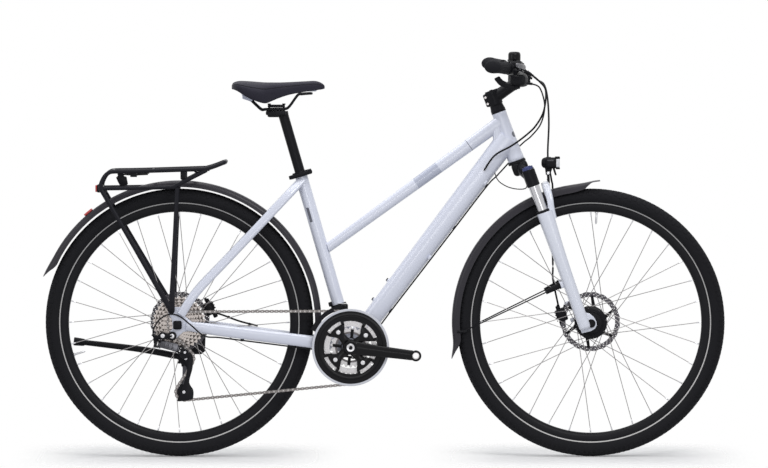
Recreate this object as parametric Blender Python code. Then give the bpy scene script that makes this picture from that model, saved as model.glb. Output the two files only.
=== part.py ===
"""A trekking bike with a low top tube, mudguards, rack, lights and disc brakes.

Everything is in metres. +X points forwards, +Y to the bike's left and +Z up. The origin lies on the
ground under the middle of the bike.
"""

import math

import bmesh
import bpy
from mathutils import Matrix, Vector

# Clearances and fineness
CLEAR = 0.0003
WELD = 0.000001
SHARP_ANGLE = math.radians(35)

# Wheels
RIM_SEAT_RADIUS = 0.3105
TYRE_HEIGHT = 0.0475
TYRE_WIDTH = 0.047
WHEEL_RADIUS = RIM_SEAT_RADIUS + TYRE_HEIGHT
RIM_FLANGE_HEIGHT = 0.006
RIM_DEPTH = 0.0155
RIM_WIDTH = 0.025
RIM_WALL = 0.0025
WHEEL_STEPS = 32
SPOKES = 32
SPOKE_RADIUS = 0.0011
SPOKE_TURN = math.radians(67.5)
FLANGE_THICKNESS = 0.004
SPOKE_CIRCLE_INSET = 0.004
AXLE_RADIUS = 0.0055
HUB_CAP_RADIUS = 0.008
HUB_STEPS = 10

REAR_AXLE_X = -0.546
WHEELBASE = 1.098
REAR_DROPOUT_GAP = 0.135
REAR_FLANGE_RADIUS = 0.030
REAR_SHELL_RADIUS = 0.015
REAR_LEFT_FLANGE = 0.034
REAR_RIGHT_FLANGE = -0.020
FREEHUB_RADIUS = 0.0158
FRONT_DROPOUT_GAP = 0.100
FRONT_FLANGE_RADIUS = 0.043
FRONT_SHELL_RADIUS = 0.036
FRONT_FLANGE = 0.027

# Brake discs
DISC_RADIUS = 0.080
DISC_BAND = 0.014
DISC_THICKNESS = 0.002
DISC_BORE = 0.0158
DISC_SPIDER_RADIUS = 0.027
DISC_WINDOWS = 6
DISC_WINDOW_ANGLE = math.radians(44)
DISC_STEPS = 20
REAR_DISC_Y = 0.052
FRONT_DISC_Y = 0.0395
CALIPER_WIDTH = 0.0215
CALIPER_OUTSET = 0.00225

# Frame
BB_SETBACK = 0.457
BB_DROP = 0.064
BB_SHELL_RADIUS = 0.0215
BB_SHELL_WIDTH = 0.068
BB_BORE = 0.0168
SEAT_ANGLE = math.radians(73.8)
SEAT_TUBE_LENGTH = 0.483
SEAT_TUBE_RADIUS = 0.0168
TOP_TUBE_SEAT_HEIGHT = 0.264
TOP_TUBE_HEAD_DROP = 0.028
TOP_TUBE_RADIUS_REAR = 0.0125
TOP_TUBE_RADIUS_FRONT = 0.0185
DOWN_TUBE_HEAD_RISE = 0.064
DOWN_TUBE_RADIUS_REAR = 0.0250
DOWN_TUBE_RADIUS_FRONT = 0.0300
DOWN_TUBE_FLATNESS = 0.86
HEAD_ANGLE = math.radians(70)
HEAD_TUBE_LENGTH = 0.140
HEAD_TUBE_RADIUS_TOP = 0.0215
HEAD_TUBE_RADIUS_BOTTOM = 0.026
STEERER_RADIUS = 0.0143
HEAD_BORE = 0.0160
TUBE_SIDES = 12
STAY_SIDES = 8
DROPOUT_THICKNESS = 0.006
STAY_END_Y = 0.0765
SEAT_STAY_DROP = 0.020
SEAT_STAY_RADIUS = 0.0115
STAY_HALF_WIDTH = 0.0075
BRIDGE_RADIUS = 0.006
BOSS_RADIUS = 0.005
BOSS_HEIGHT = 0.003
BOSS_SPACING = 0.064
FIRST_BOSS = 0.137
CHAIN_STAY_STATIONS = (
    (0.00, 0.0215, 0.034, 0.0160),
    (0.12, 0.0322, 0.034, 0.0140),
    (0.23, 0.0397, 0.033, 0.0145),
    (0.50, 0.0530, 0.032, 0.0160),
    (0.85, 0.0715, 0.030, 0.0160),
    (1.00, STAY_END_Y, 0.024, 2 * STAY_HALF_WIDTH),
)
SEAT_STAY_STATIONS = ((0.0, 0.010), (0.12, 0.031), (0.27, 0.0425), (0.70, 0.059), (1.0, 0.0735))
SEAT_STAY_KNEE = Vector((0.047, 0, 0.084))
DROPOUT_POINTS = (
    (-0.031, 0.034), (-0.022, 0.046), (0.012, 0.047), (0.024, 0.024), (0.052, 0.010),
    (0.052, -0.020), (0.018, -0.022), (0.000, -0.022), (-0.016, -0.016), (-0.020, 0.000),
)
HANGER_POINTS = (
    (0.010, -0.012), (0.006, -0.036), (-0.008, -0.045), (-0.026, -0.045), (-0.032, -0.032),
    (-0.019, -0.008),
)
RACK_EYELET = (-0.019, 0.033)
HANGER_BOLT = (-0.0176, -0.0325)
HANGER_BOLT_RADIUS = 0.005

# Fork and steering
FORK_RAKE = 0.039
FORK_LENGTH = 0.474
STANCHION_OFFSET = 0.020
STANCHION_RADIUS = 0.014
STANCHION_SPACING = 0.130
LEG_TOP_DROP = 0.152
LEG_TOP = FORK_LENGTH - LEG_TOP_DROP
LEG_RADIUS_TOP = 0.0195
LEG_RADIUS_BOTTOM = 0.0165
CROWN_DEPTH = 0.042
CROWN_BOTTOM_DROP = 0.078
CROWN_SHOULDER_DROP = 0.032
CROWN_BOTTOM = FORK_LENGTH - CROWN_BOTTOM_DROP
CROWN_SHOULDER_TOP = FORK_LENGTH - CROWN_SHOULDER_DROP
CROWN_CENTRE_BOTTOM = FORK_LENGTH - CROWN_DEPTH
CROWN_RADIUS = 0.0175
KNOB_RADIUS = 0.015
KNOB_HEIGHT = 0.010
HEADSET_COVER_HEIGHT = 0.018
STEM_CLAMP_HEIGHT = 0.038
STEM_CLAMP_RADIUS = 0.0195
BAR_CLAMP_RADIUS = 0.0159
BAR_RADIUS = 0.0111
STEM_REACH = 0.089
STEM_RISE = 0.058
STEM_FACE_RADIUS = 0.0225
STEM_FACE_WIDTH = 0.046
BAR_SWEEP = 0.084
BAR_UPSWEEP = 0.036
BAR_HALF_WIDTH = 0.306
BAR_SIDES = 10
GRIP_LENGTH = 0.130
GRIP_RADIUS = 0.0160
LEG_TAB_THICKNESS = 0.008
STANCHION_FOOT = 0.200
HEADLIGHT_PIVOT = (0.414, 0.068)
STAY_CLIP = 0.124

# Handlebar
BAR_STATIONS = (
    (0.00, 0.00, 0.00, 1.0), (0.10, 0.00, 0.00, 1.0), (0.17, 0.03, 0.06, 0.7),
    (0.24, 0.14, 0.25, 0.0), (0.40, 0.34, 0.62, 0.0), (0.54, 0.50, 0.84, 0.0),
    (0.77, 0.76, 0.94, 0.0), (1.00, 1.00, 1.00, 0.0),
)
GRIP_STATIONS = ((1.00, 0.92, 0.92), (0.94, 1.00, 1.00), (0.50, 1.03, 1.00), (0.26, 1.15, 1.03),
                 (0.10, 1.38, 1.06), (0.00, 1.34, 1.02), (-0.04, 0.95, 0.80))
CONTROL_INSET = GRIP_LENGTH + 0.030
BELL_INSET = GRIP_LENGTH + 0.078
BELL_RADIUS = 0.0165
BELL_HEIGHT = 0.024
BELL_RISE = 0.0165

# Mudguards
REAR_GUARD_ROOM = 0.019
FRONT_GUARD_ROOM = 0.013
REAR_GUARD_RADIUS = WHEEL_RADIUS + REAR_GUARD_ROOM
FRONT_GUARD_RADIUS = WHEEL_RADIUS + FRONT_GUARD_ROOM
GUARD_WIDTH = 0.056
GUARD_WALL = 0.002
REAR_GUARD_SKIRT = 0.025
FRONT_GUARD_SKIRT = 0.021
REFLECTOR_ANGLE = 129.5

# Drive train
PITCH = 0.0127
LARGE_RING_TEETH = 48
MIDDLE_RING_TEETH = 36
SMALL_RING_TEETH = 26
RING_HALF_THICKNESS = 0.0008
LARGE_RING_Y = -0.057
MIDDLE_RING_Y = -0.050
SMALL_RING_Y = -0.0425
TOOTH_RISE = 0.0022
BOLT_CIRCLE = 0.052
SPIDER_TURN = math.radians(38.9)
CHAIN_GUARD_RADIUS = 0.103
CHAIN_GUARD_BORE = 0.084
CHAIN_GUARD_Y = -0.0625
CHAIN_GUARD_THICKNESS = 0.003
CRANK_LENGTH = 0.175
CRANK_TURN = math.radians(-7)
CRANK_END_RADIUS = 0.0145
CRANK_THICKNESS = 0.013
CRANK_END_Y = 0.082
PEDAL_HOLE_RADIUS = 0.0072
SPINDLE_RADIUS = 0.0085
CASSETTE_TEETH = (11, 13, 15, 17, 19, 21, 23, 26, 30, 34)
CASSETTE_FIRST_Y = -0.062
COG_SPACING = 0.00395
COG_STEPS = 9
CHAIN_COG = 2
CHAIN_INNER = 0.0011
CHAIN_OUTER = 0.00275
CHAIN_HEIGHT = 0.008
STRAIGHT_RUN = 0.055
PULLEY_TEETH = 11
GUIDE_PULLEY = (0.018, -0.093)
TENSION_PULLEY = (0.013, -0.183)
CAGE_PIVOT = (0.015, -0.080)
LINK_SLANT = math.radians(25)
CHAINRING_BOLT_RADIUS = 0.0042
BOLT_SIDES = 6
COLLAR_BORE = 0.041
SPIDER_FACES = (-0.0559, -0.0511)
CAGE_PIN_RADIUS = 0.0027
CAGE_INNER = 0.0044
CAGE_OUTER = 0.0062
LINK_REAR = (-0.051, -0.055)
LINK_FRONT = (-0.002, -0.068)
LINK_Y = -0.078
KNUCKLE_OUTER_Y = -0.082
CABLE_ENTRY = Vector((-0.007, -0.003, 0.006))
FRONT_CLAMP_HEIGHT = 0.111
SHIFT_CAGE_RADII = (0.1040, 0.1160)

# Saddle and seatpost
SEATPOST_RADIUS = 0.0136
SEATPOST_SHOWING = 0.166
SEATPOST_INSERTED = 0.150
SADDLE_LENGTH = 0.248
SADDLE_WIDTH = 0.160
SADDLE_REAR_SETBACK = 0.136
SADDLE_RISE = 0.085
RAIL_RADIUS = 0.0035
RAIL_SPACING = 0.044
RAIL_DROP = 0.0745
SADDLE_STATIONS = (
    (0.000, 0.20, -0.012, -0.020),
    (0.030, 0.68, -0.003, -0.022),
    (0.085, 0.90, 0.000, -0.028),
    (0.190, 1.00, -0.001, -0.043),
    (0.300, 0.97, -0.003, -0.053),
    (0.370, 0.88, -0.004, -0.056),
    (0.430, 0.70, -0.004, -0.051),
    (0.515, 0.49, -0.004, -0.043),
    (0.625, 0.36, -0.003, -0.035),
    (0.780, 0.30, -0.001, -0.028),
    (0.900, 0.27, 0.000, -0.024),
    (0.970, 0.19, -0.006, -0.022),
    (1.000, 0.08, -0.013, -0.020),
)
SADDLE_WALL = 0.008
SADDLE_FILL = 0.014

# Rack and kickstand
RACK_HALF_WIDTH = 0.064
RACK_TUBE_RADIUS = 0.0055
KICKSTAND_LENGTH = 0.300
KICKSTAND_TILT = math.radians(14.8)
RACK_TOP = 0.408
RACK_SIDE = (
    (0.082, 0.0035), (-0.060, -0.001), (-0.186, -0.004), (-0.202, -0.014), (-0.209, -0.030),
    (-0.2065, -0.0455), (-0.196, -0.0495), (-0.010, -0.045),
)
RACK_RISER = ((-0.016, -0.0460), (0.074, 0.0005))
RACK_HANDLE = ((0.070, 0.0030, 1.0), (0.100, 0.012, 1.0), (0.118, 0.019, 0.92), (0.122, 0.0205, 0.75))
RACK_BARS = (-0.176, -0.070, 0.045)
TAIL_LIGHT = (-0.207, -0.046)
KICK_PIVOT = (0.029, -0.074)
KICK_FOLDED = Vector((-0.294, 0, 0.024)).normalized()

# Places that follow from the sizes
REAR_AXLE = Vector((REAR_AXLE_X, 0, WHEEL_RADIUS))
FRONT_AXLE = Vector((REAR_AXLE_X + WHEELBASE, 0, WHEEL_RADIUS))
BB = Vector((REAR_AXLE_X + BB_SETBACK, 0, WHEEL_RADIUS - BB_DROP))
SEAT_DIR = Vector((-math.cos(SEAT_ANGLE), 0, math.sin(SEAT_ANGLE)))
SEAT_TOP = BB + SEAT_DIR * SEAT_TUBE_LENGTH
STEER_DIR = Vector((-math.cos(HEAD_ANGLE), 0, math.sin(HEAD_ANGLE)))
STEER_AHEAD = Vector((math.sin(HEAD_ANGLE), 0, math.cos(HEAD_ANGLE)))
STEER_FOOT = FRONT_AXLE - STEER_AHEAD * FORK_RAKE
LEFT = Vector((0, 1, 0))
UP = Vector((0, 0, 1))


def steer_point(along, ahead=0.0, left=0.0):
    """A point by its height along the steering axis, its distance ahead of it and to the left."""
    return STEER_FOOT + STEER_DIR * along + STEER_AHEAD * ahead + LEFT * left


HEAD_BOTTOM = steer_point(FORK_LENGTH)
HEAD_TOP = steer_point(FORK_LENGTH + HEAD_TUBE_LENGTH)
BAR_CENTRE = HEAD_TOP + Vector((STEM_REACH - 0.026, 0, STEM_RISE + 0.029))


def shifted(point, x=0.0, y=0.0, z=0.0):
    return point + Vector((x, y, z))


def looking(point, direction, across=LEFT):
    """The frame at a point whose Z runs along a direction and whose Y stays near to across."""
    z = Vector(direction).normalized()
    x = Vector(across).cross(z).normalized()
    return Matrix.Translation(point) @ Matrix((x, z.cross(x), z)).transposed().to_4x4()


def oval(height, width, sides=10):
    """A ring of points: height along X and width along Y."""
    turns = (2 * math.pi * (i + 0.5) / sides for i in range(sides))
    return [Vector((height / 2 * math.cos(t), width / 2 * math.sin(t), 0)) for t in turns]


def skin(rings, closed=False):
    """Skins rings of points in order. The ends are capped unless the row of rings is closed."""
    bm = bmesh.new()
    rows = [[bm.verts.new(point) for point in ring] for ring in rings]
    following = rows[1:] + rows[:1] if closed else rows[1:]
    for row, after in zip(rows, following):
        for i in range(len(row)):
            j = (i + 1) % len(row)
            bm.faces.new((row[i], row[j], after[j], after[i]))
    if not closed:
        bm.faces.new(rows[0])
        bm.faces.new(rows[-1])
    return bm


def frames_along(points, across=LEFT, closed=False):
    """A frame at each point, facing along the row of points."""
    points = [Vector(point) for point in points]
    count = len(points)
    frames = []
    for i, point in enumerate(points):
        before = points[i - 1] if closed or i else point
        after = points[(i + 1) % count] if closed or i + 1 < count else point
        frames.append(looking(point, after - before, across))
    return frames


def swept(points, outlines, across=LEFT, closed=False):
    """One outline, or one for each point, carried along a row of points."""
    frames = frames_along(points, across, closed)
    if isinstance(outlines[0], Vector):
        outlines = [outlines] * len(frames)
    rings = [[frame @ point for point in outline] for frame, outline in zip(frames, outlines)]
    return skin(rings, closed)


def tube(start, end, radius, end_radius=None, flatness=1.0, sides=TUBE_SIDES):
    """A straight tube, wider or narrower across by its flatness."""
    end_radius = radius if end_radius is None else end_radius
    rings = [oval(2 * r, 2 * r * flatness, sides) for r in (radius, end_radius)]
    return swept((start, end), rings)


def spun(profile, steps, frame):
    """Turns a profile of (radius, distance along the axis) round the Z axis of a frame."""
    bm = bmesh.new()
    points = [bm.verts.new((radius, 0, along)) for radius, along in profile]
    open_ended = profile[0][0] == 0 and profile[-1][0] == 0
    pairs = zip(points, points[1:] if open_ended else points[1:] + points[:1])
    edges = [bm.edges.new(pair) for pair in pairs]
    bmesh.ops.spin(
        bm, geom=points + edges, cent=(0, 0, 0), axis=(0, 0, 1),
        angle=2 * math.pi, steps=steps, use_merge=True,
    )
    bmesh.ops.remove_doubles(bm, verts=bm.verts, dist=WELD)
    bmesh.ops.transform(bm, matrix=frame, verts=bm.verts)
    return bm


def disc(centre, axis, radius, thickness, bore=0.0, steps=16):
    """A round plate or, with a bore, a washer, centred on a point."""
    half = thickness / 2
    if bore:
        profile = [(bore, -half), (radius, -half), (radius, half), (bore, half)]
    else:
        profile = [(0, -half), (radius, -half), (radius, half), (0, half)]
    return spun(profile, steps, looking(centre, axis, across_of(axis)))


def across_of(axis):
    """A direction that isn't along the axis, to turn a frame by."""
    return LEFT if abs(Vector(axis).normalized().y) < 0.9 else UP


def bore_over(radius, steps):
    """A bore of flat facets that clears a round of this radius all round."""
    return (radius + CLEAR) / math.cos(math.pi / steps)


def rod(start, end, radius, sides=10):
    axis = Vector(end) - Vector(start)
    return disc((Vector(start) + Vector(end)) / 2, axis, radius, axis.length, steps=sides)


def plate(outline, low, high):
    """A plate from an outline of (x, z) points, between two distances to the left."""
    rings = [[Vector((x, y, z)) for x, z in outline] for y in (low, high)]
    return skin(rings)


def block(frame, length, width, height):
    """A box in a frame: length along X, width along Y and height along Z."""
    bm = bmesh.new()
    size = Matrix.Diagonal((length, width, height, 1))
    bmesh.ops.create_cube(bm, size=1, matrix=frame @ size)
    return bm


def merged(parts):
    """Several separate shapes in one mesh."""
    whole = bmesh.new()
    for part in parts:
        mesh = bpy.data.meshes.new("part")
        bmesh.ops.recalc_face_normals(part, faces=part.faces)
        part.to_mesh(mesh)
        part.free()
        whole.from_mesh(mesh)
        bpy.data.meshes.remove(mesh)
    return whole


def mesh_object(name, bm, finish=None):
    bmesh.ops.remove_doubles(bm, verts=bm.verts, dist=WELD)
    bmesh.ops.recalc_face_normals(bm, faces=bm.faces)
    mesh = bpy.data.meshes.new(name)
    bm.to_mesh(mesh)
    bm.free()
    mesh.shade_smooth()
    mesh.set_sharp_from_angle(angle=SHARP_ANGLE)
    if finish:
        mesh.materials.append(finish)
    piece = bpy.data.objects.new(name, mesh)
    bpy.context.scene.collection.objects.link(piece)
    return piece


def combine(piece, other, operation, crossing=False):
    """Adds a live Boolean with a hidden piece that moves with the first."""
    other.parent = piece
    other.hide_render = True
    other.display_type = "WIRE"
    modifier = piece.modifiers.new(other.name, "BOOLEAN")
    modifier.operation = operation
    modifier.object = other
    modifier.use_self = crossing


def node(name, finish, parts, cuts=(), origin=None, crossing=False):
    """One piece of the bike: its parts joined, its cuts taken out, its origin on its axis."""
    piece = mesh_object(name, parts[0], finish)
    for number, part in enumerate(parts[1:], 1):
        combine(piece, mesh_object(f"{name}.joined{number}", part), "UNION", crossing)
    for number, cut in enumerate(cuts, 1):
        combine(piece, mesh_object(f"{name}.cut{number}", cut), "DIFFERENCE")
    if origin is not None:
        piece.data.transform(Matrix.Translation(-Vector(origin)))
        piece.location = origin
        for helper in piece.children:
            helper.location = -piece.location
    return piece


def place_of(item):
    """Where an item's origin stands, given that nothing that carries it is turned."""
    return item.location + place_of(item.parent) if item.parent else item.location.copy()


def carry(name, place, pieces, inside=None):
    """An empty on the axis of a moving group, which carries the group's pieces."""
    turn = bpy.data.objects.new(name, None)
    bpy.context.scene.collection.objects.link(turn)
    turn.location = place
    if inside:
        turn.parent = inside
        turn.location -= place_of(inside)
    for piece in pieces:
        moved = bpy.data.objects[piece]
        moved.parent = turn
        moved.location -= place
    return turn


def smooth_route(points, spacing):
    """Evenly spaced points on a Catmull-Rom curve through the points of a route."""
    points = [Vector(point) for point in points]
    points = [2 * points[0] - points[1]] + points + [2 * points[-1] - points[-2]]
    fine = []
    for a, b, c, d in zip(points, points[1:], points[2:], points[3:]):
        steps = max(4, math.ceil((c - b).length / (spacing / 6)))
        for i in range(steps):
            t = i / steps
            fine.append(0.5 * (2 * b + (c - a) * t + (2 * a - 5 * b + 4 * c - d) * t**2
                               + (3 * b - a - 3 * c + d) * t**3))
    fine.append(points[-2])
    even = [fine[0]]
    for point in fine[1:-1]:
        if (point - even[-1]).length >= spacing and (point - fine[-1]).length > spacing / 2:
            even.append(point)
    return even + [fine[-1]]


def cable(name, finish, route, radius, spacing):
    """A cord held by the bike, as a round tube along a smooth route."""
    curve = bpy.data.curves.new(name, "CURVE")
    curve.dimensions = "3D"
    curve.bevel_depth = radius
    curve.bevel_resolution = 2
    curve.use_fill_caps = True
    points = smooth_route(route, spacing)
    spline = curve.splines.new("POLY")
    spline.points.add(len(points) - 1)
    for slot, point in zip(spline.points, points):
        slot.co = (*point, 1)
    curve.materials.append(finish)
    piece = bpy.data.objects.new(name, curve)
    bpy.context.scene.collection.objects.link(piece)
    return piece


def finish_of(name, colour, roughness, metallic=0.0):
    material = bpy.data.materials.new(name)
    material.use_nodes = True
    shader = material.node_tree.nodes["Principled BSDF"]
    shader.inputs["Base Color"].default_value = (*colour, 1)
    shader.inputs["Roughness"].default_value = roughness
    shader.inputs["Metallic"].default_value = metallic
    return material


def pitch_radius(teeth):
    return PITCH / (2 * math.sin(math.pi / teeth))


# Wheels

def ring_of(half, steps, centre):
    """A ring about a wheel's axle, from half of its section, mirrored about the wheel's middle."""
    profile = half + [(radius, -across) for radius, across in reversed(half)]
    return spun(profile, steps, looking(centre, LEFT, UP))


def make_tyre(name, centre, finish):
    bead = RIM_WIDTH / 2 - RIM_WALL - CLEAR
    top = RIM_SEAT_RADIUS + RIM_FLANGE_HEIGHT + CLEAR
    height = WHEEL_RADIUS - top
    half = [
        (RIM_SEAT_RADIUS + CLEAR, bead),
        (top, bead),
        (top + 0.50 * height, 0.5 * TYRE_WIDTH),
        (WHEEL_RADIUS, 0.16 * TYRE_WIDTH),
    ]
    node(name, finish, [ring_of(half, WHEEL_STEPS, centre)])


def make_rim(name, centre, finish):
    side = RIM_WIDTH / 2
    flange = RIM_SEAT_RADIUS + RIM_FLANGE_HEIGHT
    inner = RIM_SEAT_RADIUS - RIM_DEPTH
    half = [
        (inner, 0.7 * side),
        (flange, side),
        (flange, side - RIM_WALL),
        (RIM_SEAT_RADIUS, side - RIM_WALL),
    ]
    node(name, finish, [ring_of(half, WHEEL_STEPS, centre)])


def spokes_of(centre, flange_y, flange_radius, turn):
    """The spokes of one flange, crossing three others as they run to the rim."""
    tip = (RIM_SEAT_RADIUS - RIM_DEPTH) * math.cos(math.pi / WHEEL_STEPS) - 3 * CLEAR
    circle = flange_radius - SPOKE_CIRCLE_INSET
    side = math.copysign(1, flange_y)
    found = []
    for i in range(SPOKES // 2):
        leading = 1 if i % 2 else -1
        at_hub = turn + i * 4 * math.pi / SPOKES
        at_rim = at_hub + leading * SPOKE_TURN
        start = Vector((circle * math.cos(at_hub), flange_y + leading * 0.0013, circle * math.sin(at_hub)))
        end = Vector((tip * math.cos(at_rim), side * 0.0025 + leading * 0.0013, tip * math.sin(at_rim)))
        found.append(tube(centre + start, centre + end, SPOKE_RADIUS, sides=3))
    return found


def make_hub(name, centre, finish, profile, flanges, flange_radius):
    shell = spun(profile, HUB_STEPS, looking(centre, LEFT, UP))
    left, right = flanges
    wires = spokes_of(centre, left, flange_radius, 0)
    wires += spokes_of(centre, right, flange_radius, 2 * math.pi / SPOKES)
    node(name, finish, [shell, merged(wires)], crossing=True)


def make_disc(name, centre, finish):
    """A brake disc: a band, a spider and windows between them."""
    body = disc(centre, LEFT, DISC_RADIUS, DISC_THICKNESS, DISC_BORE, DISC_STEPS)
    windows = []
    for i in range(DISC_WINDOWS):
        turn = 2 * math.pi * i / DISC_WINDOWS
        outline = []
        for radius, lean in ((DISC_SPIDER_RADIUS, -0.5), (DISC_RADIUS - DISC_BAND, -0.5),
                             (DISC_RADIUS - DISC_BAND, 0.5), (DISC_SPIDER_RADIUS, 0.5)):
            angle = turn + lean * DISC_WINDOW_ANGLE
            outline.append((centre.x + radius * math.cos(angle), centre.z + radius * math.sin(angle)))
        windows.append(plate(outline, centre.y - DISC_THICKNESS, centre.y + DISC_THICKNESS))
    node(name, finish, [body], [merged(windows)])


def rear_hub_profile():
    end = REAR_DROPOUT_GAP / 2 - CLEAR
    bore = AXLE_RADIUS + CLEAR
    half = FLANGE_THICKNESS / 2
    seat = REAR_DISC_Y - DISC_THICKNESS / 2 - CLEAR
    return [
        (bore, end),
        (HUB_CAP_RADIUS, end),
        (HUB_CAP_RADIUS, seat + 0.006),
        (DISC_BORE - CLEAR, seat + 0.006),
        (DISC_BORE - CLEAR, seat),
        (DISC_BORE + 0.006, seat),
        (REAR_SHELL_RADIUS + 0.004, REAR_LEFT_FLANGE + half),
        (REAR_FLANGE_RADIUS, REAR_LEFT_FLANGE + half),
        (REAR_FLANGE_RADIUS, REAR_LEFT_FLANGE - half),
        (REAR_SHELL_RADIUS, REAR_LEFT_FLANGE - half),
        (REAR_SHELL_RADIUS, REAR_RIGHT_FLANGE + half),
        (REAR_FLANGE_RADIUS, REAR_RIGHT_FLANGE + half),
        (REAR_FLANGE_RADIUS, REAR_RIGHT_FLANGE - half),
        (FREEHUB_RADIUS, REAR_RIGHT_FLANGE - half),
        (FREEHUB_RADIUS, CASSETTE_FIRST_Y - 0.002),
        (HUB_CAP_RADIUS, CASSETTE_FIRST_Y - 0.002),
        (HUB_CAP_RADIUS, -end),
        (bore, -end),
    ]


def front_hub_profile():
    end = FRONT_DROPOUT_GAP / 2 - CLEAR
    bore = AXLE_RADIUS + CLEAR
    half = FLANGE_THICKNESS / 2
    seat = FRONT_DISC_Y - DISC_THICKNESS / 2 - CLEAR
    return [
        (bore, end),
        (HUB_CAP_RADIUS, end),
        (HUB_CAP_RADIUS, seat + 0.005),
        (DISC_BORE - CLEAR, seat + 0.005),
        (DISC_BORE - CLEAR, seat),
        (DISC_BORE + 0.008, seat),
        (FRONT_FLANGE_RADIUS - 0.006, FRONT_FLANGE + half),
        (FRONT_FLANGE_RADIUS, FRONT_FLANGE + half),
        (FRONT_FLANGE_RADIUS, FRONT_FLANGE - half),
        (FRONT_SHELL_RADIUS, FRONT_FLANGE - half),
        (FRONT_SHELL_RADIUS, half - FRONT_FLANGE),
        (FRONT_FLANGE_RADIUS, half - FRONT_FLANGE),
        (FRONT_FLANGE_RADIUS, -half - FRONT_FLANGE),
        (FRONT_FLANGE_RADIUS - 0.006, -half - FRONT_FLANGE),
        (HUB_CAP_RADIUS, -end + 0.012),
        (HUB_CAP_RADIUS, -end),
        (bore, -end),
    ]


def make_wheels(finishes):
    make_tyre("rear_tyre", REAR_AXLE, finishes["tyre"])
    make_rim("rear_rim", REAR_AXLE, finishes["black_alloy"])
    make_hub("rear_hub", REAR_AXLE, finishes["steel"], rear_hub_profile(),
             (REAR_LEFT_FLANGE, REAR_RIGHT_FLANGE), REAR_FLANGE_RADIUS)
    make_disc("rear_disc", shifted(REAR_AXLE, y=REAR_DISC_Y), finishes["steel"])
    make_tyre("front_tyre", FRONT_AXLE, finishes["tyre"])
    make_rim("front_rim", FRONT_AXLE, finishes["black_alloy"])
    make_hub("front_hub", FRONT_AXLE, finishes["steel"], front_hub_profile(),
             (FRONT_FLANGE, -FRONT_FLANGE), FRONT_FLANGE_RADIUS)
    make_disc("front_disc", shifted(FRONT_AXLE, y=FRONT_DISC_Y), finishes["steel"])


def make_axles(finishes):
    """Axles with a round head on the right and a nut on the left, clamped in the dropouts."""
    rear = REAR_DROPOUT_GAP / 2 + DROPOUT_THICKNESS + CLEAR
    node("rear_axle", finishes["black_alloy"], [
        rod(shifted(REAR_AXLE, y=-rear - 0.006), shifted(REAR_AXLE, y=rear + 0.006), AXLE_RADIUS),
        rod(shifted(REAR_AXLE, y=-rear - 0.010), shifted(REAR_AXLE, y=-rear), 0.0130, 12),
        rod(shifted(REAR_AXLE, y=rear), shifted(REAR_AXLE, y=rear + 0.010), 0.0090, 6),
    ])
    front = FRONT_DROPOUT_GAP / 2 + LEG_TAB_THICKNESS + CLEAR
    node("front_axle", finishes["black_alloy"], [
        rod(shifted(FRONT_AXLE, y=-front - 0.003), shifted(FRONT_AXLE, y=front + 0.003), AXLE_RADIUS),
        rod(shifted(FRONT_AXLE, y=-front - 0.006), shifted(FRONT_AXLE, y=-front), 0.0110, 12),
        rod(shifted(FRONT_AXLE, y=front), shifted(FRONT_AXLE, y=front + 0.006), 0.0085, 6),
    ])


# Frame

def down_tube_ends():
    return BB, steer_point(FORK_LENGTH + DOWN_TUBE_HEAD_RISE)


def down_tube_point(along, below):
    """A point by its distance up the down tube from the bottom bracket and below the tube's skin."""
    start, end = down_tube_ends()
    axis = end - start
    share = along / axis.length
    radius = DOWN_TUBE_RADIUS_REAR + (DOWN_TUBE_RADIUS_FRONT - DOWN_TUBE_RADIUS_REAR) * share
    down = LEFT.cross(axis.normalized())
    return start + axis * share + down * (radius + below)


def dropout_outline(points):
    return [(REAR_AXLE.x + x, REAR_AXLE.z + z) for x, z in points]


def side_plate(outline, side, inner, thickness):
    low, high = sorted((side * inner, side * (inner + thickness)))
    return plate(outline, low, high)


def chain_stay_end():
    return shifted(REAR_AXLE, x=0.020, z=-0.006)


def chain_stay(side):
    start = BB
    end = chain_stay_end()
    points = []
    outlines = []
    for share, across, height, width in CHAIN_STAY_STATIONS:
        points.append(start.lerp(end, share) + LEFT * side * across)
        outlines.append(oval(height, width, STAY_SIDES))
    return swept(points, outlines)


def seat_stay_line():
    return SEAT_TOP - SEAT_DIR * SEAT_STAY_DROP, REAR_AXLE + SEAT_STAY_KNEE


def seat_stay(side):
    top, knee = seat_stay_line()
    points = [top.lerp(knee, share) + LEFT * side * across for share, across in SEAT_STAY_STATIONS]
    points.append(shifted(REAR_AXLE, x=0.006, z=0.024) + LEFT * side * STAY_END_Y)
    return swept(points, oval(2 * SEAT_STAY_RADIUS, 2 * STAY_HALF_WIDTH, STAY_SIDES))


def seat_bridge_centre():
    """Where the seat stays stand just outside the rear mudguard."""
    top, knee = seat_stay_line()
    reach = REAR_GUARD_RADIUS + 0.015
    along = (knee - top).normalized()
    out = top - REAR_AXLE
    half = -out.dot(along)
    return top + along * (half - math.sqrt(max(half**2 - out.length_squared + reach**2, 0)))


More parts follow.
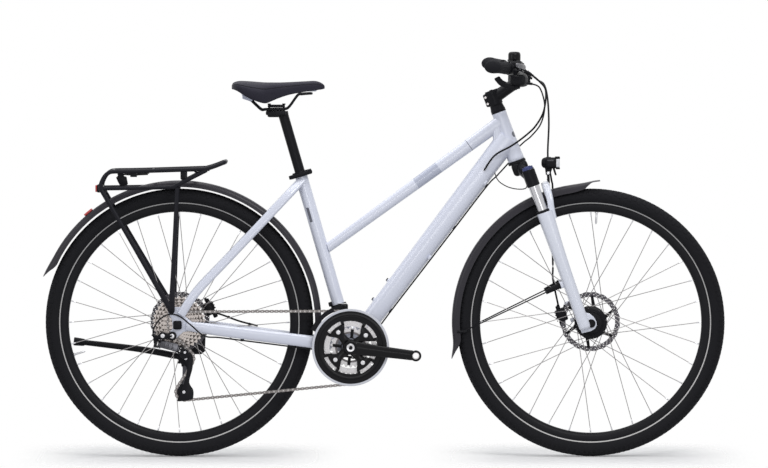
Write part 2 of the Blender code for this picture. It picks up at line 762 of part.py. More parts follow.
def make_frame(finishes):
    head_frame = looking(HEAD_BOTTOM, STEER_DIR)
    head = spun([
        (0, 0), (HEAD_TUBE_RADIUS_BOTTOM, 0), (HEAD_TUBE_RADIUS_BOTTOM, 0.012),
        (HEAD_TUBE_RADIUS_TOP, HEAD_TUBE_LENGTH - 0.025),
        (HEAD_TUBE_RADIUS_TOP, HEAD_TUBE_LENGTH), (0, HEAD_TUBE_LENGTH),
    ], TUBE_SIDES, head_frame)
    top_rear = BB + SEAT_DIR * TOP_TUBE_SEAT_HEIGHT
    top_front = steer_point(FORK_LENGTH + HEAD_TUBE_LENGTH - TOP_TUBE_HEAD_DROP)
    down_rear, down_front = down_tube_ends()
    shell = LEFT * BB_SHELL_WIDTH / 2
    parts = [
        tube(BB, SEAT_TOP, SEAT_TUBE_RADIUS),
        tube(down_rear, down_front, DOWN_TUBE_RADIUS_REAR, DOWN_TUBE_RADIUS_FRONT, DOWN_TUBE_FLATNESS),
        tube(top_rear, top_front, TOP_TUBE_RADIUS_REAR, TOP_TUBE_RADIUS_FRONT),
        head,
        rod(BB - shell, BB + shell, BB_SHELL_RADIUS, 12),
    ]
    cuts = [
        rod(steer_point(FORK_LENGTH - 0.01), steer_point(FORK_LENGTH + HEAD_TUBE_LENGTH + 0.01),
            HEAD_BORE, 12),
        rod(SEAT_TOP - SEAT_DIR * (SEATPOST_INSERTED + 0.125), SEAT_TOP + SEAT_DIR * 0.03,
            SEATPOST_RADIUS + CLEAR, 12),
        rod(BB - shell * 1.2, BB + shell * 1.2, BB_BORE, 12),
    ]
    bridge = seat_bridge_centre()
    parts.append(rod(shifted(bridge, y=-0.041), shifted(bridge, y=0.041), BRIDGE_RADIUS, 6))
    low_bridge = shifted(BB, x=-0.062, z=0.006)
    parts.append(rod(shifted(low_bridge, y=-0.034), shifted(low_bridge, y=0.034), BRIDGE_RADIUS, 6))
    inner = REAR_DROPOUT_GAP / 2
    eyelet = shifted(REAR_AXLE, x=RACK_EYELET[0], z=RACK_EYELET[1])
    for side in (-1, 1):
        parts.append(chain_stay(side))
        parts.append(seat_stay(side))
        parts.append(side_plate(dropout_outline(DROPOUT_POINTS), side, inner, DROPOUT_THICKNESS))
        reach = LEFT * side * (STAY_END_Y + STAY_HALF_WIDTH)
        parts.append(rod(eyelet + LEFT * side * (inner + 0.002), eyelet + reach, 0.0075, 8))
    parts.append(side_plate(dropout_outline(HANGER_POINTS), -1, inner + CLEAR,
                            DROPOUT_THICKNESS - 2 * CLEAR))
    hanger = shifted(REAR_AXLE, x=HANGER_BOLT[0], z=HANGER_BOLT[1])
    cuts.append(rod(shifted(hanger, y=-0.085), shifted(hanger, y=-0.060), HANGER_BOLT_RADIUS + CLEAR))
    for number in range(2):
        along = FIRST_BOSS + number * BOSS_SPACING
        skin_point = down_tube_point(along, 0)
        centre = down_tube_point(along, -2 * (skin_point - down_axis_point(along)).length)
        out = (centre - skin_point).normalized()
        parts.append(rod(centre - out * 0.006, centre + out * BOSS_HEIGHT, BOSS_RADIUS, 8))
    cuts.append(rod(shifted(REAR_AXLE, y=-0.1), shifted(REAR_AXLE, y=0.1), AXLE_RADIUS + CLEAR))
    node("frame", finishes["frame_paint"], parts, cuts)


def down_axis_point(along):
    start, end = down_tube_ends()
    return start + (end - start).normalized() * along


def make_seat_clamp(finishes):
    centre = SEAT_TOP - SEAT_DIR * 0.004
    ring = disc(centre, SEAT_DIR, SEAT_TUBE_RADIUS + 0.0045, 0.014, bore_over(SEAT_TUBE_RADIUS, 14), 14)
    ahead = SEAT_DIR.cross(LEFT) * -1
    ears = block(looking(centre + ahead * (SEAT_TUBE_RADIUS + 0.0085), SEAT_DIR), 0.012, 0.022, 0.012)
    bolt_centre = centre + ahead * (SEAT_TUBE_RADIUS + 0.009)
    bolt = rod(bolt_centre - LEFT * 0.0185, bolt_centre + LEFT * 0.0165, 0.003, 8)
    node("seat_clamp", finishes["black_alloy"], [ring, ears, bolt])
    pivot = bolt_centre - LEFT * 0.0250
    barrel = rod(pivot - SEAT_DIR * 0.0065, pivot + SEAT_DIR * 0.0065, 0.006, 10)
    lever = block(looking(pivot - ahead * 0.031, SEAT_DIR), 0.062, 0.005, 0.011)
    node("seat_clamp_lever", finishes["black_alloy"], [barrel, lever], origin=pivot)


# Saddle and seatpost

def saddle_point(along, up):
    """A point by its distance ahead of the saddle's rear end and above the seatpost's head."""
    head = SEAT_TOP + SEAT_DIR * SEATPOST_SHOWING
    return shifted(head, x=along - SADDLE_REAR_SETBACK, z=up)


def saddle_section(half_width, top, bottom):
    """The cover's cross-section: a crown, drawn-in sides and a hollow underneath."""
    wall = min(SADDLE_WALL, half_width * 0.35)
    roof = top - min(SADDLE_FILL, (top - bottom) * 0.75)
    right = [
        (0.45 * half_width, top - 0.0012),
        (0.80 * half_width, top - 0.15 * (top - bottom)),
        (half_width, top - 0.50 * (top - bottom)),
        (0.94 * half_width, bottom),
        (0.94 * half_width - wall, bottom),
        (0.90 * half_width - wall, roof),
    ]
    return [(0, top)] + right + [(-across, up) for across, up in reversed(right)]


def make_saddle(finishes):
    rings = []
    base_rings = []
    for share, width, top, bottom in SADDLE_STATIONS:
        half_width = width * SADDLE_WIDTH / 2
        section = saddle_section(half_width, top, bottom)
        rings.append([saddle_point(share * SADDLE_LENGTH, SADDLE_RISE + up) + LEFT * across
                      for across, up in section])
        if 0.08 < share < 0.95:
            across, roof = section[6]
            base = [(-1, -CLEAR), (1, -CLEAR), (1, -0.0045), (-1, -0.0045)]
            base_rings.append([saddle_point(share * SADDLE_LENGTH, SADDLE_RISE + roof + up)
                               + LEFT * side * (across - 2 * CLEAR) for side, up in base])
    node("saddle_cover", finishes["saddle"], [skin(rings)])
    tail = block(Matrix.Translation(saddle_point(0.032, SADDLE_RISE - 0.0315)), 0.024, 0.062, 0.028)
    nose = block(Matrix.Translation(saddle_point(0.207, SADDLE_RISE - 0.0225)), 0.044, 0.018, 0.0105)
    node("saddle_base", finishes["white_plastic"], [skin(base_rings), tail, nose])


def rail_route():
    """The saddle's wire: from the tail forward under the base, round the nose and back."""
    half = RAIL_SPACING / 2
    right = [
        (0.0445, half * 1.15, -0.0475), (0.052, half * 1.1, -0.051), (0.068, half, -0.066),
        (0.080, half, -0.0765), (0.090, half, -0.0755), (0.143, half, -0.0740),
        (0.155, half, -0.066), (0.176, half, -0.0375), (0.188, half * 0.9, -0.0345),
        (0.206, half * 0.6, -0.0330), (0.212, half * 0.2, -0.0330),
    ]
    left = [(along, -across, up) for along, across, up in reversed(right)]
    return [saddle_point(along, SADDLE_RISE + up) - LEFT * across for along, across, up in right + left]


def make_seat(finishes):
    wire = swept(rail_route(), oval(2 * RAIL_RADIUS, 2 * RAIL_RADIUS, 6))
    node("saddle_rails", finishes["black_steel"], [wire])
    head = SEAT_TOP + SEAT_DIR * SEATPOST_SHOWING
    foot = SEAT_TOP - SEAT_DIR * SEATPOST_INSERTED
    rail_z = SADDLE_RISE - RAIL_DROP
    lower_top = rail_z - RAIL_RADIUS - 2 * CLEAR
    upper_bottom = rail_z + RAIL_RADIUS + 0.0012
    cradle = saddle_point(0.118, lower_top - 0.006)
    cap = saddle_point(0.117, upper_bottom + 0.004)
    parts = [
        rod(foot, head + SEAT_DIR * 0.004, SEATPOST_RADIUS, 12),
        block(Matrix.Translation(cradle), 0.056, 0.054, 0.012),
        block(Matrix.Translation(cap), 0.044, 0.054, 0.008),
    ]
    for along in (0.100, 0.139):
        parts.append(rod(saddle_point(along, lower_top - 0.014),
                         saddle_point(along, upper_bottom + 0.010), 0.004, 6))
    node("seatpost", finishes["black_alloy"], parts, origin=SEAT_TOP)


# Fork and steering

def crown_arm(side):
    start = steer_point(CROWN_CENTRE_BOTTOM + 0.016, 0.004, side * 0.020)
    end = steer_point(CROWN_BOTTOM + 0.014, STANCHION_OFFSET, side * STANCHION_SPACING / 2)
    return tube(start, end, 0.018, 0.015, 0.9, 8)


def make_fork(finishes):
    half = STANCHION_SPACING / 2
    top = FORK_LENGTH + HEAD_TUBE_LENGTH + HEADSET_COVER_HEIGHT + STEM_CLAMP_HEIGHT - 0.001
    centre = steer_point((CROWN_CENTRE_BOTTOM + FORK_LENGTH - 0.003) / 2, 0.003)
    parts = [
        rod(steer_point(CROWN_CENTRE_BOTTOM + 0.004), steer_point(top), STEERER_RADIUS, 12),
        rod(steer_point(FORK_LENGTH - 0.008), steer_point(FORK_LENGTH - CLEAR), 0.0240, 12),
        block(looking(centre, STEER_DIR), 0.046, 0.060, FORK_LENGTH - CROWN_CENTRE_BOTTOM - 0.003),
    ]
    for side in (-1, 1):
        parts.append(crown_arm(side))
        parts.append(rod(steer_point(CROWN_BOTTOM, STANCHION_OFFSET, side * half),
                         steer_point(CROWN_SHOULDER_TOP, STANCHION_OFFSET, side * half), CROWN_RADIUS, 12))
        parts.append(rod(steer_point(STANCHION_FOOT, STANCHION_OFFSET, side * half),
                         steer_point(CROWN_BOTTOM + 0.010, STANCHION_OFFSET, side * half),
                         STANCHION_RADIUS, 12))
    node("fork_crown", finishes["black_alloy"], parts, origin=HEAD_BOTTOM)
    knob = steer_point(CROWN_SHOULDER_TOP + CLEAR, STANCHION_OFFSET, -half)
    node("preload_knob", finishes["blue_alloy"], [rod(knob, knob + STEER_DIR * KNOB_HEIGHT, KNOB_RADIUS, 12)],
         origin=knob)


def leg_tab(side):
    inner = FRONT_DROPOUT_GAP / 2
    outline = []
    for along, ahead in ((-0.016, 0.010), (0.034, 0.012), (0.034, 0.030), (0.014, 0.051),
                         (-0.006, 0.053), (-0.018, 0.040)):
        point = steer_point(along, ahead)
        outline.append((point.x, point.z))
    return side_plate(outline, side, inner, LEG_TAB_THICKNESS)


def arch_route():
    half = STANCHION_SPACING / 2
    right = [(LEG_TOP - 0.014, 0.028, half), (LEG_TOP + 0.014, 0.0475, half - 0.001),
             (LEG_TOP + 0.044, 0.0525, half - 0.006), (LEG_TOP + 0.064, 0.053, half - 0.018),
             (LEG_TOP + 0.073, 0.052, half - 0.038)]
    left = [(along, ahead, -across) for along, ahead, across in reversed(right)]
    return [steer_point(along, ahead, -across) for along, ahead, across in right + left]


def make_lowers(finishes):
    half = STANCHION_SPACING / 2
    parts = []
    cuts = []
    for side in (-1, 1):
        parts.append(tube(steer_point(-0.012, STANCHION_OFFSET, side * half),
                          steer_point(LEG_TOP, STANCHION_OFFSET, side * half),
                          LEG_RADIUS_BOTTOM, LEG_RADIUS_TOP, sides=12))
        parts.append(leg_tab(side))
        clip = looking(steer_point(STAY_CLIP, 0.001, side * half), STEER_DIR)
        parts.append(block(clip, 0.012, 0.012, 0.016))
        cuts.append(rod(steer_point(STANCHION_FOOT - 0.052, STANCHION_OFFSET, side * half),
                        steer_point(LEG_TOP + 0.040, STANCHION_OFFSET, side * half),
                        STANCHION_RADIUS + CLEAR, 12))
    parts.append(swept(arch_route(), oval(0.013, 0.020, 6), STEER_AHEAD))
    along, ahead = HEADLIGHT_PIVOT
    parts.append(rod(steer_point(0.394, 0.054), steer_point(along - 0.004, ahead), 0.004, 8))
    pivot = steer_point(along, ahead)
    parts.append(rod(shifted(pivot, y=-0.006), shifted(pivot, y=0.006), 0.006, 10))
    for height in (0.020, 0.066):
        boss = looking(steer_point(height, -0.001, half - 0.013), STEER_DIR)
        parts.append(block(boss, 0.016, 0.010, 0.010))
    cuts.append(rod(shifted(FRONT_AXLE, y=-0.1), shifted(FRONT_AXLE, y=0.1), AXLE_RADIUS + CLEAR))
    for side in (-1, 1):
        face = side * (FRONT_DROPOUT_GAP / 2 + LEG_TAB_THICKNESS)
        cuts.append(rod(shifted(FRONT_AXLE, y=face), shifted(FRONT_AXLE, y=face + side * 0.04), 0.0130, 10))
    node("fork_lowers", finishes["frame_paint"], parts, cuts, origin=FRONT_AXLE)
    make_headlight(pivot, finishes)


def make_headlight(pivot, finishes):
    """A round lamp on two ears that tilt about a bolt on the fork's arch."""
    rear = shifted(pivot, x=-0.018, z=0.027)
    shell = spun([(0, 0), (0.013, 0.001), (0.0185, 0.014), (0.0195, 0.044), (0.0175, 0.050), (0, 0.050)],
                 12, looking(rear, (1, 0, 0)))
    parts = [shell]
    for side in (-1, 1):
        ear = LEFT * side * 0.0083
        parts.append(block(Matrix.Translation(shifted(pivot, z=0.006) + ear), 0.010, 0.004, 0.026))
    parts.append(block(Matrix.Translation(shifted(pivot, x=0.018, z=0.002)), 0.004, 0.012, 0.020))
    node("headlight", finishes["black_plastic"], parts, origin=pivot)


def caliper(name, frame, finish, disc_y, extra=()):
    """A brake caliper that straddles the disc, with its slot along the disc."""
    centre = frame.to_translation()
    housing = Matrix.Translation((0, CALIPER_OUTSET, 0)) @ frame
    body = block(housing, 0.034, CALIPER_WIDTH, 0.056)
    boss_foot = frame @ Vector((0, 0, 0.010))
    boss = rod(shifted(boss_foot, y=0.010), shifted(boss_foot, y=0.016), 0.012, 8)
    slot_frame = frame.copy()
    slot_frame.translation = Vector((centre.x, disc_y, centre.z))
    slot = block(slot_frame @ Matrix.Translation((0.012, 0, 0)), 0.050, DISC_THICKNESS + 0.002, 0.080)
    node(name, finish, [body, boss, *extra], [slot])


def make_calipers(finishes):
    front = looking(steer_point(0.043, -0.0265, FRONT_DISC_Y), STEER_DIR)
    caliper("front_caliper", front, finishes["black_alloy"], FRONT_DISC_Y)
    centre = shifted(REAR_AXLE, x=0.078, y=REAR_DISC_Y, z=0.034)
    lean = Matrix.Rotation(math.radians(-24), 4, "Y")
    turn = Matrix.Translation(centre) @ lean @ Matrix.Rotation(math.pi, 4, "Z")
    hose = swept(smooth_route([
        shifted(REAR_AXLE, x=0.088, y=0.062, z=0.024), shifted(REAR_AXLE, x=0.110, y=0.060, z=0.018),
        shifted(REAR_AXLE, x=0.160, y=0.058, z=0.000), shifted(REAR_AXLE, x=0.208, y=0.055, z=-0.012),
    ], 0.020), oval(0.005, 0.005, 8))
    caliper("rear_caliper", turn, finishes["black_alloy"], REAR_DISC_Y, [hose])


def make_stem(finishes):
    cover_bottom = FORK_LENGTH + HEAD_TUBE_LENGTH
    cover_top = cover_bottom + HEADSET_COVER_HEIGHT
    bore = bore_over(STEERER_RADIUS, 12)
    cover = spun([
        (bore, CLEAR), (HEAD_TUBE_RADIUS_TOP, CLEAR), (HEAD_TUBE_RADIUS_TOP, 0.004),
        (0.0175, HEADSET_COVER_HEIGHT), (bore, HEADSET_COVER_HEIGHT),
    ], 12, looking(steer_point(cover_bottom), STEER_DIR))
    node("headset_cover", finishes["black_plastic"], [cover])
    low = steer_point(cover_top + CLEAR)
    high = steer_point(cover_top + STEM_CLAMP_HEIGHT)
    middle = (low + high) / 2
    reach = BAR_CENTRE - middle
    parts = [
        rod(low, high + STEER_DIR * 0.002, STEM_CLAMP_RADIUS, 12),
        tube(middle, BAR_CENTRE, 0.0180, 0.0165, 0.95, 10),
        rod(shifted(BAR_CENTRE, y=-STEM_FACE_WIDTH / 2), shifted(BAR_CENTRE, y=STEM_FACE_WIDTH / 2),
            STEM_FACE_RADIUS, 12),
        block(looking(middle - STEER_AHEAD * 0.019, STEER_DIR), 0.014, 0.018, STEM_CLAMP_HEIGHT - 0.002),
    ]
    face = BAR_CENTRE + reach.normalized() * (STEM_FACE_RADIUS - 0.002)
    parts.append(block(looking(face, reach), 0.034, STEM_FACE_WIDTH - 0.004, 0.006))
    cuts = [
        rod(low - STEER_DIR * 0.01, high - STEER_DIR * 0.0005, STEERER_RADIUS + CLEAR, 12),
        rod(shifted(BAR_CENTRE, y=-STEM_FACE_WIDTH), shifted(BAR_CENTRE, y=STEM_FACE_WIDTH),
            bore_over(BAR_CLAMP_RADIUS, 12), 12),
    ]
    node("stem", finishes["black_alloy"], parts, cuts)


def bar_point(share, back, up, side):
    across = side * share * BAR_HALF_WIDTH
    return shifted(BAR_CENTRE, x=-back * BAR_SWEEP, y=across, z=up * BAR_UPSWEEP)


def bar_side(side):
    return [bar_point(share, back, up, side) for share, back, up, _ in BAR_STATIONS]


def bar_along(side, inset):
    """The bar's centre and its outward direction, at a distance in from its end."""
    points = bar_side(side)
    for inner, outer in zip(points[-2::-1], points[:0:-1]):
        length = (outer - inner).length
        if inset <= length:
            direction = (outer - inner).normalized()
            return outer - direction * inset, direction
        inset -= length
    return points[0], LEFT * side


def make_handlebar(finishes):
    right = bar_side(-1)[:0:-1]
    left = bar_side(1)[1:]
    thick = [bulge for *_, bulge in BAR_STATIONS]
    bulges = thick[:0:-1] + thick[1:]
    outlines = [oval(2 * r, 2 * r, BAR_SIDES) for r in
                (BAR_RADIUS + (BAR_CLAMP_RADIUS - BAR_RADIUS) * bulge for bulge in bulges)]
    node("handlebar", finishes["black_alloy"], [swept(right + left, outlines, UP)])


def bar_cutter(side, inset, length):
    """A stretch of the bar, a little thicker, to bore what sits on it."""
    points = [bar_along(side, inset)[0]]
    reach = 0
    kinks = bar_side(side)[::-1]
    for outer, inner in zip(kinks, kinks[1:]):
        reach += (outer - inner).length
        if inset < reach < inset + length:
            points.append(inner)
    points.append(bar_along(side, inset + length)[0])
    radius = BAR_RADIUS + CLEAR
    return swept(points, oval(2 * radius, 2 * radius, BAR_SIDES), UP)


def bar_frame(side, inset):
    """A frame on the bar: X forwards, Y outwards along the bar, Z up."""
    point, outward = bar_along(side, inset)
    ahead = outward.cross(UP).normalized() * side
    up = ahead.cross(outward) * side
    return Matrix.Translation(point) @ Matrix((ahead, outward, up)).transposed().to_4x4()


def flat_bar(height, width):
    """A plain rectangle: height along X and width along Y."""
    return [Vector((x, y, 0)) for x, y in ((height / 2, width / 2), (-height / 2, width / 2),
                                           (-height / 2, -width / 2), (height / 2, -width / 2))]


def rounded(height, width, corner=0.3):
    """A rectangle with its corners cut off: height along X and width along Y."""
    x, y = height / 2, width / 2
    cut = corner * min(height, width)
    points = [(x, y - cut), (x - cut, y), (cut - x, y), (-x, y - cut),
              (-x, cut - y), (cut - x, -y), (x - cut, -y), (x, cut - y)]
    return [Vector((a, b, 0)) for a, b in points]


def make_grip(name, side, finish):
    points = [bar_along(side, max(inset, 0) * GRIP_LENGTH)[0] for inset, *_ in GRIP_STATIONS]
    end, outward = bar_along(side, 0)
    points[-1] = end - outward * GRIP_STATIONS[-1][0] * GRIP_LENGTH
    outlines = [oval(2 * GRIP_RADIUS * fore, 2 * GRIP_RADIUS * tall, 10) for _, fore, tall in GRIP_STATIONS]
    bore = bar_cutter(side, -2 * CLEAR, GRIP_LENGTH + 0.02)
    node(name, finish, [swept(points, outlines, UP)], [bore])


def in_bar(frame, x, y, z):
    return frame @ Vector((x, y, z))


def control_parts(frame):
    """The clamp, the brake cylinder with its reservoir, the lever's ears and the shifter's case."""
    inboard, outboard = in_bar(frame, 0, -0.007, 0), in_bar(frame, 0, 0.007, 0)
    case = frame @ Matrix.Translation((0.028, -0.006, -0.030))
    parts = [
        rod(inboard, outboard, BAR_RADIUS + 0.0045, 10),
        tube(in_bar(frame, 0.024, -0.044, 0.008), in_bar(frame, 0.030, 0.004, 0.002), 0.0095, sides=8),
        block(frame @ Matrix.Translation((0.018, -0.018, 0.012)), 0.032, 0.046, 0.020),
        block(case, 0.044, 0.040, 0.030),
        block(frame @ Matrix.Translation((0.020, 0.000, -0.014)), 0.012, 0.013, 0.020),
        tube(in_bar(frame, 0.026, -0.040, 0.004), in_bar(frame, 0.050, -0.058, -0.008),
             0.0045, 0.0038, sides=6),
        tube(in_bar(frame, 0.040, -0.020, -0.034), in_bar(frame, 0.056, -0.034, -0.034), 0.004, sides=6),
    ]
    for height in (0.0075, -0.0075):
        parts.append(block(frame @ Matrix.Translation((0.034, 0.008, height)), 0.018, 0.024, 0.004))
    return parts


def make_brake_lever(name, frame, finish):
    pivot = in_bar(frame, 0.036, 0.013, 0)
    up = frame.to_3x3() @ UP
    route = [(0.036, 0.013, 0), (0.050, 0.028, -0.001), (0.058, 0.050, -0.003), (0.058, 0.080, -0.005),
             (0.054, 0.104, -0.006), (0.056, 0.110, -0.006)]
    blade = swept([in_bar(frame, *point) for point in route],
                  [flat_bar(0.008, 0.009), flat_bar(0.008, 0.010), flat_bar(0.0065, 0.011),
                   flat_bar(0.006, 0.012), flat_bar(0.006, 0.011), flat_bar(0.008, 0.009)], up)
    barrel = rod(pivot - up * 0.0050, pivot + up * 0.0050, 0.0060, 10)
    node(name, finish, [barrel, blade], origin=pivot)


def make_shift_lever(name, frame, finish):
    pivot = in_bar(frame, 0.024, -0.004, -0.0485)
    up = frame.to_3x3() @ UP
    route = [(0.024, -0.004, -0.0485), (0.004, 0.008, -0.0485), (-0.010, 0.016, -0.043),
             (-0.020, 0.021, -0.032)]
    outlines = [flat_bar(width, 0.005) for width in (0.014, 0.012, 0.014, 0.016)]
    paddle = swept([in_bar(frame, *point) for point in route], outlines, up)
    hub = rod(pivot - up * 0.0030, pivot + up * 0.0030, 0.0085, 12)
    node(name, finish, [hub, paddle], origin=pivot)


def make_bars(finishes):
    make_handlebar(finishes)
    for name, side in (("right", -1), ("left", 1)):
        frame = bar_frame(side, CONTROL_INSET)
        make_grip(f"grip_{name}", side, finishes["grip"])
        node(f"control_{name}", finishes["black_plastic"], control_parts(frame),
             [bar_cutter(side, CONTROL_INSET - 0.02, 0.11)])
        make_brake_lever(f"brake_lever_{name}", frame, finishes["black_alloy"])
        make_shift_lever(f"shift_lever_{name}", frame, finishes["black_plastic"])
    frame = bar_frame(-1, BELL_INSET)
    foot = in_bar(frame, 0, 0, BAR_RADIUS + 0.004)
    dome_foot = shifted(foot, z=BELL_RISE)
    dome = spun([(0, 0), (BELL_RADIUS, 0), (BELL_RADIUS, 0.7 * BELL_HEIGHT),
                 (0.8 * BELL_RADIUS, BELL_HEIGHT), (0, BELL_HEIGHT)], 9, Matrix.Translation(dome_foot))
    band = rod(in_bar(frame, 0, -0.005, 0), in_bar(frame, 0, 0.005, 0), BAR_RADIUS + 0.0035, 10)
    post = rod(in_bar(frame, 0, 0, BAR_RADIUS + 0.001), shifted(dome_foot, z=0.002), 0.005, 8)
    node("bell", finishes["black_plastic"], [dome, post, band], [bar_cutter(-1, BELL_INSET - 0.03, 0.06)])


# Mudguards

def guard_section(radius, skirt):
    """A mudguard's arched section as a ring of (radius, distance across)."""
    half = GUARD_WIDTH / 2
    shoulder = half - 0.010
    return [(radius - skirt, half), (radius, shoulder), (radius, -shoulder), (radius - skirt, -half),
            (radius - skirt, GUARD_WALL - half), (radius - GUARD_WALL, GUARD_WALL / 2 - shoulder),
            (radius - GUARD_WALL, shoulder - GUARD_WALL / 2), (radius - skirt, half - GUARD_WALL)]


def guard_shell(centre, stations):
    """A mudguard from stations of (angle, radius, skirt)."""
    rings = []
    for degrees, radius, skirt in stations:
        turn = math.radians(degrees)
        out = Vector((math.cos(turn), 0, math.sin(turn)))
        rings.append([centre + out * r + LEFT * across for r, across in guard_section(radius, skirt)])
    return skin(rings)


def arc_stations(start, end, count, radius, skirt):
    return [(start + (end - start) * i / count, radius, skirt) for i in range(count + 1)]


def make_front_mudguard(finishes):
    radius = FRONT_GUARD_RADIUS
    skirt = FRONT_GUARD_SKIRT
    stations = [(86.2, radius + 0.002, 0.0045), (88.0, radius + 0.001, 0.006)]
    stations += arc_stations(91.5, 188, 9, radius, skirt)
    stations += [(191.5, radius + 0.004, skirt), (194.7, radius + 0.013, 0.010)]
    parts = [guard_shell(FRONT_AXLE, stations)]
    for side in (-1, 1):
        clip = steer_point(STAY_CLIP, -0.0072, side * STANCHION_SPACING / 2)
        clip_back = shifted(clip, x=-0.036, z=-0.018)
        hook = shifted(FRONT_AXLE, x=-0.341, y=side * (GUARD_WIDTH / 2 - 0.001), z=-0.023)
        parts.append(tube(clip, clip_back, 0.0080, 0.0060, 0.8, 8))
        parts.append(rod(clip_back, hook, 0.0022, 6))
        parts.append(rod(hook, shifted(hook, x=-0.016, z=-0.001), 0.0030, 6))
    turn = math.radians(108.2)
    out = Vector((math.cos(turn), 0, math.sin(turn)))
    parts.append(block(looking(FRONT_AXLE + out * (radius + 0.0055), out), 0.020, 0.024, 0.016))
    node("front_mudguard", finishes["guard"], parts)


def make_rear_mudguard(finishes):
    radius = REAR_GUARD_RADIUS
    skirt = REAR_GUARD_SKIRT
    stations = arc_stations(-10, 152, 15, radius, skirt)
    stations += [(157.0, radius + 0.003, 0.020), (161.2, radius + 0.007, 0.005)]
    bridge = seat_bridge_centre() - REAR_AXLE
    out = bridge.normalized()
    top = bridge.length - BRIDGE_RADIUS - CLEAR
    mount_foot = radius - 0.003
    mount = block(looking(REAR_AXLE + out * (top + mount_foot) / 2, out), 0.016, 0.020, top - mount_foot)
    turn = math.radians(REFLECTOR_ANGLE)
    out = Vector((math.cos(turn), 0, math.sin(turn)))
    reflector = block(looking(REAR_AXLE + out * (radius + 0.003), out), 0.027, 0.040, 0.010)
    node("rear_mudguard", finishes["guard"], [guard_shell(REAR_AXLE, stations), mount, reflector])


# Rack, lamp and kickstand


def rack_point(x, up, across=0.0):
    return shifted(REAR_AXLE, x=x, y=across, z=RACK_TOP + up)


def make_rack(finishes):
    tube_outline = oval(2 * RACK_TUBE_RADIUS, 2 * RACK_TUBE_RADIUS, 6)
    parts = []
    foot_y = STAY_END_Y + STAY_HALF_WIDTH + CLEAR + 0.003
    for side in (-1, 1):
        across = side * RACK_HALF_WIDTH
        loop = [rack_point(x, up, across) for x, up in RACK_SIDE]
        parts.append(swept(loop, tube_outline))
        parts.append(swept([rack_point(x, up, across) for x, up in RACK_RISER], tube_outline))
        for top, foot in (((-0.206, -0.052), (-0.026, -0.362)), ((-0.004, -0.046), (-0.018, -0.350))):
            start = rack_point(*top, across)
            knee = start.lerp(rack_point(*foot, side * foot_y), 0.45)
            knee.y = side * (RACK_HALF_WIDTH + 0.014)
            parts.append(swept([start, knee, rack_point(*foot, side * foot_y)], flat_bar(0.0165, 0.0085)))
        foot = [(REAR_AXLE.x + x, REAR_AXLE.z + z)
                for x, z in ((-0.048, 0.074), (-0.034, 0.082), (-0.010, 0.070), (-0.010, 0.034),
                             (-0.015, 0.025), (-0.023, 0.025), (-0.029, 0.034))]
        low, high = sorted((side * (foot_y - 0.003), side * (foot_y + 0.003)))
        parts.append(plate(foot, low, high))
    for x, up in [*((x, -0.002) for x in RACK_BARS), TAIL_LIGHT]:
        parts.append(rod(rack_point(x, up, -RACK_HALF_WIDTH), rack_point(x, up, RACK_HALF_WIDTH),
                         0.0045, 6))
    handle = [rack_point(x, up, -share * RACK_HALF_WIDTH) for x, up, share in RACK_HANDLE]
    handle += [rack_point(x, up, share * RACK_HALF_WIDTH) for x, up, share in reversed(RACK_HANDLE)]
    parts.append(swept(handle, tube_outline, UP))
    guard_top = math.sqrt((REAR_GUARD_RADIUS + CLEAR) ** 2 - 0.045**2) - RACK_TOP
    height = -0.003 - guard_top - 0.001
    parts.append(block(Matrix.Translation(rack_point(0.045, -0.003 - height / 2)), 0.016, 0.016, height))
    node("rack", finishes["black_alloy"], parts)


def make_tail_light(finishes):
    x, up = TAIL_LIGHT
    body = block(Matrix.Translation(rack_point(x - 0.0108, up - 0.004)), 0.012, 0.050, 0.022)
    lens = spun([(0, 0), (0.010, 0), (0.008, 0.004), (0, 0.004)], 8,
                looking(rack_point(x - 0.0160, up - 0.004), (-1, 0, 0)))
    node("tail_light", finishes["red_plastic"], [body, lens])


def make_kickstand(finishes):
    inner = STAY_END_Y + STAY_HALF_WIDTH + CLEAR
    outline = dropout_outline(((0.034, 0.006), (0.058, 0.004), (0.068, -0.030), (0.066, -0.082),
                               (0.056, -0.090), (0.034, -0.090), (0.020, -0.080), (0.022, -0.050)))
    thick = 0.006
    axis = Vector((0, -math.cos(KICKSTAND_TILT), -math.sin(KICKSTAND_TILT)))
    pivot = shifted(REAR_AXLE, x=KICK_PIVOT[0], y=inner + thick + 0.0135, z=KICK_PIVOT[1])
    bolt = rod(pivot + axis * 0.016, pivot - axis * 0.012, 0.004, 8)
    node("kickstand_bracket", finishes["black_alloy"], [side_plate(outline, 1, inner, thick), bolt])
    barrel = rod(pivot - axis * 0.009, pivot + axis * 0.009, 0.0105, 12)
    tip = pivot + KICK_FOLDED * KICKSTAND_LENGTH
    leg = tube(pivot, tip, 0.0088, 0.0072, 0.8, 8)
    foot = block(looking(tip + KICK_FOLDED * 0.002, KICK_FOLDED), 0.022, 0.020, 0.030)
    bore = rod(pivot - axis * 0.02, pivot + axis * 0.02, bore_over(0.004, 8), 8)
    node("kickstand_leg", finishes["black_alloy"], [barrel, leg, foot], [bore], origin=pivot)


# Cranks, rings and cassette

def around(centre, radius, degrees, across=0.0):
    """A point on a circle about a centre, seen from the right with the bike facing right."""
    turn = math.radians(degrees)
    return shifted(centre, radius * math.cos(turn), across, radius * math.sin(turn))


def bolt_angles():
    return [math.degrees(SPIDER_TURN) + 90 * i for i in range(4)]


def spider_bore(radius, tab_radius, tab_angle):
    """A round opening that leaves four tabs standing in towards the bolts."""
    outline = []
    for bolt in bolt_angles():
        for lean, reach in ((-0.62, tab_radius), (0.62, tab_radius), (1.0, radius)):
            point = around(BB, reach, bolt + lean * tab_angle)
            outline.append((point.x, point.z))
        steps = 3
        for i in range(1, steps + 1):
            point = around(BB, radius, bolt + tab_angle + (90 - 2 * tab_angle) * i / steps)
            outline.append((point.x, point.z))
    return outline


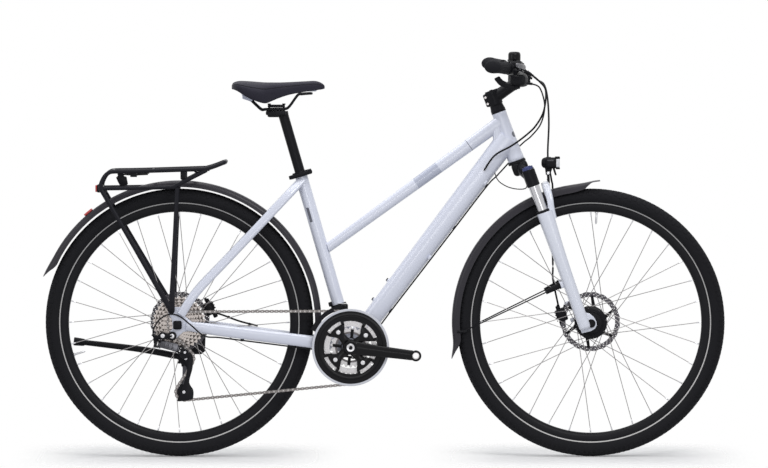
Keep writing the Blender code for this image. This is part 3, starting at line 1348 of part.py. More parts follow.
def bolt_rods(radius, low, high):
    return [rod(around(BB, BOLT_CIRCLE, bolt, low), around(BB, BOLT_CIRCLE, bolt, high), radius, BOLT_SIDES)
            for bolt in bolt_angles()]


def bolt_holes(low, high):
    return bolt_rods(bore_over(CHAINRING_BOLT_RADIUS, BOLT_SIDES), low, high)


def make_rings(finishes):
    half = RING_HALF_THICKNESS
    tip = pitch_radius(LARGE_RING_TEETH) + TOOTH_RISE
    large = disc(shifted(BB, y=LARGE_RING_Y), LEFT, tip, 2 * half, steps=32)
    bore = plate(spider_bore(0.070, 0.0445, 17), LARGE_RING_Y - 0.01, LARGE_RING_Y + 0.01)
    node("chainring_large", finishes["steel"], [large], [bore, *bolt_holes(-0.07, -0.05)])
    small = pitch_radius(SMALL_RING_TEETH)
    middle = pitch_radius(MIDDLE_RING_TEETH)
    profile = [
        (COLLAR_BORE, SMALL_RING_Y + half), (small, SMALL_RING_Y + half), (small, SMALL_RING_Y - half),
        (COLLAR_BORE + 0.005, SMALL_RING_Y - half), (COLLAR_BORE + 0.005, MIDDLE_RING_Y + half),
        (middle, MIDDLE_RING_Y + half), (middle, MIDDLE_RING_Y - half), (COLLAR_BORE, MIDDLE_RING_Y - half),
    ]
    inner = spun(profile, 18, looking(BB, LEFT, UP))
    node("inner_chainrings", finishes["steel"], [inner], bolt_holes(-0.054, -0.046))
    low, high = (CHAIN_GUARD_Y - CHAIN_GUARD_THICKNESS / 2, CHAIN_GUARD_Y + CHAIN_GUARD_THICKNESS / 2)
    guard = disc(shifted(BB, y=CHAIN_GUARD_Y), LEFT, CHAIN_GUARD_RADIUS, CHAIN_GUARD_THICKNESS, steps=32)
    window = plate(spider_bore(CHAIN_GUARD_BORE, 0.0445, 15), low - 0.01, high + 0.01)
    node("chainguard", finishes["black_plastic"], [guard], [window, *bolt_holes(-0.08, -0.05)])


def crank_arm(side, turn, root_y):
    direction = Vector((math.cos(turn), 0, math.sin(turn)))
    start = shifted(BB, y=side * root_y)
    end = BB + direction * CRANK_LENGTH + LEFT * side * CRANK_END_Y
    arm = swept([start, start.lerp(end, 0.18), start.lerp(end, 0.93)],
                [rounded(0.034, CRANK_THICKNESS), rounded(0.034, CRANK_THICKNESS),
                 rounded(0.0265, CRANK_THICKNESS * 0.9)])
    eye = rod(end - LEFT * side * CRANK_THICKNESS / 2, end + LEFT * side * CRANK_THICKNESS / 2,
              CRANK_END_RADIUS, 14)
    hole = rod(end - LEFT * 0.02, end + LEFT * 0.02, PEDAL_HOLE_RADIUS, 12)
    return arm, eye, hole


def make_cranks(finishes):
    shell = BB_SHELL_WIDTH / 2 + CLEAR
    cup = 0.0025
    node("bottom_bracket", finishes["black_alloy"], [
        rod(shifted(BB, y=-shell - cup), shifted(BB, y=shell + cup), BB_BORE - CLEAR, 12),
        rod(shifted(BB, y=-shell - cup), shifted(BB, y=-shell), 0.0195, 12),
        rod(shifted(BB, y=shell), shifted(BB, y=shell + cup), 0.0195, 12),
    ], [rod(shifted(BB, y=-0.05), shifted(BB, y=0.05), bore_over(SPINDLE_RADIUS, 12), 12)])
    arm, eye, hole = crank_arm(-1, CRANK_TURN, 0.072)
    low, high = SPIDER_FACES
    parts = [rod(shifted(BB, y=-0.074), shifted(BB, y=-0.0440), 0.0190, 12), arm, eye]
    for bolt in bolt_angles():
        root = around(BB, 0.010, bolt, (low + high) / 2)
        tip = around(BB, BOLT_CIRCLE + 0.009, bolt, (low + high) / 2)
        parts.append(swept([root, tip], [flat_bar(0.026, high - low), flat_bar(0.018, high - low)]))
    parts += bolt_rods(CHAINRING_BOLT_RADIUS, -0.0650, -0.0478)
    parts += bolt_rods(0.0060, CHAIN_GUARD_Y - CHAIN_GUARD_THICKNESS / 2 - CLEAR - 0.0016,
                       CHAIN_GUARD_Y - CHAIN_GUARD_THICKNESS / 2 - CLEAR)
    spindle_end = -0.0660
    bore = rod(shifted(BB, y=spindle_end - CLEAR), shifted(BB, y=-0.03), bore_over(SPINDLE_RADIUS, 12), 12)
    node("crank_right", finishes["black_alloy"], parts, [hole, bore], origin=BB)
    arm, eye, hole = crank_arm(1, CRANK_TURN + math.pi, 0.072)
    node("crank_left", finishes["black_alloy"], [
        rod(shifted(BB, y=0.040), shifted(BB, y=0.0765), 0.0170, 12), arm, eye,
        rod(shifted(BB, y=spindle_end), shifted(BB, y=0.050), SPINDLE_RADIUS, 12),
    ], [hole], origin=BB)


def make_cassette(finishes):
    bore = bore_over(FREEHUB_RADIUS, COG_STEPS)
    profile = [(bore, CASSETTE_FIRST_Y - RING_HALF_THICKNESS)]
    for number, teeth in enumerate(CASSETTE_TEETH):
        y = CASSETTE_FIRST_Y + COG_SPACING * number
        tip = pitch_radius(teeth) + TOOTH_RISE
        profile.append((tip, y - RING_HALF_THICKNESS))
        profile.append((tip, y + RING_HALF_THICKNESS))
        if number < len(CASSETTE_TEETH) - 1:
            spacer = max(pitch_radius(teeth) - 0.0055, bore + 0.0015)
            profile.append((spacer, y + RING_HALF_THICKNESS))
            profile.append((spacer, y + COG_SPACING - RING_HALF_THICKNESS))
    profile.append((bore, CASSETTE_FIRST_Y + COG_SPACING * 9 + RING_HALF_THICKNESS))
    node("cassette", finishes["steel"], [spun(profile, COG_STEPS, looking(REAR_AXLE, LEFT, UP))])


# Chain and derailleurs

def pulley_centre(place):
    return shifted(REAR_AXLE, x=place[0], y=chain_cog_y(), z=place[1])


def chain_cog_y():
    return CASSETTE_FIRST_Y + COG_SPACING * CHAIN_COG


def chain_stops():
    """What the chain runs round, in order: centre, pitch radius and sense."""
    pulley = pitch_radius(PULLEY_TEETH)
    cassette = shifted(REAR_AXLE, y=chain_cog_y())
    return [
        (shifted(BB, y=LARGE_RING_Y), pitch_radius(LARGE_RING_TEETH), 1),
        (cassette, pitch_radius(CASSETTE_TEETH[CHAIN_COG]), 1),
        (pulley_centre(GUIDE_PULLEY), pulley, -1),
        (pulley_centre(TENSION_PULLEY), pulley, 1),
    ]


def run_direction(first, second):
    """The angle of the straight run from one stop to the next."""
    (start, start_radius, start_sense), (end, end_radius, end_sense) = first, second
    gap = end - start
    distance = math.hypot(gap.x, gap.z)
    lean = (end_sense * end_radius - start_sense * start_radius) / distance
    return math.atan2(gap.z, gap.x) - math.asin(lean)


def chain_path():
    """Points along the chain with their outward directions, and the middles of its straight runs."""
    stops = chain_stops()
    count = len(stops)
    angles = [run_direction(stops[i], stops[(i + 1) % count]) for i in range(count)]
    path = []
    for i, (centre, radius, sense) in enumerate(stops):
        arrive, leave = angles[i - 1], angles[i]
        sweep = (leave - arrive) * sense % (2 * math.pi)
        steps = max(2, math.ceil(sweep / math.radians(31)))
        for step in range(steps + 1):
            turn = arrive + sense * sweep * step / steps
            out = Vector((math.sin(turn), 0, -math.cos(turn)))
            path.append((centre + out * radius * sense, out))
    return path


def chain_strip(path, side):
    inner, outer = side * CHAIN_INNER, side * CHAIN_OUTER
    rings = []
    for point, out in path:
        rings.append([point + out * up + LEFT * across for up, across in (
            (-CHAIN_HEIGHT / 2, inner), (CHAIN_HEIGHT / 2, inner),
            (CHAIN_HEIGHT / 2, outer), (-CHAIN_HEIGHT / 2, outer))])
    return skin(rings, closed=True)


def make_chain(finishes):
    path = chain_path()
    parts = [chain_strip(path, -1), chain_strip(path, 1)]
    for (start, _), (end, _) in zip(path, path[1:] + path[:1]):
        length = (end - start).length
        if length > 4 * STRAIGHT_RUN:
            shares = [(number + 0.5) / 3 for number in range(3)]
        elif length > STRAIGHT_RUN:
            shares = [0.5]
        else:
            continue
        for share in shares:
            middle = start.lerp(end, share)
            parts.append(block(looking(middle, end - start), 0.0045, 0.0040, 0.0045))
    node("chain", finishes["steel"], parts)


def make_pulley(name, place, finish):
    centre = pulley_centre(place)
    half = RING_HALF_THICKNESS
    wheel = disc(centre, LEFT, pitch_radius(PULLEY_TEETH) + TOOTH_RISE, 2 * half, steps=14)
    hub = rod(shifted(centre, y=-0.0039), shifted(centre, y=0.0039), 0.008, 8)
    bore = rod(shifted(centre, y=-0.01), shifted(centre, y=0.01), bore_over(CAGE_PIN_RADIUS, 8), 8)
    node(name, finish, [wheel, hub], [bore], origin=centre)


def capsule(first, second, first_radius, second_radius, steps=6):
    """The outline round two circles."""
    along = math.degrees(math.atan2(second.z - first.z, second.x - first.x))
    outline = []
    for centre, radius, start in ((second, second_radius, along - 90), (first, first_radius, along + 90)):
        for i in range(steps + 1):
            point = around(centre, radius, start + 180 * i / steps)
            outline.append((point.x, point.z))
    return outline


def link_axis():
    along = Vector((LINK_FRONT[0] - LINK_REAR[0], 0, LINK_FRONT[1] - LINK_REAR[1])).normalized()
    slant = Vector((0, math.cos(LINK_SLANT), -math.sin(LINK_SLANT)))
    return along, along.cross(slant).normalized()


def clevis(pivot, back):
    """Two ears and a pin about a link's end, on a block behind it."""
    along, axis = link_axis()
    parts = [rod(pivot - axis * 0.0100, pivot + axis * 0.0100, 0.0020, 6)]
    parts.append(block(looking(pivot + back * 0.0110, axis, along.cross(axis)), 0.008, 0.012, 0.0206))
    for height in (0.0088, -0.0088):
        parts.append(block(looking(pivot + back * 0.0050 + axis * height, axis, along.cross(axis)),
                           0.020, 0.0100, 0.0030))
    return parts


def derailleur_corner():
    """Where the derailleur's arm turns down to its link, behind the axle."""
    return shifted(REAR_AXLE, x=LINK_REAR[0] - 0.011, y=LINK_Y - 0.002, z=LINK_REAR[1] + 0.019)


def make_rear_derailleur(finishes):
    along, axis = link_axis()
    rear = shifted(REAR_AXLE, x=LINK_REAR[0], y=LINK_Y, z=LINK_REAR[1])
    front = shifted(REAR_AXLE, x=LINK_FRONT[0], y=LINK_Y, z=LINK_FRONT[1])
    bolt = shifted(REAR_AXLE, x=HANGER_BOLT[0], z=HANGER_BOLT[1])
    outer_face = REAR_DROPOUT_GAP / 2 + DROPOUT_THICKNESS + CLEAR
    corner = derailleur_corner()
    base = [
        rod(shifted(bolt, y=-0.088), shifted(bolt, y=-outer_face), 0.0120, 12),
        rod(shifted(bolt, y=-outer_face - 0.002), shifted(bolt, y=-REAR_DROPOUT_GAP / 2), HANGER_BOLT_RADIUS),
        tube(shifted(bolt, y=-0.081), corner, 0.0080, 0.0058, sides=8),
        tube(shifted(corner, z=0.002), rear - along * 0.0115, 0.0058, 0.0048, sides=8),
        tube(corner, corner + CABLE_ENTRY, 0.0040, sides=8),
    ]
    node("derailleur_base", finishes["black_alloy"], base + clevis(rear, -along))
    middle = (rear + front) / 2
    body = block(looking(middle, axis, along.cross(axis)), (front - rear).length + 0.008, 0.009, 0.014)
    bores = [rod(pivot - axis * 0.02, pivot + axis * 0.02, bore_over(0.0020, 6), 6)
             for pivot in (rear, front)]
    node("derailleur_link", finishes["black_alloy"], [body], bores, origin=rear)
    pivot = shifted(REAR_AXLE, x=CAGE_PIVOT[0], z=CAGE_PIVOT[1])
    knuckle_inner = chain_cog_y() - CAGE_OUTER - CLEAR
    knuckle = [
        rod(shifted(pivot, y=KNUCKLE_OUTER_Y), shifted(pivot, y=knuckle_inner), 0.0120, 12),
        tube(shifted(pivot, y=LINK_Y + 0.001), front + along * 0.011, 0.0070, 0.0060, sides=8),
    ]
    stub_end = knuckle_inner - 0.011
    bore = rod(shifted(pivot, y=stub_end - CLEAR), shifted(pivot, y=knuckle_inner + 0.01),
               bore_over(0.004, 10), 10)
    node("derailleur_knuckle", finishes["black_alloy"], knuckle + clevis(front, along), [bore], origin=front)
    guide, tension = pulley_centre(GUIDE_PULLEY), pulley_centre(TENSION_PULLEY)
    centre_y = chain_cog_y()
    cage = [rod(shifted(pivot, y=stub_end), shifted(pivot, y=centre_y - CAGE_OUTER + 0.0005), 0.0040, 10)]
    outline = capsule(guide, tension, 0.0165, 0.0130)
    cage.append(plate(outline, centre_y - CAGE_OUTER, centre_y - CAGE_INNER))
    inner_outline = capsule(guide, tension, 0.0110, 0.0120)
    cage.append(plate(inner_outline, centre_y + CAGE_INNER, centre_y + CAGE_OUTER))
    for centre in (guide, tension):
        cage.append(rod(shifted(centre, y=-CAGE_OUTER + 0.0005), shifted(centre, y=CAGE_OUTER - 0.0005),
                        CAGE_PIN_RADIUS, 8))
    node("derailleur_cage", finishes["black_alloy"], cage, origin=shifted(pivot, y=centre_y))
    make_pulley("guide_pulley", GUIDE_PULLEY, finishes["black_plastic"])
    make_pulley("tension_pulley", TENSION_PULLEY, finishes["black_plastic"])


def arc_outline(start, end, steps=5):
    low, high = SHIFT_CAGE_RADII
    angles = [start + (end - start) * i / steps for i in range(steps + 1)]
    points = [around(BB, high, degrees) for degrees in angles]
    points += [around(BB, low, degrees) for degrees in reversed(angles)]
    return [(point.x, point.z) for point in points]


def make_front_derailleur(finishes):
    centre = BB + SEAT_DIR * FRONT_CLAMP_HEIGHT
    ring = disc(centre, SEAT_DIR, SEAT_TUBE_RADIUS + 0.0045, 0.015, bore_over(SEAT_TUBE_RADIUS, 14), 14)
    pin = around(BB, 0.1077, 100)
    body = block(Matrix.Translation(shifted(centre, x=0.009, y=-0.0220, z=-0.001)), 0.030, 0.010, 0.018)
    guide = rod(shifted(pin, y=-0.0200), shifted(pin, y=-0.0505), 0.0035, 10)
    node("front_derailleur_body", finishes["black_alloy"], [ring, body, guide])
    inner = plate(arc_outline(96, 156), LARGE_RING_Y + 0.0045, LARGE_RING_Y + 0.0060)
    outer = plate(arc_outline(114, 156), LARGE_RING_Y - 0.0060, LARGE_RING_Y - 0.0045)
    tail = plate(arc_outline(153, 156, 1), LARGE_RING_Y - 0.0055, LARGE_RING_Y + 0.0055)
    bush = rod(shifted(pin, y=-0.0520), shifted(pin, y=-0.0420), 0.0062, 12)
    bore = rod(shifted(pin, y=-0.07), shifted(pin, y=-0.03), bore_over(0.0035, 10), 10)
    node("front_derailleur_cage", finishes["steel"], [inner, outer, tail, bush], [bore], origin=pin)


# Cables

def make_cables(finishes):
    hose = finishes["hose"]
    left = bar_frame(1, CONTROL_INSET)
    right = bar_frame(-1, CONTROL_INSET)
    cable("front_brake_hose", hose, [
        in_bar(left, 0.0505, -0.0585, -0.0083), in_bar(left, 0.066, -0.068, -0.022),
        steer_point(0.636, 0.140, 0.090), steer_point(0.596, 0.135, 0.080),
        steer_point(0.533, 0.115, 0.064), steer_point(0.454, 0.083, 0.046),
        steer_point(0.396, 0.0715, 0.0415), steer_point(0.370, 0.0660, 0.0385),
        steer_point(0.300, 0.038, 0.037), steer_point(0.178, -0.003, 0.037),
        steer_point(0.140, -0.0165, 0.0375), steer_point(0.0735, -0.0265, FRONT_DISC_Y),
    ], 0.0025, 0.026)
    entry = shifted(down_axis_point(0.590), y=-DOWN_TUBE_RADIUS_FRONT * DOWN_TUBE_FLATNESS - 0.0035)
    cable("rear_brake_hose", hose, [
        in_bar(right, 0.0505, -0.0585, -0.0083), in_bar(right, 0.066, -0.068, -0.022),
        steer_point(0.6245, 0.136, -0.084), steer_point(0.576, 0.113, -0.078),
        steer_point(0.546, 0.080, -0.068), steer_point(0.530, 0.0455, -0.058),
        steer_point(0.517, 0.0015, -0.046),
        shifted(down_axis_point(0.640), x=-0.002, y=-0.038), entry,
    ], 0.0025, 0.026)
    cable("rear_shift_cable", hose, shift_cable_route(right), 0.0020, 0.040)


def shift_cable_route(control):
    """Round the head tube, under the down tube and right chain stay, and in a loop to the derailleur."""
    gap = 0.0030
    route = [
        in_bar(control, 0.0576, -0.0354, -0.034), in_bar(control, 0.074, -0.045, -0.042),
        steer_point(0.601, 0.1225, -0.108), steer_point(0.571, 0.1115, -0.098),
        steer_point(0.543, 0.090, -0.080), steer_point(0.523, 0.059, -0.040),
        steer_point(0.513, 0.035, 0.004), steer_point(0.500, 0.010, 0.033),
        steer_point(0.480, -0.012, 0.032),
    ]
    for along, below, across in ((0.600, 0.008, 0.016), (0.560, gap, 0.002), (0.420, gap, 0), (0.280, gap, 0),
                                 (0.140, gap, 0), (0.040, gap + 0.002, -0.003)):
        route.append(shifted(down_tube_point(along, below), y=across))
    route += [shifted(BB, x=0.018, y=-0.012, z=-0.028), shifted(BB, x=-0.010, y=-0.020, z=-0.0270),
              shifted(BB, x=-0.044, y=-0.033, z=-0.0200)]
    for share, across in ((0.18, 0.037), (0.34, 0.046), (0.50, 0.053), (0.66, 0.061), (0.80, 0.070)):
        centre = BB.lerp(chain_stay_end(), share)
        route.append(shifted(centre, y=-across, z=-0.0195))
    for x, across, up in ((0.068, 0.0865, -0.032), (0.034, 0.0930, -0.004), (0.003, 0.0965, 0.0205),
                          (-0.025, 0.0965, 0.0260), (-0.0505, 0.0940, 0.0120), (-0.0660, 0.0890, -0.012)):
        route.append(shifted(REAR_AXLE, x=x, y=-across, z=up))
    route.append(derailleur_corner() + CABLE_ENTRY * 1.22)
    return route


def carry_groups():
    """Hangs the pieces that move together on empties that stand on their axes."""
    steering = carry("steering_axis", HEAD_BOTTOM, [
        "fork_crown", "headset_cover", "stem", "handlebar", "bell", "preload_knob",
        "grip_left", "grip_right", "control_left", "control_right",
        "brake_lever_left", "brake_lever_right", "shift_lever_left", "shift_lever_right",
    ])
    lowers = carry("fork_slide", FRONT_AXLE, [
        "fork_lowers", "front_mudguard", "front_caliper", "front_axle", "headlight",
    ], steering)
    carry("front_wheel_axis", FRONT_AXLE, ["front_tyre", "front_rim", "front_hub", "front_disc"], lowers)
    carry("rear_wheel_axis", REAR_AXLE, ["rear_tyre", "rear_rim", "rear_hub", "rear_disc"])
    carry("cassette_axis", REAR_AXLE, ["cassette"])
    carry("crank_axis", BB, [
        "crank_right", "crank_left", "chainring_large", "inner_chainrings", "chainguard",
    ])
    carry("seatpost_slide", SEAT_TOP, ["seatpost", "saddle_rails", "saddle_base", "saddle_cover"])


def main():
    for item in list(bpy.data.objects):
        bpy.data.objects.remove(item)
    finishes = {
        "tyre": finish_of("tyre", (0.022, 0.022, 0.024), 0.85),
        "black_alloy": finish_of("black_alloy", (0.020, 0.020, 0.024), 0.35, 0.4),
        "black_steel": finish_of("black_steel", (0.018, 0.018, 0.020), 0.40, 0.5),
        "black_plastic": finish_of("black_plastic", (0.022, 0.022, 0.026), 0.50),
        "guard": finish_of("guard", (0.055, 0.053, 0.065), 0.42),
        "hose": finish_of("hose", (0.018, 0.018, 0.020), 0.45),
        "grip": finish_of("grip", (0.025, 0.025, 0.028), 0.80),
        "saddle": finish_of("saddle", (0.045, 0.043, 0.060), 0.65),
        "frame_paint": finish_of("frame_paint", (0.72, 0.74, 0.83), 0.25),
        "white_plastic": finish_of("white_plastic", (0.66, 0.68, 0.74), 0.45),
        "blue_alloy": finish_of("blue_alloy", (0.045, 0.060, 0.160), 0.35, 0.3),
        "red_plastic": finish_of("red_plastic", (0.50, 0.040, 0.035), 0.25),
        "steel": finish_of("steel", (0.50, 0.48, 0.49), 0.32, 0.9),
    }
    make_wheels(finishes)
    make_axles(finishes)
    make_frame(finishes)
    make_seat_clamp(finishes)
    make_saddle(finishes)
    make_seat(finishes)
    make_fork(finishes)
    make_lowers(finishes)
    make_calipers(finishes)
    make_stem(finishes)
    make_bars(finishes)
    make_front_mudguard(finishes)
    make_rear_mudguard(finishes)
    make_rack(finishes)
    make_tail_light(finishes)
    make_kickstand(finishes)
    make_rings(finishes)
    make_cranks(finishes)
    make_cassette(finishes)
    make_chain(finishes)
    make_rear_derailleur(finishes)
    make_front_derailleur(finishes)
    make_cables(finishes)
    carry_groups()


main()
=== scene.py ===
"""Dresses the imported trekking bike: smooth pieces over the frame, finishes, light and camera."""

from __future__ import annotations

import logging
import math
from dataclasses import dataclass, field
from enum import Enum
from typing import Iterable, Sequence

import bmesh
import bpy
from mathutils import Matrix, Vector

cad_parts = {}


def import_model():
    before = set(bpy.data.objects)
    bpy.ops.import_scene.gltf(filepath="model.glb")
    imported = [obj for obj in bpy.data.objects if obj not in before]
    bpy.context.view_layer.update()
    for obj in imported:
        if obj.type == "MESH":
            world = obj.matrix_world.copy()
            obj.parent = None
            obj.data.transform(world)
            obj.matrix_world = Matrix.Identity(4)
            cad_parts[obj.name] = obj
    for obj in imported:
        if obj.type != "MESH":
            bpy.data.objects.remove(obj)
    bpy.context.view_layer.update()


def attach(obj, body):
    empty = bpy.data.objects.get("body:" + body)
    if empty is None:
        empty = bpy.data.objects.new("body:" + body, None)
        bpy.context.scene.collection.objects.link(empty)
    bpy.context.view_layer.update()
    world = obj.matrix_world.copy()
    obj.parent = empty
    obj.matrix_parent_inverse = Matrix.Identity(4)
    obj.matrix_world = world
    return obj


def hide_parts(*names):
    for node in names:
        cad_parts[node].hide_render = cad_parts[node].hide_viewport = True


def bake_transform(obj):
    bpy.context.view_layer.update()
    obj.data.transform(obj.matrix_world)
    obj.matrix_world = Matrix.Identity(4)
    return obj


LOG = logging.getLogger("trekking_bike")

Point = Sequence[float]
Colour = tuple[float, float, float]

LEFT = Vector((0.0, 1.0, 0.0))
UP = Vector((0.0, 0.0, 1.0))
AHEAD = Vector((1.0, 0.0, 0.0))


class Signal:
    """A shader socket that can be written into arithmetic."""

    def __init__(self, graph: "Graph", socket: bpy.types.NodeSocket) -> None:
        """Holds an output socket and the graph it belongs to.

        Args:
            graph: the material's graph.
            socket: the output that carries the value.
        """
        self.graph = graph
        self.socket = socket

    def _math(self, operation: str, *values: "Signal | float") -> "Signal":
        """Adds one Math node.

        Args:
            operation: the node's operation.
            values: its inputs in order.

        Returns:
            The node's result.
        """
        return self.graph.node("ShaderNodeMath", {"operation": operation}, dict(enumerate(values)))

    def __add__(self, other: "Signal | float") -> "Signal":
        """The sum."""
        return self._math("ADD", self, other)

    def __radd__(self, other: float) -> "Signal":
        """The sum, with the number first."""
        return self._math("ADD", other, self)

    def __sub__(self, other: "Signal | float") -> "Signal":
        """The difference."""
        return self._math("SUBTRACT", self, other)

    def __rsub__(self, other: float) -> "Signal":
        """The difference, with the number first."""
        return self._math("SUBTRACT", other, self)

    def __mul__(self, other: "Signal | float") -> "Signal":
        """The product."""
        return self._math("MULTIPLY", self, other)

    def __rmul__(self, other: float) -> "Signal":
        """The product, with the number first."""
        return self._math("MULTIPLY", other, self)

    def __pow__(self, power: float) -> "Signal":
        """A power."""
        return self._math("POWER", self, power)

    def sine(self) -> "Signal":
        """The sine of an angle in radians."""
        return self._math("SINE", self)

    def size(self) -> "Signal":
        """The value without its sign."""
        return self._math("ABSOLUTE", self)

    def step(self, low: float, high: float) -> "Signal":
        """A smooth step from 0 at low to 1 at high, and the other way round if low is the larger."""
        limits = {"Value": self, "From Min": low, "From Max": high, "To Min": 0.0, "To Max": 1.0}
        return self.graph.node("ShaderNodeMapRange", {"interpolation_type": "SMOOTHSTEP"}, limits,
                               "Result")

    def band(self, low: float, high: float, soft: float) -> "Signal":
        """One between two values, zero outside them, with soft edges."""
        return self.step(low - soft, low + soft) * self.step(high + soft, high - soft)


class Graph:
    """The node graph of one material and what its patterns are made from."""

    def __init__(self, name: str) -> None:
        """Starts a material with a plain surface shader."""
        self.material = bpy.data.materials.new(name)
        self.material.use_nodes = True
        self.tree = self.material.node_tree
        self.surface = self.tree.nodes["Principled BSDF"]

    def node(self, kind: str, settings: dict | None = None, inputs: dict | None = None,
             output: str | int = 0) -> Signal:
        """Adds a node of any type.

        Args:
            kind: the node's type.
            settings: its properties, set first.
            inputs: numbers, colours or signals by socket name or number.
            output: the socket whose signal is wanted.

        Returns:
            The signal of that output.
        """
        made = self.tree.nodes.new(kind)
        for key, value in (settings or {}).items():
            setattr(made, key, value)
        for key, value in (inputs or {}).items():
            self.feed(made, key, value)
        return Signal(self, made.outputs[output])

    def feed(self, target: bpy.types.Node, key: str | int, value: object) -> None:
        """Links a signal to a node's input, or writes a plain value there."""
        if isinstance(value, Signal):
            self.tree.links.new(value.socket, target.inputs[key])
        else:
            target.inputs[key].default_value = value

    def place(self, stretch: Sequence[float] = (1.0, 1.0, 1.0),
              centre: Point = (0.0, 0.0, 0.0)) -> Signal:
        """Object coordinates, measured from a centre and stretched.

        Args:
            stretch: the scale along each axis.
            centre: the point that becomes the origin.

        Returns:
            The vector.
        """
        here = self.node("ShaderNodeTexCoord", output="Object")
        moved = self.node("ShaderNodeMapping", {"vector_type": "POINT"},
                          {"Vector": here, "Location": [-c for c in centre]})
        return self.node("ShaderNodeMapping", {"vector_type": "POINT"},
                         {"Vector": moved, "Scale": stretch})

    def axes(self, vector: Signal) -> tuple[Signal, Signal, Signal]:
        """A vector's three parts."""
        split = self.tree.nodes.new("ShaderNodeSeparateXYZ")
        self.tree.links.new(vector.socket, split.inputs[0])
        return tuple(Signal(self, split.outputs[i]) for i in range(3))

    def along(self, origin: Point, direction: Point) -> Signal:
        """How far a surface point lies from an origin along a direction, in metres."""
        shifted = self.node("ShaderNodeVectorMath", {"operation": "SUBTRACT"},
                            {0: self.node("ShaderNodeTexCoord", output="Object"), 1: origin})
        return self.node("ShaderNodeVectorMath", {"operation": "DOT_PRODUCT"},
                         {0: shifted, 1: Vector(direction).normalized()}, "Value")

    def noise(self, scale: float, detail: float = 3.0, rough: float = 0.5,
              stretch: Sequence[float] = (1.0, 1.0, 1.0)) -> Signal:
        """Smooth noise between 0 and 1, with this many cells to the metre."""
        return self.node("ShaderNodeTexNoise", None, {
            "Vector": self.place(stretch=stretch), "Scale": scale, "Detail": detail, "Roughness": rough,
        }, "Fac")

    def cells(self, scale: float, feature: str = "F1") -> Signal:
        """The distance to the nearest of many scattered points."""
        return self.node("ShaderNodeTexVoronoi", {"feature": feature},
                         {"Vector": self.place(), "Scale": scale}, "Distance")

    def reach(self, centre: Point) -> Signal:
        """The distance from an axle that runs along Y through a point."""
        x, _, z = self.axes(self.place(centre=centre))
        return (x * x + z * z) ** 0.5

    def mix(self, share: Signal | float, first: object, second: object) -> Signal:
        """A colour between two colours."""
        colours = [(*c, 1.0) if isinstance(c, tuple) and len(c) == 3 else c for c in (first, second)]
        made = self.tree.nodes.new("ShaderNodeMix")
        made.data_type = "RGBA"
        self.feed(made, 0, share)
        self.feed(made, 6, colours[0])
        self.feed(made, 7, colours[1])
        return Signal(self, made.outputs[2])

    def bump(self, height: Signal, depth: float, strength: float = 1.0) -> Signal:
        """A bump of so many metres for a height between 0 and 1."""
        return self.node("ShaderNodeBump", None,
                         {"Height": height, "Distance": depth, "Strength": strength}, "Normal")


@dataclass(frozen=True)
class Finish:
    """A finish: one plain colour with a faint unevenness, on which the others build."""

    name: str
    slot: str
    colour: Colour
    roughness: float
    metallic: float = 0.0
    coat: float = 0.0
    mottle: float = 0.12
    grain: float = 900.0
    grain_depth: float = 0.00002
    shine: float = 0.5

    def material(self) -> bpy.types.Material:
        """The material, built once and then shared.

        Returns:
            The material of this finish.
        """
        found = bpy.data.materials.get(self.name)
        if found:
            return found
        graph = Graph(self.name)
        surface = graph.surface
        surface.inputs["Metallic"].default_value = self.metallic
        surface.inputs["Coat Weight"].default_value = self.coat
        surface.inputs["Specular IOR Level"].default_value = self.shine
        surface.inputs["Coat Roughness"].default_value = 0.08
        colour, roughness, normal = self.pattern(graph)
        graph.feed(surface, "Base Color", colour)
        graph.feed(surface, "Roughness", roughness)
        if normal is not None:
            graph.feed(surface, "Normal", normal)
        self.extra(graph)
        return graph.material

    def tones(self, graph: Graph, share: Signal) -> Signal:
        """The finish's colour, darker and lighter by its mottle as a signal goes from 0 to 1."""
        dark = tuple(c * (1.0 - self.mottle) for c in self.colour)
        light = tuple(min(c * (1.0 + self.mottle), 1.0) for c in self.colour)
        return graph.mix(share, dark, light)

    def pattern(self, graph: Graph) -> tuple[Signal, Signal, Signal | None]:
        """What changes over the surface.

        Args:
            graph: the material's graph.

        Returns:
            The colour, the roughness and the normal.
        """
        cloud = graph.noise(28.0)
        fine = graph.noise(self.grain, 2.0)
        roughness = cloud * 0.1 + fine * 0.06 + (self.roughness - 0.08)
        return self.tones(graph, cloud * 0.7 + fine * 0.3), roughness, graph.bump(fine, self.grain_depth)

    def extra(self, graph: Graph) -> None:
        """Sets what only some finishes have."""


@dataclass(frozen=True)
class Stripe:
    """A flat band of colour between two distances along a direction."""

    origin: Point
    direction: Point
    start: float
    end: float
    colour: Colour
    near: Point = (0.0, 0.0, 0.0)
    reach: float = 10.0


@dataclass(frozen=True)
class GlossPaint(Finish):
    """Sprayed gloss paint with a clear coat and plain bands of another colour."""

    stripes: tuple[Stripe, ...] = ()

    def pattern(self, graph: Graph) -> tuple[Signal, Signal, Signal | None]:
        """A faint cloud in the gloss, and the paint's bands.

        Args:
            graph: the material's graph.

        Returns:
            The colour, the roughness and the normal.
        """
        cloud = graph.noise(9.0, 2.0)
        colour = self.tones(graph, cloud)
        for stripe in self.stripes:
            place = graph.along(stripe.origin, stripe.direction)
            away = graph.node("ShaderNodeVectorMath", {"operation": "DISTANCE"}, {
                0: graph.node("ShaderNodeTexCoord", output="Object"), 1: stripe.near}, "Value")
            mask = place.band(stripe.start, stripe.end, 0.0003) * away.step(stripe.reach + 0.001,
                                                                           stripe.reach)
            colour = graph.mix(mask, colour, stripe.colour)
        return colour, cloud * 0.04 + (self.roughness - 0.02), None


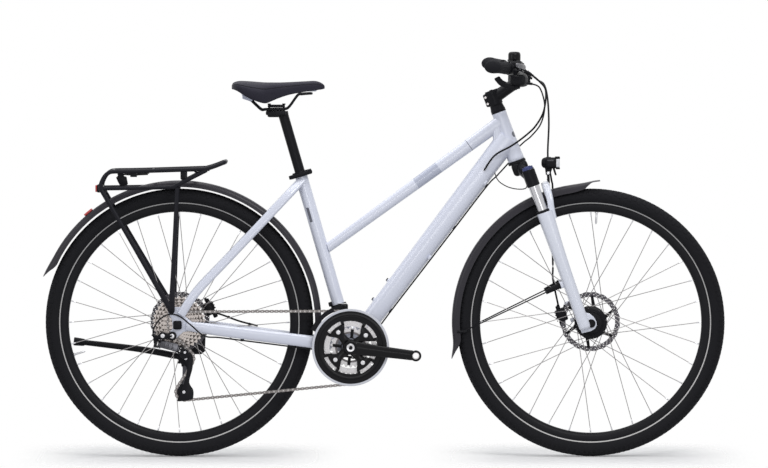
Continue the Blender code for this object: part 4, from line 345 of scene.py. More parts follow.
@dataclass(frozen=True)
class TurnedMetal(Finish):
    """Metal with fine rings round an axle, as left by turning or by a brake's pads."""

    centre: Point = (0.0, 0.0, 0.0)
    rings: float = 2600.0

    def pattern(self, graph: Graph) -> tuple[Signal, Signal, Signal | None]:
        """Rings of slightly different tone and roughness.

        Args:
            graph: the material's graph.

        Returns:
            The colour, the roughness and the normal.
        """
        radius = graph.reach(self.centre)
        ring = graph.node("ShaderNodeTexNoise", {"noise_dimensions": "1D"},
                          {"W": radius, "Scale": self.rings, "Detail": 2.0}, "Fac")
        cloud = graph.noise(45.0)
        tone = ring * 0.6 + cloud * 0.4
        roughness = ring * 0.14 + cloud * 0.08 + (self.roughness - 0.11)
        return self.tones(graph, tone), roughness, graph.bump(ring, 0.000012)


@dataclass(frozen=True)
class DrawnMetal(Finish):
    """Drawn, extruded or brushed metal, with fine lines along one direction."""

    stretch: tuple[float, float, float] = (0.03, 1.0, 1.0)

    def pattern(self, graph: Graph) -> tuple[Signal, Signal, Signal | None]:
        """Fine lines, and a faint cloud over them.

        Args:
            graph: the material's graph.

        Returns:
            The colour, the roughness and the normal.
        """
        lines = graph.noise(self.grain, 2.0, 0.5, self.stretch)
        cloud = graph.noise(30.0)
        roughness = lines * 0.1 + cloud * 0.1 + (self.roughness - 0.1)
        return self.tones(graph, lines * 0.5 + cloud * 0.5), roughness, graph.bump(lines, 0.000008)


@dataclass(frozen=True)
class TyreRubber(Finish):
    """Tyre rubber: dusty tread, ribs round the bead and a pale reflecting line."""

    centre: Point = (0.0, 0.0, 0.0)
    line_colour: Colour = (0.52, 0.51, 0.5)
    line_start: float = 0.3178
    line_end: float = 0.3206
    shoulder: float = 0.345

    def pattern(self, graph: Graph) -> tuple[Signal, Signal, Signal | None]:
        """The tread's dust, the bead's ribs and the reflecting line.

        Args:
            graph: the material's graph.

        Returns:
            The colour, the roughness and the normal.
        """
        radius = graph.reach(self.centre)
        cloud = graph.noise(22.0)
        fine = graph.noise(1300.0, 2.0)
        tread = radius.step(self.shoulder, 0.3575)
        base = self.tones(graph, cloud)
        dusty = tuple(min(c * 1.5 + 0.006, 1.0) for c in self.colour)
        colour = graph.mix(tread * (fine * 0.5 + 0.2), base, dusty)
        ribs = (radius * 3600.0).sine() * 0.5 + 0.5
        sidewall = radius.band(0.3235, 0.3375, 0.002)
        line = radius.band(self.line_start, self.line_end, 0.00025)
        colour = graph.mix(line, colour, self.line_colour)
        height = ribs * sidewall * 0.8 + fine * 0.35 + tread * graph.cells(420.0) * 0.5
        roughness = cloud * 0.08 + fine * 0.05 - line * 0.35 + (self.roughness - 0.06)
        return colour, roughness, graph.bump(height, 0.00016)


@dataclass(frozen=True)
class Grained(Finish):
    """Soft grained sheet or rubber, such as a saddle's cover or a grip."""

    pebble: float = 1500.0

    def pattern(self, graph: Graph) -> tuple[Signal, Signal, Signal | None]:
        """Pebbled grain with fine wrinkles and a faint cloud.

        Args:
            graph: the material's graph.

        Returns:
            The colour, the roughness and the normal.
        """
        grain = graph.cells(self.pebble, "SMOOTH_F1")
        cloud = graph.noise(20.0)
        wrinkle = graph.noise(260.0, 4.0)
        height = grain * 0.8 + wrinkle * 0.4
        roughness = cloud * 0.1 + grain * 0.1 + (self.roughness - 0.08)
        return self.tones(graph, cloud * 0.6 + grain * 0.4), roughness, graph.bump(height, 0.00014)


@dataclass(frozen=True)
class Prismatic(Finish):
    """Clear moulded plastic over a field of small prisms, as in lamps and reflectors."""

    pitch: float = 0.0028
    painted_glow: float = 0.0

    def pattern(self, graph: Graph) -> tuple[Signal, Signal, Signal | None]:
        """A grid of prisms under the surface.

        Args:
            graph: the material's graph.

        Returns:
            The colour, the roughness and the normal.
        """
        _, across, up = graph.axes(graph.place())
        wave = 2.0 * math.pi / self.pitch
        grid = ((across * wave).sine() * (up * wave).sine()) * 0.5 + 0.5
        tone = self.tones(graph, grid)
        return tone, grid * 0.08 + (self.roughness - 0.02), graph.bump(grid, 0.0003)

    def extra(self, graph: Graph) -> None:
        """A painted glow: the plastic gives off a little light of its own."""
        if self.painted_glow:
            graph.surface.inputs["Emission Color"].default_value = (*self.colour, 1.0)
            graph.surface.inputs["Emission Strength"].default_value = self.painted_glow


def basis(direction: Point, upward: Point = UP) -> Matrix:
    """A turned frame whose third axis runs along a direction.

    Args:
        direction: where the third axis points.
        upward: what the second axis leans towards.

    Returns:
        The rotation, as a 3 x 3 matrix of columns.
    """
    ahead = Vector(direction).normalized()
    side = Vector(upward).cross(ahead)
    if side.length < 1e-5:
        side = Vector((0.0, 1.0, 0.0)).cross(ahead)
    side.normalize()
    return Matrix((side, ahead.cross(side), ahead)).transposed()


def placed(centre: Point, direction: Point = UP, upward: Point = AHEAD) -> Matrix:
    """A place in the model: a centre, with the third axis along a direction."""
    return Matrix.Translation(Vector(centre)) @ basis(direction, upward).to_4x4()


def flow(rows: Sequence[Sequence[float]], steps: int) -> list[list[float]]:
    """Runs a smooth curve through rows of numbers.

    Args:
        rows: the rows that the curve passes, such as points with their radii.
        steps: the pieces that each stretch is cut into.

    Returns:
        The rows along the curve.
    """
    full = [rows[0], *rows, rows[-1]]
    made = []
    for i in range(len(rows) - 1):
        before, start, end, after = full[i:i + 4]
        for k in range(steps):
            t = k / steps
            made.append([
                0.5 * (2 * b + (c - a) * t + (2 * a - 5 * b + 4 * c - d) * t * t
                       + (3 * b - a - 3 * c + d) * t ** 3)
                for a, b, c, d in zip(before, start, end, after)
            ])
    made.append(list(rows[-1]))
    return made


@dataclass
class Shape:
    """One piece, collected from modelled forms until it becomes an object."""

    name: str
    mesh: bmesh.types.BMesh = field(default_factory=bmesh.new)

    def block(self, centre: Point, size: Point, turn: Matrix | None = None, bevel: float = 0.0,
              segments: int = 2) -> list[bmesh.types.BMVert]:
        """Adds a box with rounded edges.

        Args:
            centre: its middle.
            size: its length along each of its own axes.
            turn: the rotation of those axes.
            bevel: the rounding of its edges.
            segments: how many faces round an edge.

        Returns:
            Its vertices.
        """
        place = Matrix.Translation(Vector(centre)) @ (turn.to_4x4() if turn else Matrix())
        made = bmesh.ops.create_cube(self.mesh, size=1.0, matrix=place @ Matrix.Diagonal((*size, 1.0)))
        verts = made["verts"]
        if bevel:
            edges = {edge for vert in verts for edge in vert.link_edges}
            verts = self._round(edges, bevel, segments) or verts
        return verts

    def _round(self, edges: Iterable[bmesh.types.BMEdge], bevel: float,
               segments: int = 2) -> list[bmesh.types.BMVert]:
        """Bevels edges and gives the vertices of the new faces."""
        made = bmesh.ops.bevel(self.mesh, geom=list(edges), offset=bevel, segments=segments,
                               profile=0.5, affect="EDGES", material=-1)
        return list({vert for face in made["faces"] for vert in face.verts})

    def rod(self, start: Point, end: Point, radius: float, end_radius: float | None = None,
            steps: int = 28, bevel: float = 0.0) -> None:
        """Adds a closed cylinder or cone between two points.

        Args:
            start: the middle of its first end.
            end: the middle of its other end.
            radius: its radius.
            end_radius: the radius at the other end, if it differs.
            steps: its number of sides.
            bevel: the rounding of both rims.
        """
        start, end = Vector(start), Vector(end)
        place = placed((start + end) / 2, end - start, AHEAD if abs((end - start).normalized().x) < 0.9
                       else UP)
        made = bmesh.ops.create_cone(
            self.mesh, cap_ends=True, segments=steps, radius1=radius,
            radius2=radius if end_radius is None else end_radius, depth=(end - start).length,
            matrix=place)
        if bevel:
            caps = {face for vert in made["verts"] for face in vert.link_faces if len(face.verts) > 4}
            self._round({edge for face in caps for edge in face.edges}, bevel)

    def bolt(self, place: Point, direction: Point, radius: float, height: float,
             socket: float = 0.5) -> None:
        """Adds a round screw head with a six-sided socket.

        Args:
            place: the middle of its foot.
            direction: where the head points.
            radius: its radius.
            height: its height.
            socket: the socket's share of the radius.
        """
        out = Vector(direction).normalized()
        foot, top = Vector(place), Vector(place) + out * height
        self.rod(foot - out * 0.001, top, radius, steps=24, bevel=min(radius, height) * 0.25)
        self.mesh.normal_update()
        found = [face for face in self.mesh.faces if face.normal.dot(out) > 0.99
                 and (face.calc_center_median() - top).length < radius * 0.2]
        bmesh.ops.inset_region(self.mesh, faces=found, thickness=radius * (1 - socket) * 0.75)
        bmesh.ops.inset_region(self.mesh, faces=found, thickness=0.0001, depth=-height * 0.6)

    def ball(self, centre: Point, size: Point, turn: Matrix | None = None, steps: int = 24) -> None:
        """Adds a ball, stretched to its half size along each axis."""
        place = Matrix.Translation(Vector(centre)) @ (turn.to_4x4() if turn else Matrix())
        bmesh.ops.create_uvsphere(self.mesh, u_segments=steps, v_segments=steps // 2, radius=1.0,
                                  matrix=place @ Matrix.Diagonal((*size, 1.0)))

    def turned(self, profile: Sequence[tuple[float, float]], centre: Point, axis: Point = LEFT,
               steps: int = 64, closed: bool = False) -> list[bmesh.types.BMFace]:
        """Turns a profile all the way round an axis.

        Args:
            profile: pairs of radius and distance along the axis.
            centre: the point on the axis from which the distance counts.
            axis: the axis.
            steps: the number of sides.
            closed: whether the profile is a loop.

        Returns:
            The faces.
        """
        axis = Vector(axis).normalized()
        side = self._square_to(axis)
        origin = Vector(centre)
        verts = [self.mesh.verts.new(origin + side * radius + axis * along) for radius, along in profile]
        pairs = list(zip(verts, verts[1:])) + ([(verts[-1], verts[0])] if closed else [])
        edges = [self.mesh.edges.new(pair) for pair in pairs]
        before = set(self.mesh.faces)
        bmesh.ops.spin(self.mesh, geom=verts + edges, cent=origin, axis=axis, dvec=(0, 0, 0),
                       angle=math.radians(360.0), steps=steps, use_merge=True)
        made = [face for face in self.mesh.faces if face not in before]
        spots = {vert for face in made for vert in face.verts}
        bmesh.ops.remove_doubles(self.mesh, verts=list(spots), dist=1e-6)
        return [face for face in made if face.is_valid]

    @staticmethod
    def _square_to(axis: Vector) -> Vector:
        """A direction square to an axis: ahead where that is possible."""
        side = AHEAD if abs(axis.x) < 0.9 else UP
        return (side - axis * side.dot(axis)).normalized()

    def sweep(self, rows: Sequence[Sequence[float]], steps: int = 24, upward: Point = UP,
              flat: Point | None = None, power: float = 2.0) -> list[bmesh.types.BMVert]:
        """Draws a round, oval or rounded square section along a path, and closes both ends.

        Args:
            rows: points with the section's half width and half height: x, y, z, width, height.
            steps: the sides of the section.
            upward: what the section's height leans towards.
            flat: a fixed direction for the section's own axis, where it must not follow the path.
            power: how square the section is: 2 for an oval, and more for flatter sides.

        Returns:
            The vertices.
        """
        points = [Vector(row[:3]) for row in rows]
        places = []
        for i, (point, row) in enumerate(zip(points, rows)):
            ahead = points[min(i + 1, len(points) - 1)] - points[max(i - 1, 0)]
            turn = basis(flat or ahead, upward)
            wide, high = row[3], row[4] if len(row) > 4 else row[3]
            places.append(Matrix.Translation(point) @ turn.to_4x4()
                          @ Matrix.Diagonal((max(wide, 1e-5), max(high, 1e-5), 1.0, 1.0)))
        made = bmesh.ops.create_circle(self.mesh, cap_ends=True, segments=steps, radius=1.0)
        for vert in made["verts"]:
            vert.co = places[0] @ Vector([math.copysign(abs(part) ** (2.0 / power), part)
                                          for part in vert.co])
        ring = set(made["verts"])
        every = list(ring)
        edges = [edge for edge in self.mesh.edges if edge.verts[0] in ring and edge.verts[1] in ring]
        for before, after in zip(places, places[1:]):
            made = bmesh.ops.extrude_edge_only(self.mesh, edges=edges)
            ring = {item for item in made["geom"] if isinstance(item, bmesh.types.BMVert)}
            edges = [item for item in made["geom"] if isinstance(item, bmesh.types.BMEdge)
                     and item.verts[0] in ring and item.verts[1] in ring]
            bmesh.ops.transform(self.mesh, matrix=after @ before.inverted(), verts=list(ring))
            every += ring
        bmesh.ops.contextual_create(self.mesh, geom=edges)
        return every

    def loft(self, rings: Sequence[Sequence[Point]]) -> None:
        """Draws a skin through closed rings of points, and closes both ends.

        Args:
            rings: the rings, each with as many points as the first.
        """
        made = bmesh.ops.create_circle(self.mesh, cap_ends=True, segments=len(rings[0]), radius=1.0)
        verts = list(made["verts"])
        for vert, point in zip(verts, rings[0]):
            vert.co = point
        edges = [self.mesh.edges.get((a, b)) for a, b in zip(verts, verts[1:] + verts[:1])]
        for ring in rings[1:]:
            old = set(verts)
            bmesh.ops.extrude_edge_only(self.mesh, edges=edges)
            verts = [next(edge.other_vert(vert) for edge in vert.link_edges
                          if edge.other_vert(vert) not in old and len(edge.other_vert(vert).link_edges) == 3)
                     for vert in verts]
            for vert, point in zip(verts, ring):
                vert.co = point
            edges = [self.mesh.edges.get((a, b)) for a, b in zip(verts, verts[1:] + verts[:1])]
        bmesh.ops.contextual_create(self.mesh, geom=edges)

    def tube(self, path: Sequence[Point], radius: float, steps: int = 16, smooth: int = 1,
             upward: Point = UP) -> None:
        """Adds a round bar along points, with a smooth bend through them."""
        rows = [(*Vector(point), radius) for point in path]
        self.sweep(flow(rows, smooth) if smooth > 1 else rows, steps, upward)

    def plate(self, outline: Sequence[Point], along: Point, bevel: float = 0.0005,
              segments: int = 2) -> None:
        """Adds a flat plate.

        Args:
            outline: the corners of one face, in order.
            along: the thickness, as a step from that face to the other.
            bevel: the rounding of its rims.
            segments: how many faces round a rim.
        """
        face = self.mesh.faces.new([self.mesh.verts.new(Vector(point)) for point in outline])
        made = bmesh.ops.extrude_face_region(self.mesh, geom=[face])
        verts = [item for item in made["geom"] if isinstance(item, bmesh.types.BMVert)]
        far = [item for item in made["geom"] if isinstance(item, bmesh.types.BMFace)]
        bmesh.ops.translate(self.mesh, vec=Vector(along), verts=verts)
        if bevel:
            edges = {edge for item in [face, *far] if item.is_valid for edge in item.edges}
            self._round(edges, bevel, segments)

    def ring_plate(self, centre: Point, outer: Sequence[float], inner: float, thickness: float,
                   axis: Point = LEFT, holes: Sequence[int] = (), hole: float = 0.0,
                   rows: int = 1, bevel: float = 0.0) -> None:
        """Adds a flat ring, toothed or plain, with or without round holes.

        Args:
            centre: the middle of its first face.
            outer: the outer radius at each of its corners, in turn.
            inner: the inner radius.
            thickness: its thickness, along the axis.
            axis: its axis.
            holes: the numbers of the fields that get a hole, counted round and then inwards.
            hole: the radius of a hole.
            rows: the fields from the rim to the bore.
            bevel: the rounding of the rims.
        """
        mesh, count = self.mesh, len(outer)
        place = placed(centre, axis, AHEAD)
        loops = []
        for row in range(rows + 1):
            made = bmesh.ops.create_circle(mesh, segments=count, radius=1.0, matrix=Matrix())
            for i, vert in enumerate(made["verts"]):
                radius = outer[i] + (inner - outer[i]) * row / rows
                vert.co = place @ (vert.co.normalized() * radius)
            loops.append(made["verts"])
        fields = []
        for near, far in zip(loops, loops[1:]):
            for i in range(count):
                j = (i + 1) % count
                fields.append(mesh.faces.new((near[i], near[j], far[j], far[i])))
        kept = set(fields)
        for number in holes:
            kept |= self._pierce(fields[number], hole)
            kept.discard(fields[number])
        made = bmesh.ops.extrude_face_region(mesh, geom=[face for face in kept if face.is_valid])
        verts = [item for item in made["geom"] if isinstance(item, bmesh.types.BMVert)]
        bmesh.ops.translate(mesh, vec=Vector(axis).normalized() * thickness, verts=verts)
        if bevel:
            far = [item for item in made["geom"] if isinstance(item, bmesh.types.BMFace)]
            sides = {face for item in far for edge in item.edges for face in edge.link_faces} - set(far)
            self._round({edge for item in far for edge in item.edges
                         if any(face in sides for face in edge.link_faces)}, bevel, 1)

    def _pierce(self, face: bmesh.types.BMFace, radius: float) -> set[bmesh.types.BMFace]:
        """Cuts a round hole in a flat face and gives the faces left round it."""
        middle = face.calc_center_median()
        made = bmesh.ops.inset_individual(self.mesh, faces=[face], thickness=radius * 0.25)
        bmesh.ops.subdivide_edges(self.mesh, edges=list(face.edges), cuts=2)
        for vert in face.verts:
            vert.co = middle + (vert.co - middle).normalized() * radius
        bmesh.ops.delete(self.mesh, geom=[face], context="FACES_ONLY")
        return {item for item in made["faces"] if item.is_valid}

    def cast(self, voxel: float, smoothing: int = 4) -> "Shape":
        """Melts the overlapping forms into one skin, as a weld or a casting does.

        Args:
            voxel: the size of the skin's faces.
            smoothing: how often the skin is evened out.

        Returns:
            This shape.
        """
        self.clean()
        data = bpy.data.meshes.new(self.name + "_forms")
        self.mesh.to_mesh(data)
        item = bpy.data.objects.new(self.name + "_forms", data)
        bpy.context.scene.collection.objects.link(item)
        remesh = item.modifiers.new("skin", "REMESH")
        remesh.mode = "VOXEL"
        remesh.voxel_size = voxel
        ready = item.evaluated_get(bpy.context.evaluated_depsgraph_get())
        skin = bpy.data.meshes.new_from_object(ready)
        self.mesh.clear()
        self.mesh.from_mesh(skin)
        bpy.data.objects.remove(item)
        bpy.data.meshes.remove(data)
        bpy.data.meshes.remove(skin)
        for factor in (0.6, -0.63) * smoothing * 2 + (0.5,):
            bmesh.ops.smooth_vert(self.mesh, verts=self.mesh.verts, factor=factor, use_axis_x=True,
                                  use_axis_y=True, use_axis_z=True)
        return self

    def clean(self) -> None:
        """Merges doubles and turns all faces outwards."""
        bmesh.ops.remove_doubles(self.mesh, verts=self.mesh.verts, dist=1e-6)
        bmesh.ops.dissolve_degenerate(self.mesh, dist=1e-7, edges=self.mesh.edges)
        bmesh.ops.recalc_face_normals(self.mesh, faces=self.mesh.faces)

    def done(self, paint: Paint, body: str | None, *nodes: str, sharp: float = 32.0) -> bpy.types.Object:
        """Makes the object, and hangs it on its body.

        Args:
            paint: what it is made of.
            body: the body that it moves with, or None to leave it unattached.
            nodes: the solids that it stands in for.
            sharp: the angle in degrees above which an edge stays sharp.

        Returns:
            The object.
        """
        self.clean()
        finish = paint.value
        data = bpy.data.meshes.new(self.name)
        self.mesh.to_mesh(data)
        self.mesh.free()
        for polygon in data.polygons:
            polygon.use_smooth = True
        data.set_sharp_from_angle(angle=math.radians(sharp))
        data.materials.append(finish.material())
        item = bpy.data.objects.new(self.name, data)
        bpy.context.scene.collection.objects.link(item)
        if body is not None:
            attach(item, body)
        if nodes:
            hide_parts(*nodes)
        LOG.info("%s: %d faces", self.name, len(data.polygons))
        return item


# Places and sizes of the part, in metres
REAR_AXLE = Vector((-0.546, 0.0, 0.358))
FRONT_AXLE = Vector((0.552, 0.0, 0.358))
BB = Vector((-0.089, 0.0, 0.294))
SEAT_DIR = Vector((-0.278991, 0.0, 0.960294))
SEAT_AHEAD = Vector((0.960294, 0.0, 0.278991))
SEAT_TOP = Vector((-0.223753, 0.0, 0.757822))
STEER_DIR = Vector((-0.34202, 0.0, 0.939693))
STEER_AHEAD = Vector((0.939693, 0.0, 0.34202))
STEER_FOOT = Vector((0.515352, 0.0, 0.344661))
BAR_CENTRE = Vector((0.368352, 0.0, 1.008633))
TOP_TUBE_REAR = Vector((-0.16265, 0.0, 0.54752))
TOP_TUBE_FRONT = Vector((0.31493, 0.0, 0.89532))
DOWN_TUBE_FRONT = Vector((0.33134, 0.0, 0.85022))
HALF_FORK = 0.065
FRONT_DISC_Y, REAR_DISC_Y = 0.0395, 0.052
HOSE_RADIUS = 0.0025
HOSE_EXIT = (Vector((0.049, -0.0573, -0.0074)), Vector((0.066, -0.068, -0.022)))
FORK_TURN = basis(STEER_DIR, STEER_AHEAD)
CHAIN_STAY_END = REAR_AXLE + Vector((0.02, 0.0, -0.006))
STAY_BRIDGE = Vector((-0.294137, 0.0, 0.658381))
BOTTLE_BOSSES = (Vector((-0.029523, 0.0, 0.420773)), Vector((0.008698, 0.0, 0.472109)))
BOSS_OUT = Vector((-0.797803, 0.0, 0.602918))


def steer(along: float, ahead: float = 0.0, left: float = 0.0) -> Vector:
    """A point by its place along the steering axis, ahead of it and to its left."""
    return STEER_FOOT + STEER_DIR * along + STEER_AHEAD * ahead + LEFT * left


def off(point: Point, x: float = 0.0, y: float = 0.0, z: float = 0.0) -> Vector:
    """A point moved by so much."""
    return Vector(point) + Vector((x, y, z))


def around(centre: Point, radius: float, degrees: float, across: float = 0.0) -> Vector:
    """A point on a circle round an axle."""
    angle = math.radians(degrees)
    return off(centre, radius * math.cos(angle), across, radius * math.sin(angle))


STRIPE_GREY = (0.434, 0.462, 0.565)
STRIPE_DARK = (0.085, 0.09, 0.125)
TOP_TUBE_RUN = Vector((0.8084, 0.0, 0.5887))
TOP_TUBE_FOOT = (-0.1627, 0.0, 0.5475)
STRIPES = (
    Stripe(TOP_TUBE_FOOT, TOP_TUBE_RUN, 0.307, 0.382, STRIPE_GREY, (0.116, 0.0, 0.75), 0.065),
    Stripe(TOP_TUBE_FOOT, TOP_TUBE_RUN, 0.4812, 0.4828, STRIPE_DARK, (0.227, 0.0, 0.831), 0.024),
    Stripe((-0.4785, 0.0, 0.463), (0.676, 0.0, 0.737), -0.05, 0.0, STRIPE_GREY,
           (-0.493, 0.0, 0.445), 0.07),
    Stripe((-0.1985, -0.0168, 0.6445), SEAT_AHEAD, -0.0035, 0.0035, STRIPE_DARK,
           (-0.202, -0.0168, 0.6445), 0.02),
    Stripe((0.3476, -0.009, 0.8614), STEER_DIR, -0.0075, 0.0075, STRIPE_DARK,
           (0.3476, -0.009, 0.8614), 0.0088),
)
BLACK = (0.0085, 0.0085, 0.0105)
TYRE_BLACK = (0.0125, 0.0125, 0.0145)
DISC_GREY = (0.085, 0.081, 0.092)
DULL = 0.09


class Paint(Enum):
    """The finishes of the bike, by what they are used on."""

    FRAME = GlossPaint("paint_frame", "frame_paint", (0.66, 0.685, 0.785), 0.2, coat=0.5, mottle=0.02,
                       stripes=STRIPES)
    FORK = GlossPaint("paint_fork", "frame_paint", (0.7, 0.725, 0.81), 0.22, coat=0.5, mottle=0.02)
    TYRE_FRONT = TyreRubber("rubber_front", "tyre", TYRE_BLACK, 0.8, centre=FRONT_AXLE, shine=DULL)
    TYRE_REAR = TyreRubber("rubber_rear", "tyre", TYRE_BLACK, 0.8, centre=REAR_AXLE, shine=DULL)
    RIM = Finish("anodised_rim", "black_alloy", (0.011, 0.011, 0.013), 0.38, shine=DULL)
    ALLOY = Finish("anodised_black", "black_alloy", BLACK, 0.3, shine=DULL)
    CRANK = GlossPaint("crank_gloss", "black_alloy", (0.005, 0.005, 0.0062), 0.2, coat=0.12, shine=DULL)
    SPOKE = DrawnMetal("spoke_steel", "steel", (0.26, 0.25, 0.25), 0.34, 0.8)
    DISC_FRONT = TurnedMetal("disc_front", "steel", DISC_GREY, 0.42, 0.65, centre=FRONT_AXLE)
    DISC_REAR = TurnedMetal("disc_rear", "steel", DISC_GREY, 0.42, 0.65, centre=REAR_AXLE)
    CARRIER = Finish("disc_carrier", "steel", (0.01, 0.01, 0.012), 0.42, shine=DULL)
    STEEL = DrawnMetal("steel_bright", "steel", (0.5, 0.48, 0.48), 0.26, 0.95, stretch=(1.0, 1.0, 1.0))
    BOLT = Finish("bolt_silver", "steel", (0.56, 0.56, 0.58), 0.24, 0.95)
    CHROME = Finish("stanchion_chrome", "steel", (0.5, 0.5, 0.52), 0.16, 1.0, mottle=0.03, grain=300.0,
                    grain_depth=0.0)
    COGS = TurnedMetal("cassette_steel", "steel", (0.5, 0.455, 0.43), 0.3, 0.9, centre=REAR_AXLE)
    # Painted shade: a dark copy of the cassette steel, for the cogs' bodies and the spacers between them
    COG_PAINTED_SHADE = TurnedMetal("cassette_painted_shade", "steel", (0.105, 0.092, 0.086), 0.42, 0.8, centre=REAR_AXLE)
    RINGS = TurnedMetal("ring_steel", "steel", (0.5, 0.49, 0.5), 0.28, 0.9, centre=BB)
    # Painted shade: a dark copy of the ring steel, for the large and small rings' webs
    RING_PAINTED_SHADE = TurnedMetal("ring_painted_shade", "steel", (0.15, 0.14, 0.145), 0.4, 0.8, centre=BB)
    CHAIN = Finish("chain_steel", "steel", (0.185, 0.172, 0.168), 0.34, 0.9, mottle=0.3)
    BLACK_STEEL = Finish("satin_black", "black_steel", BLACK, 0.36, shine=DULL)
    RACK = Finish("rack_black", "black_alloy", (0.013, 0.013, 0.017), 0.36, shine=DULL)
    PLASTIC = Finish("plastic_black", "black_plastic", BLACK, 0.45, grain=2200.0, grain_depth=0.00005,
                     shine=DULL)
    GUARD = GlossPaint("mudguard_grey", "guard", (0.034, 0.032, 0.038), 0.36, coat=0.1, mottle=0.06,
                       shine=DULL)
    HOSE = Finish("hose_black", "hose", (0.0085, 0.0085, 0.01), 0.36, shine=DULL)
    GRIP = Grained("grip_rubber", "grip", (0.0125, 0.0125, 0.015), 0.72, pebble=1800.0, shine=DULL)
    COVER = Grained("saddle_cover", "saddle", (0.024, 0.023, 0.033), 0.52, shine=DULL)
    BASE = Finish("saddle_base", "white_plastic", (0.5, 0.53, 0.64), 0.42, grain=1800.0)
    PALE = Finish("plastic_pale", "white_plastic", (0.6, 0.61, 0.66), 0.35)
    LEVER = DrawnMetal("lever_grey", "black_alloy", (0.115, 0.115, 0.125), 0.3, 0.75)
    LINK = DrawnMetal("link_grey", "steel", (0.05, 0.05, 0.058), 0.28, 0.6)
    BLUE = TurnedMetal("knob_blue", "blue_alloy", (0.035, 0.046, 0.15), 0.28, 0.4,
                       centre=(0.38287, 0.0, 0.767128))
    # Painted glow: the red lenses give off a little light of their own
    RED = Prismatic("lens_red", "red_plastic", (0.46, 0.03, 0.026), 0.14, coat=0.6, painted_glow=0.1)
    LENS = Prismatic("lens_clear", "white_plastic", (0.7, 0.71, 0.74), 0.08, coat=0.8, pitch=0.004)


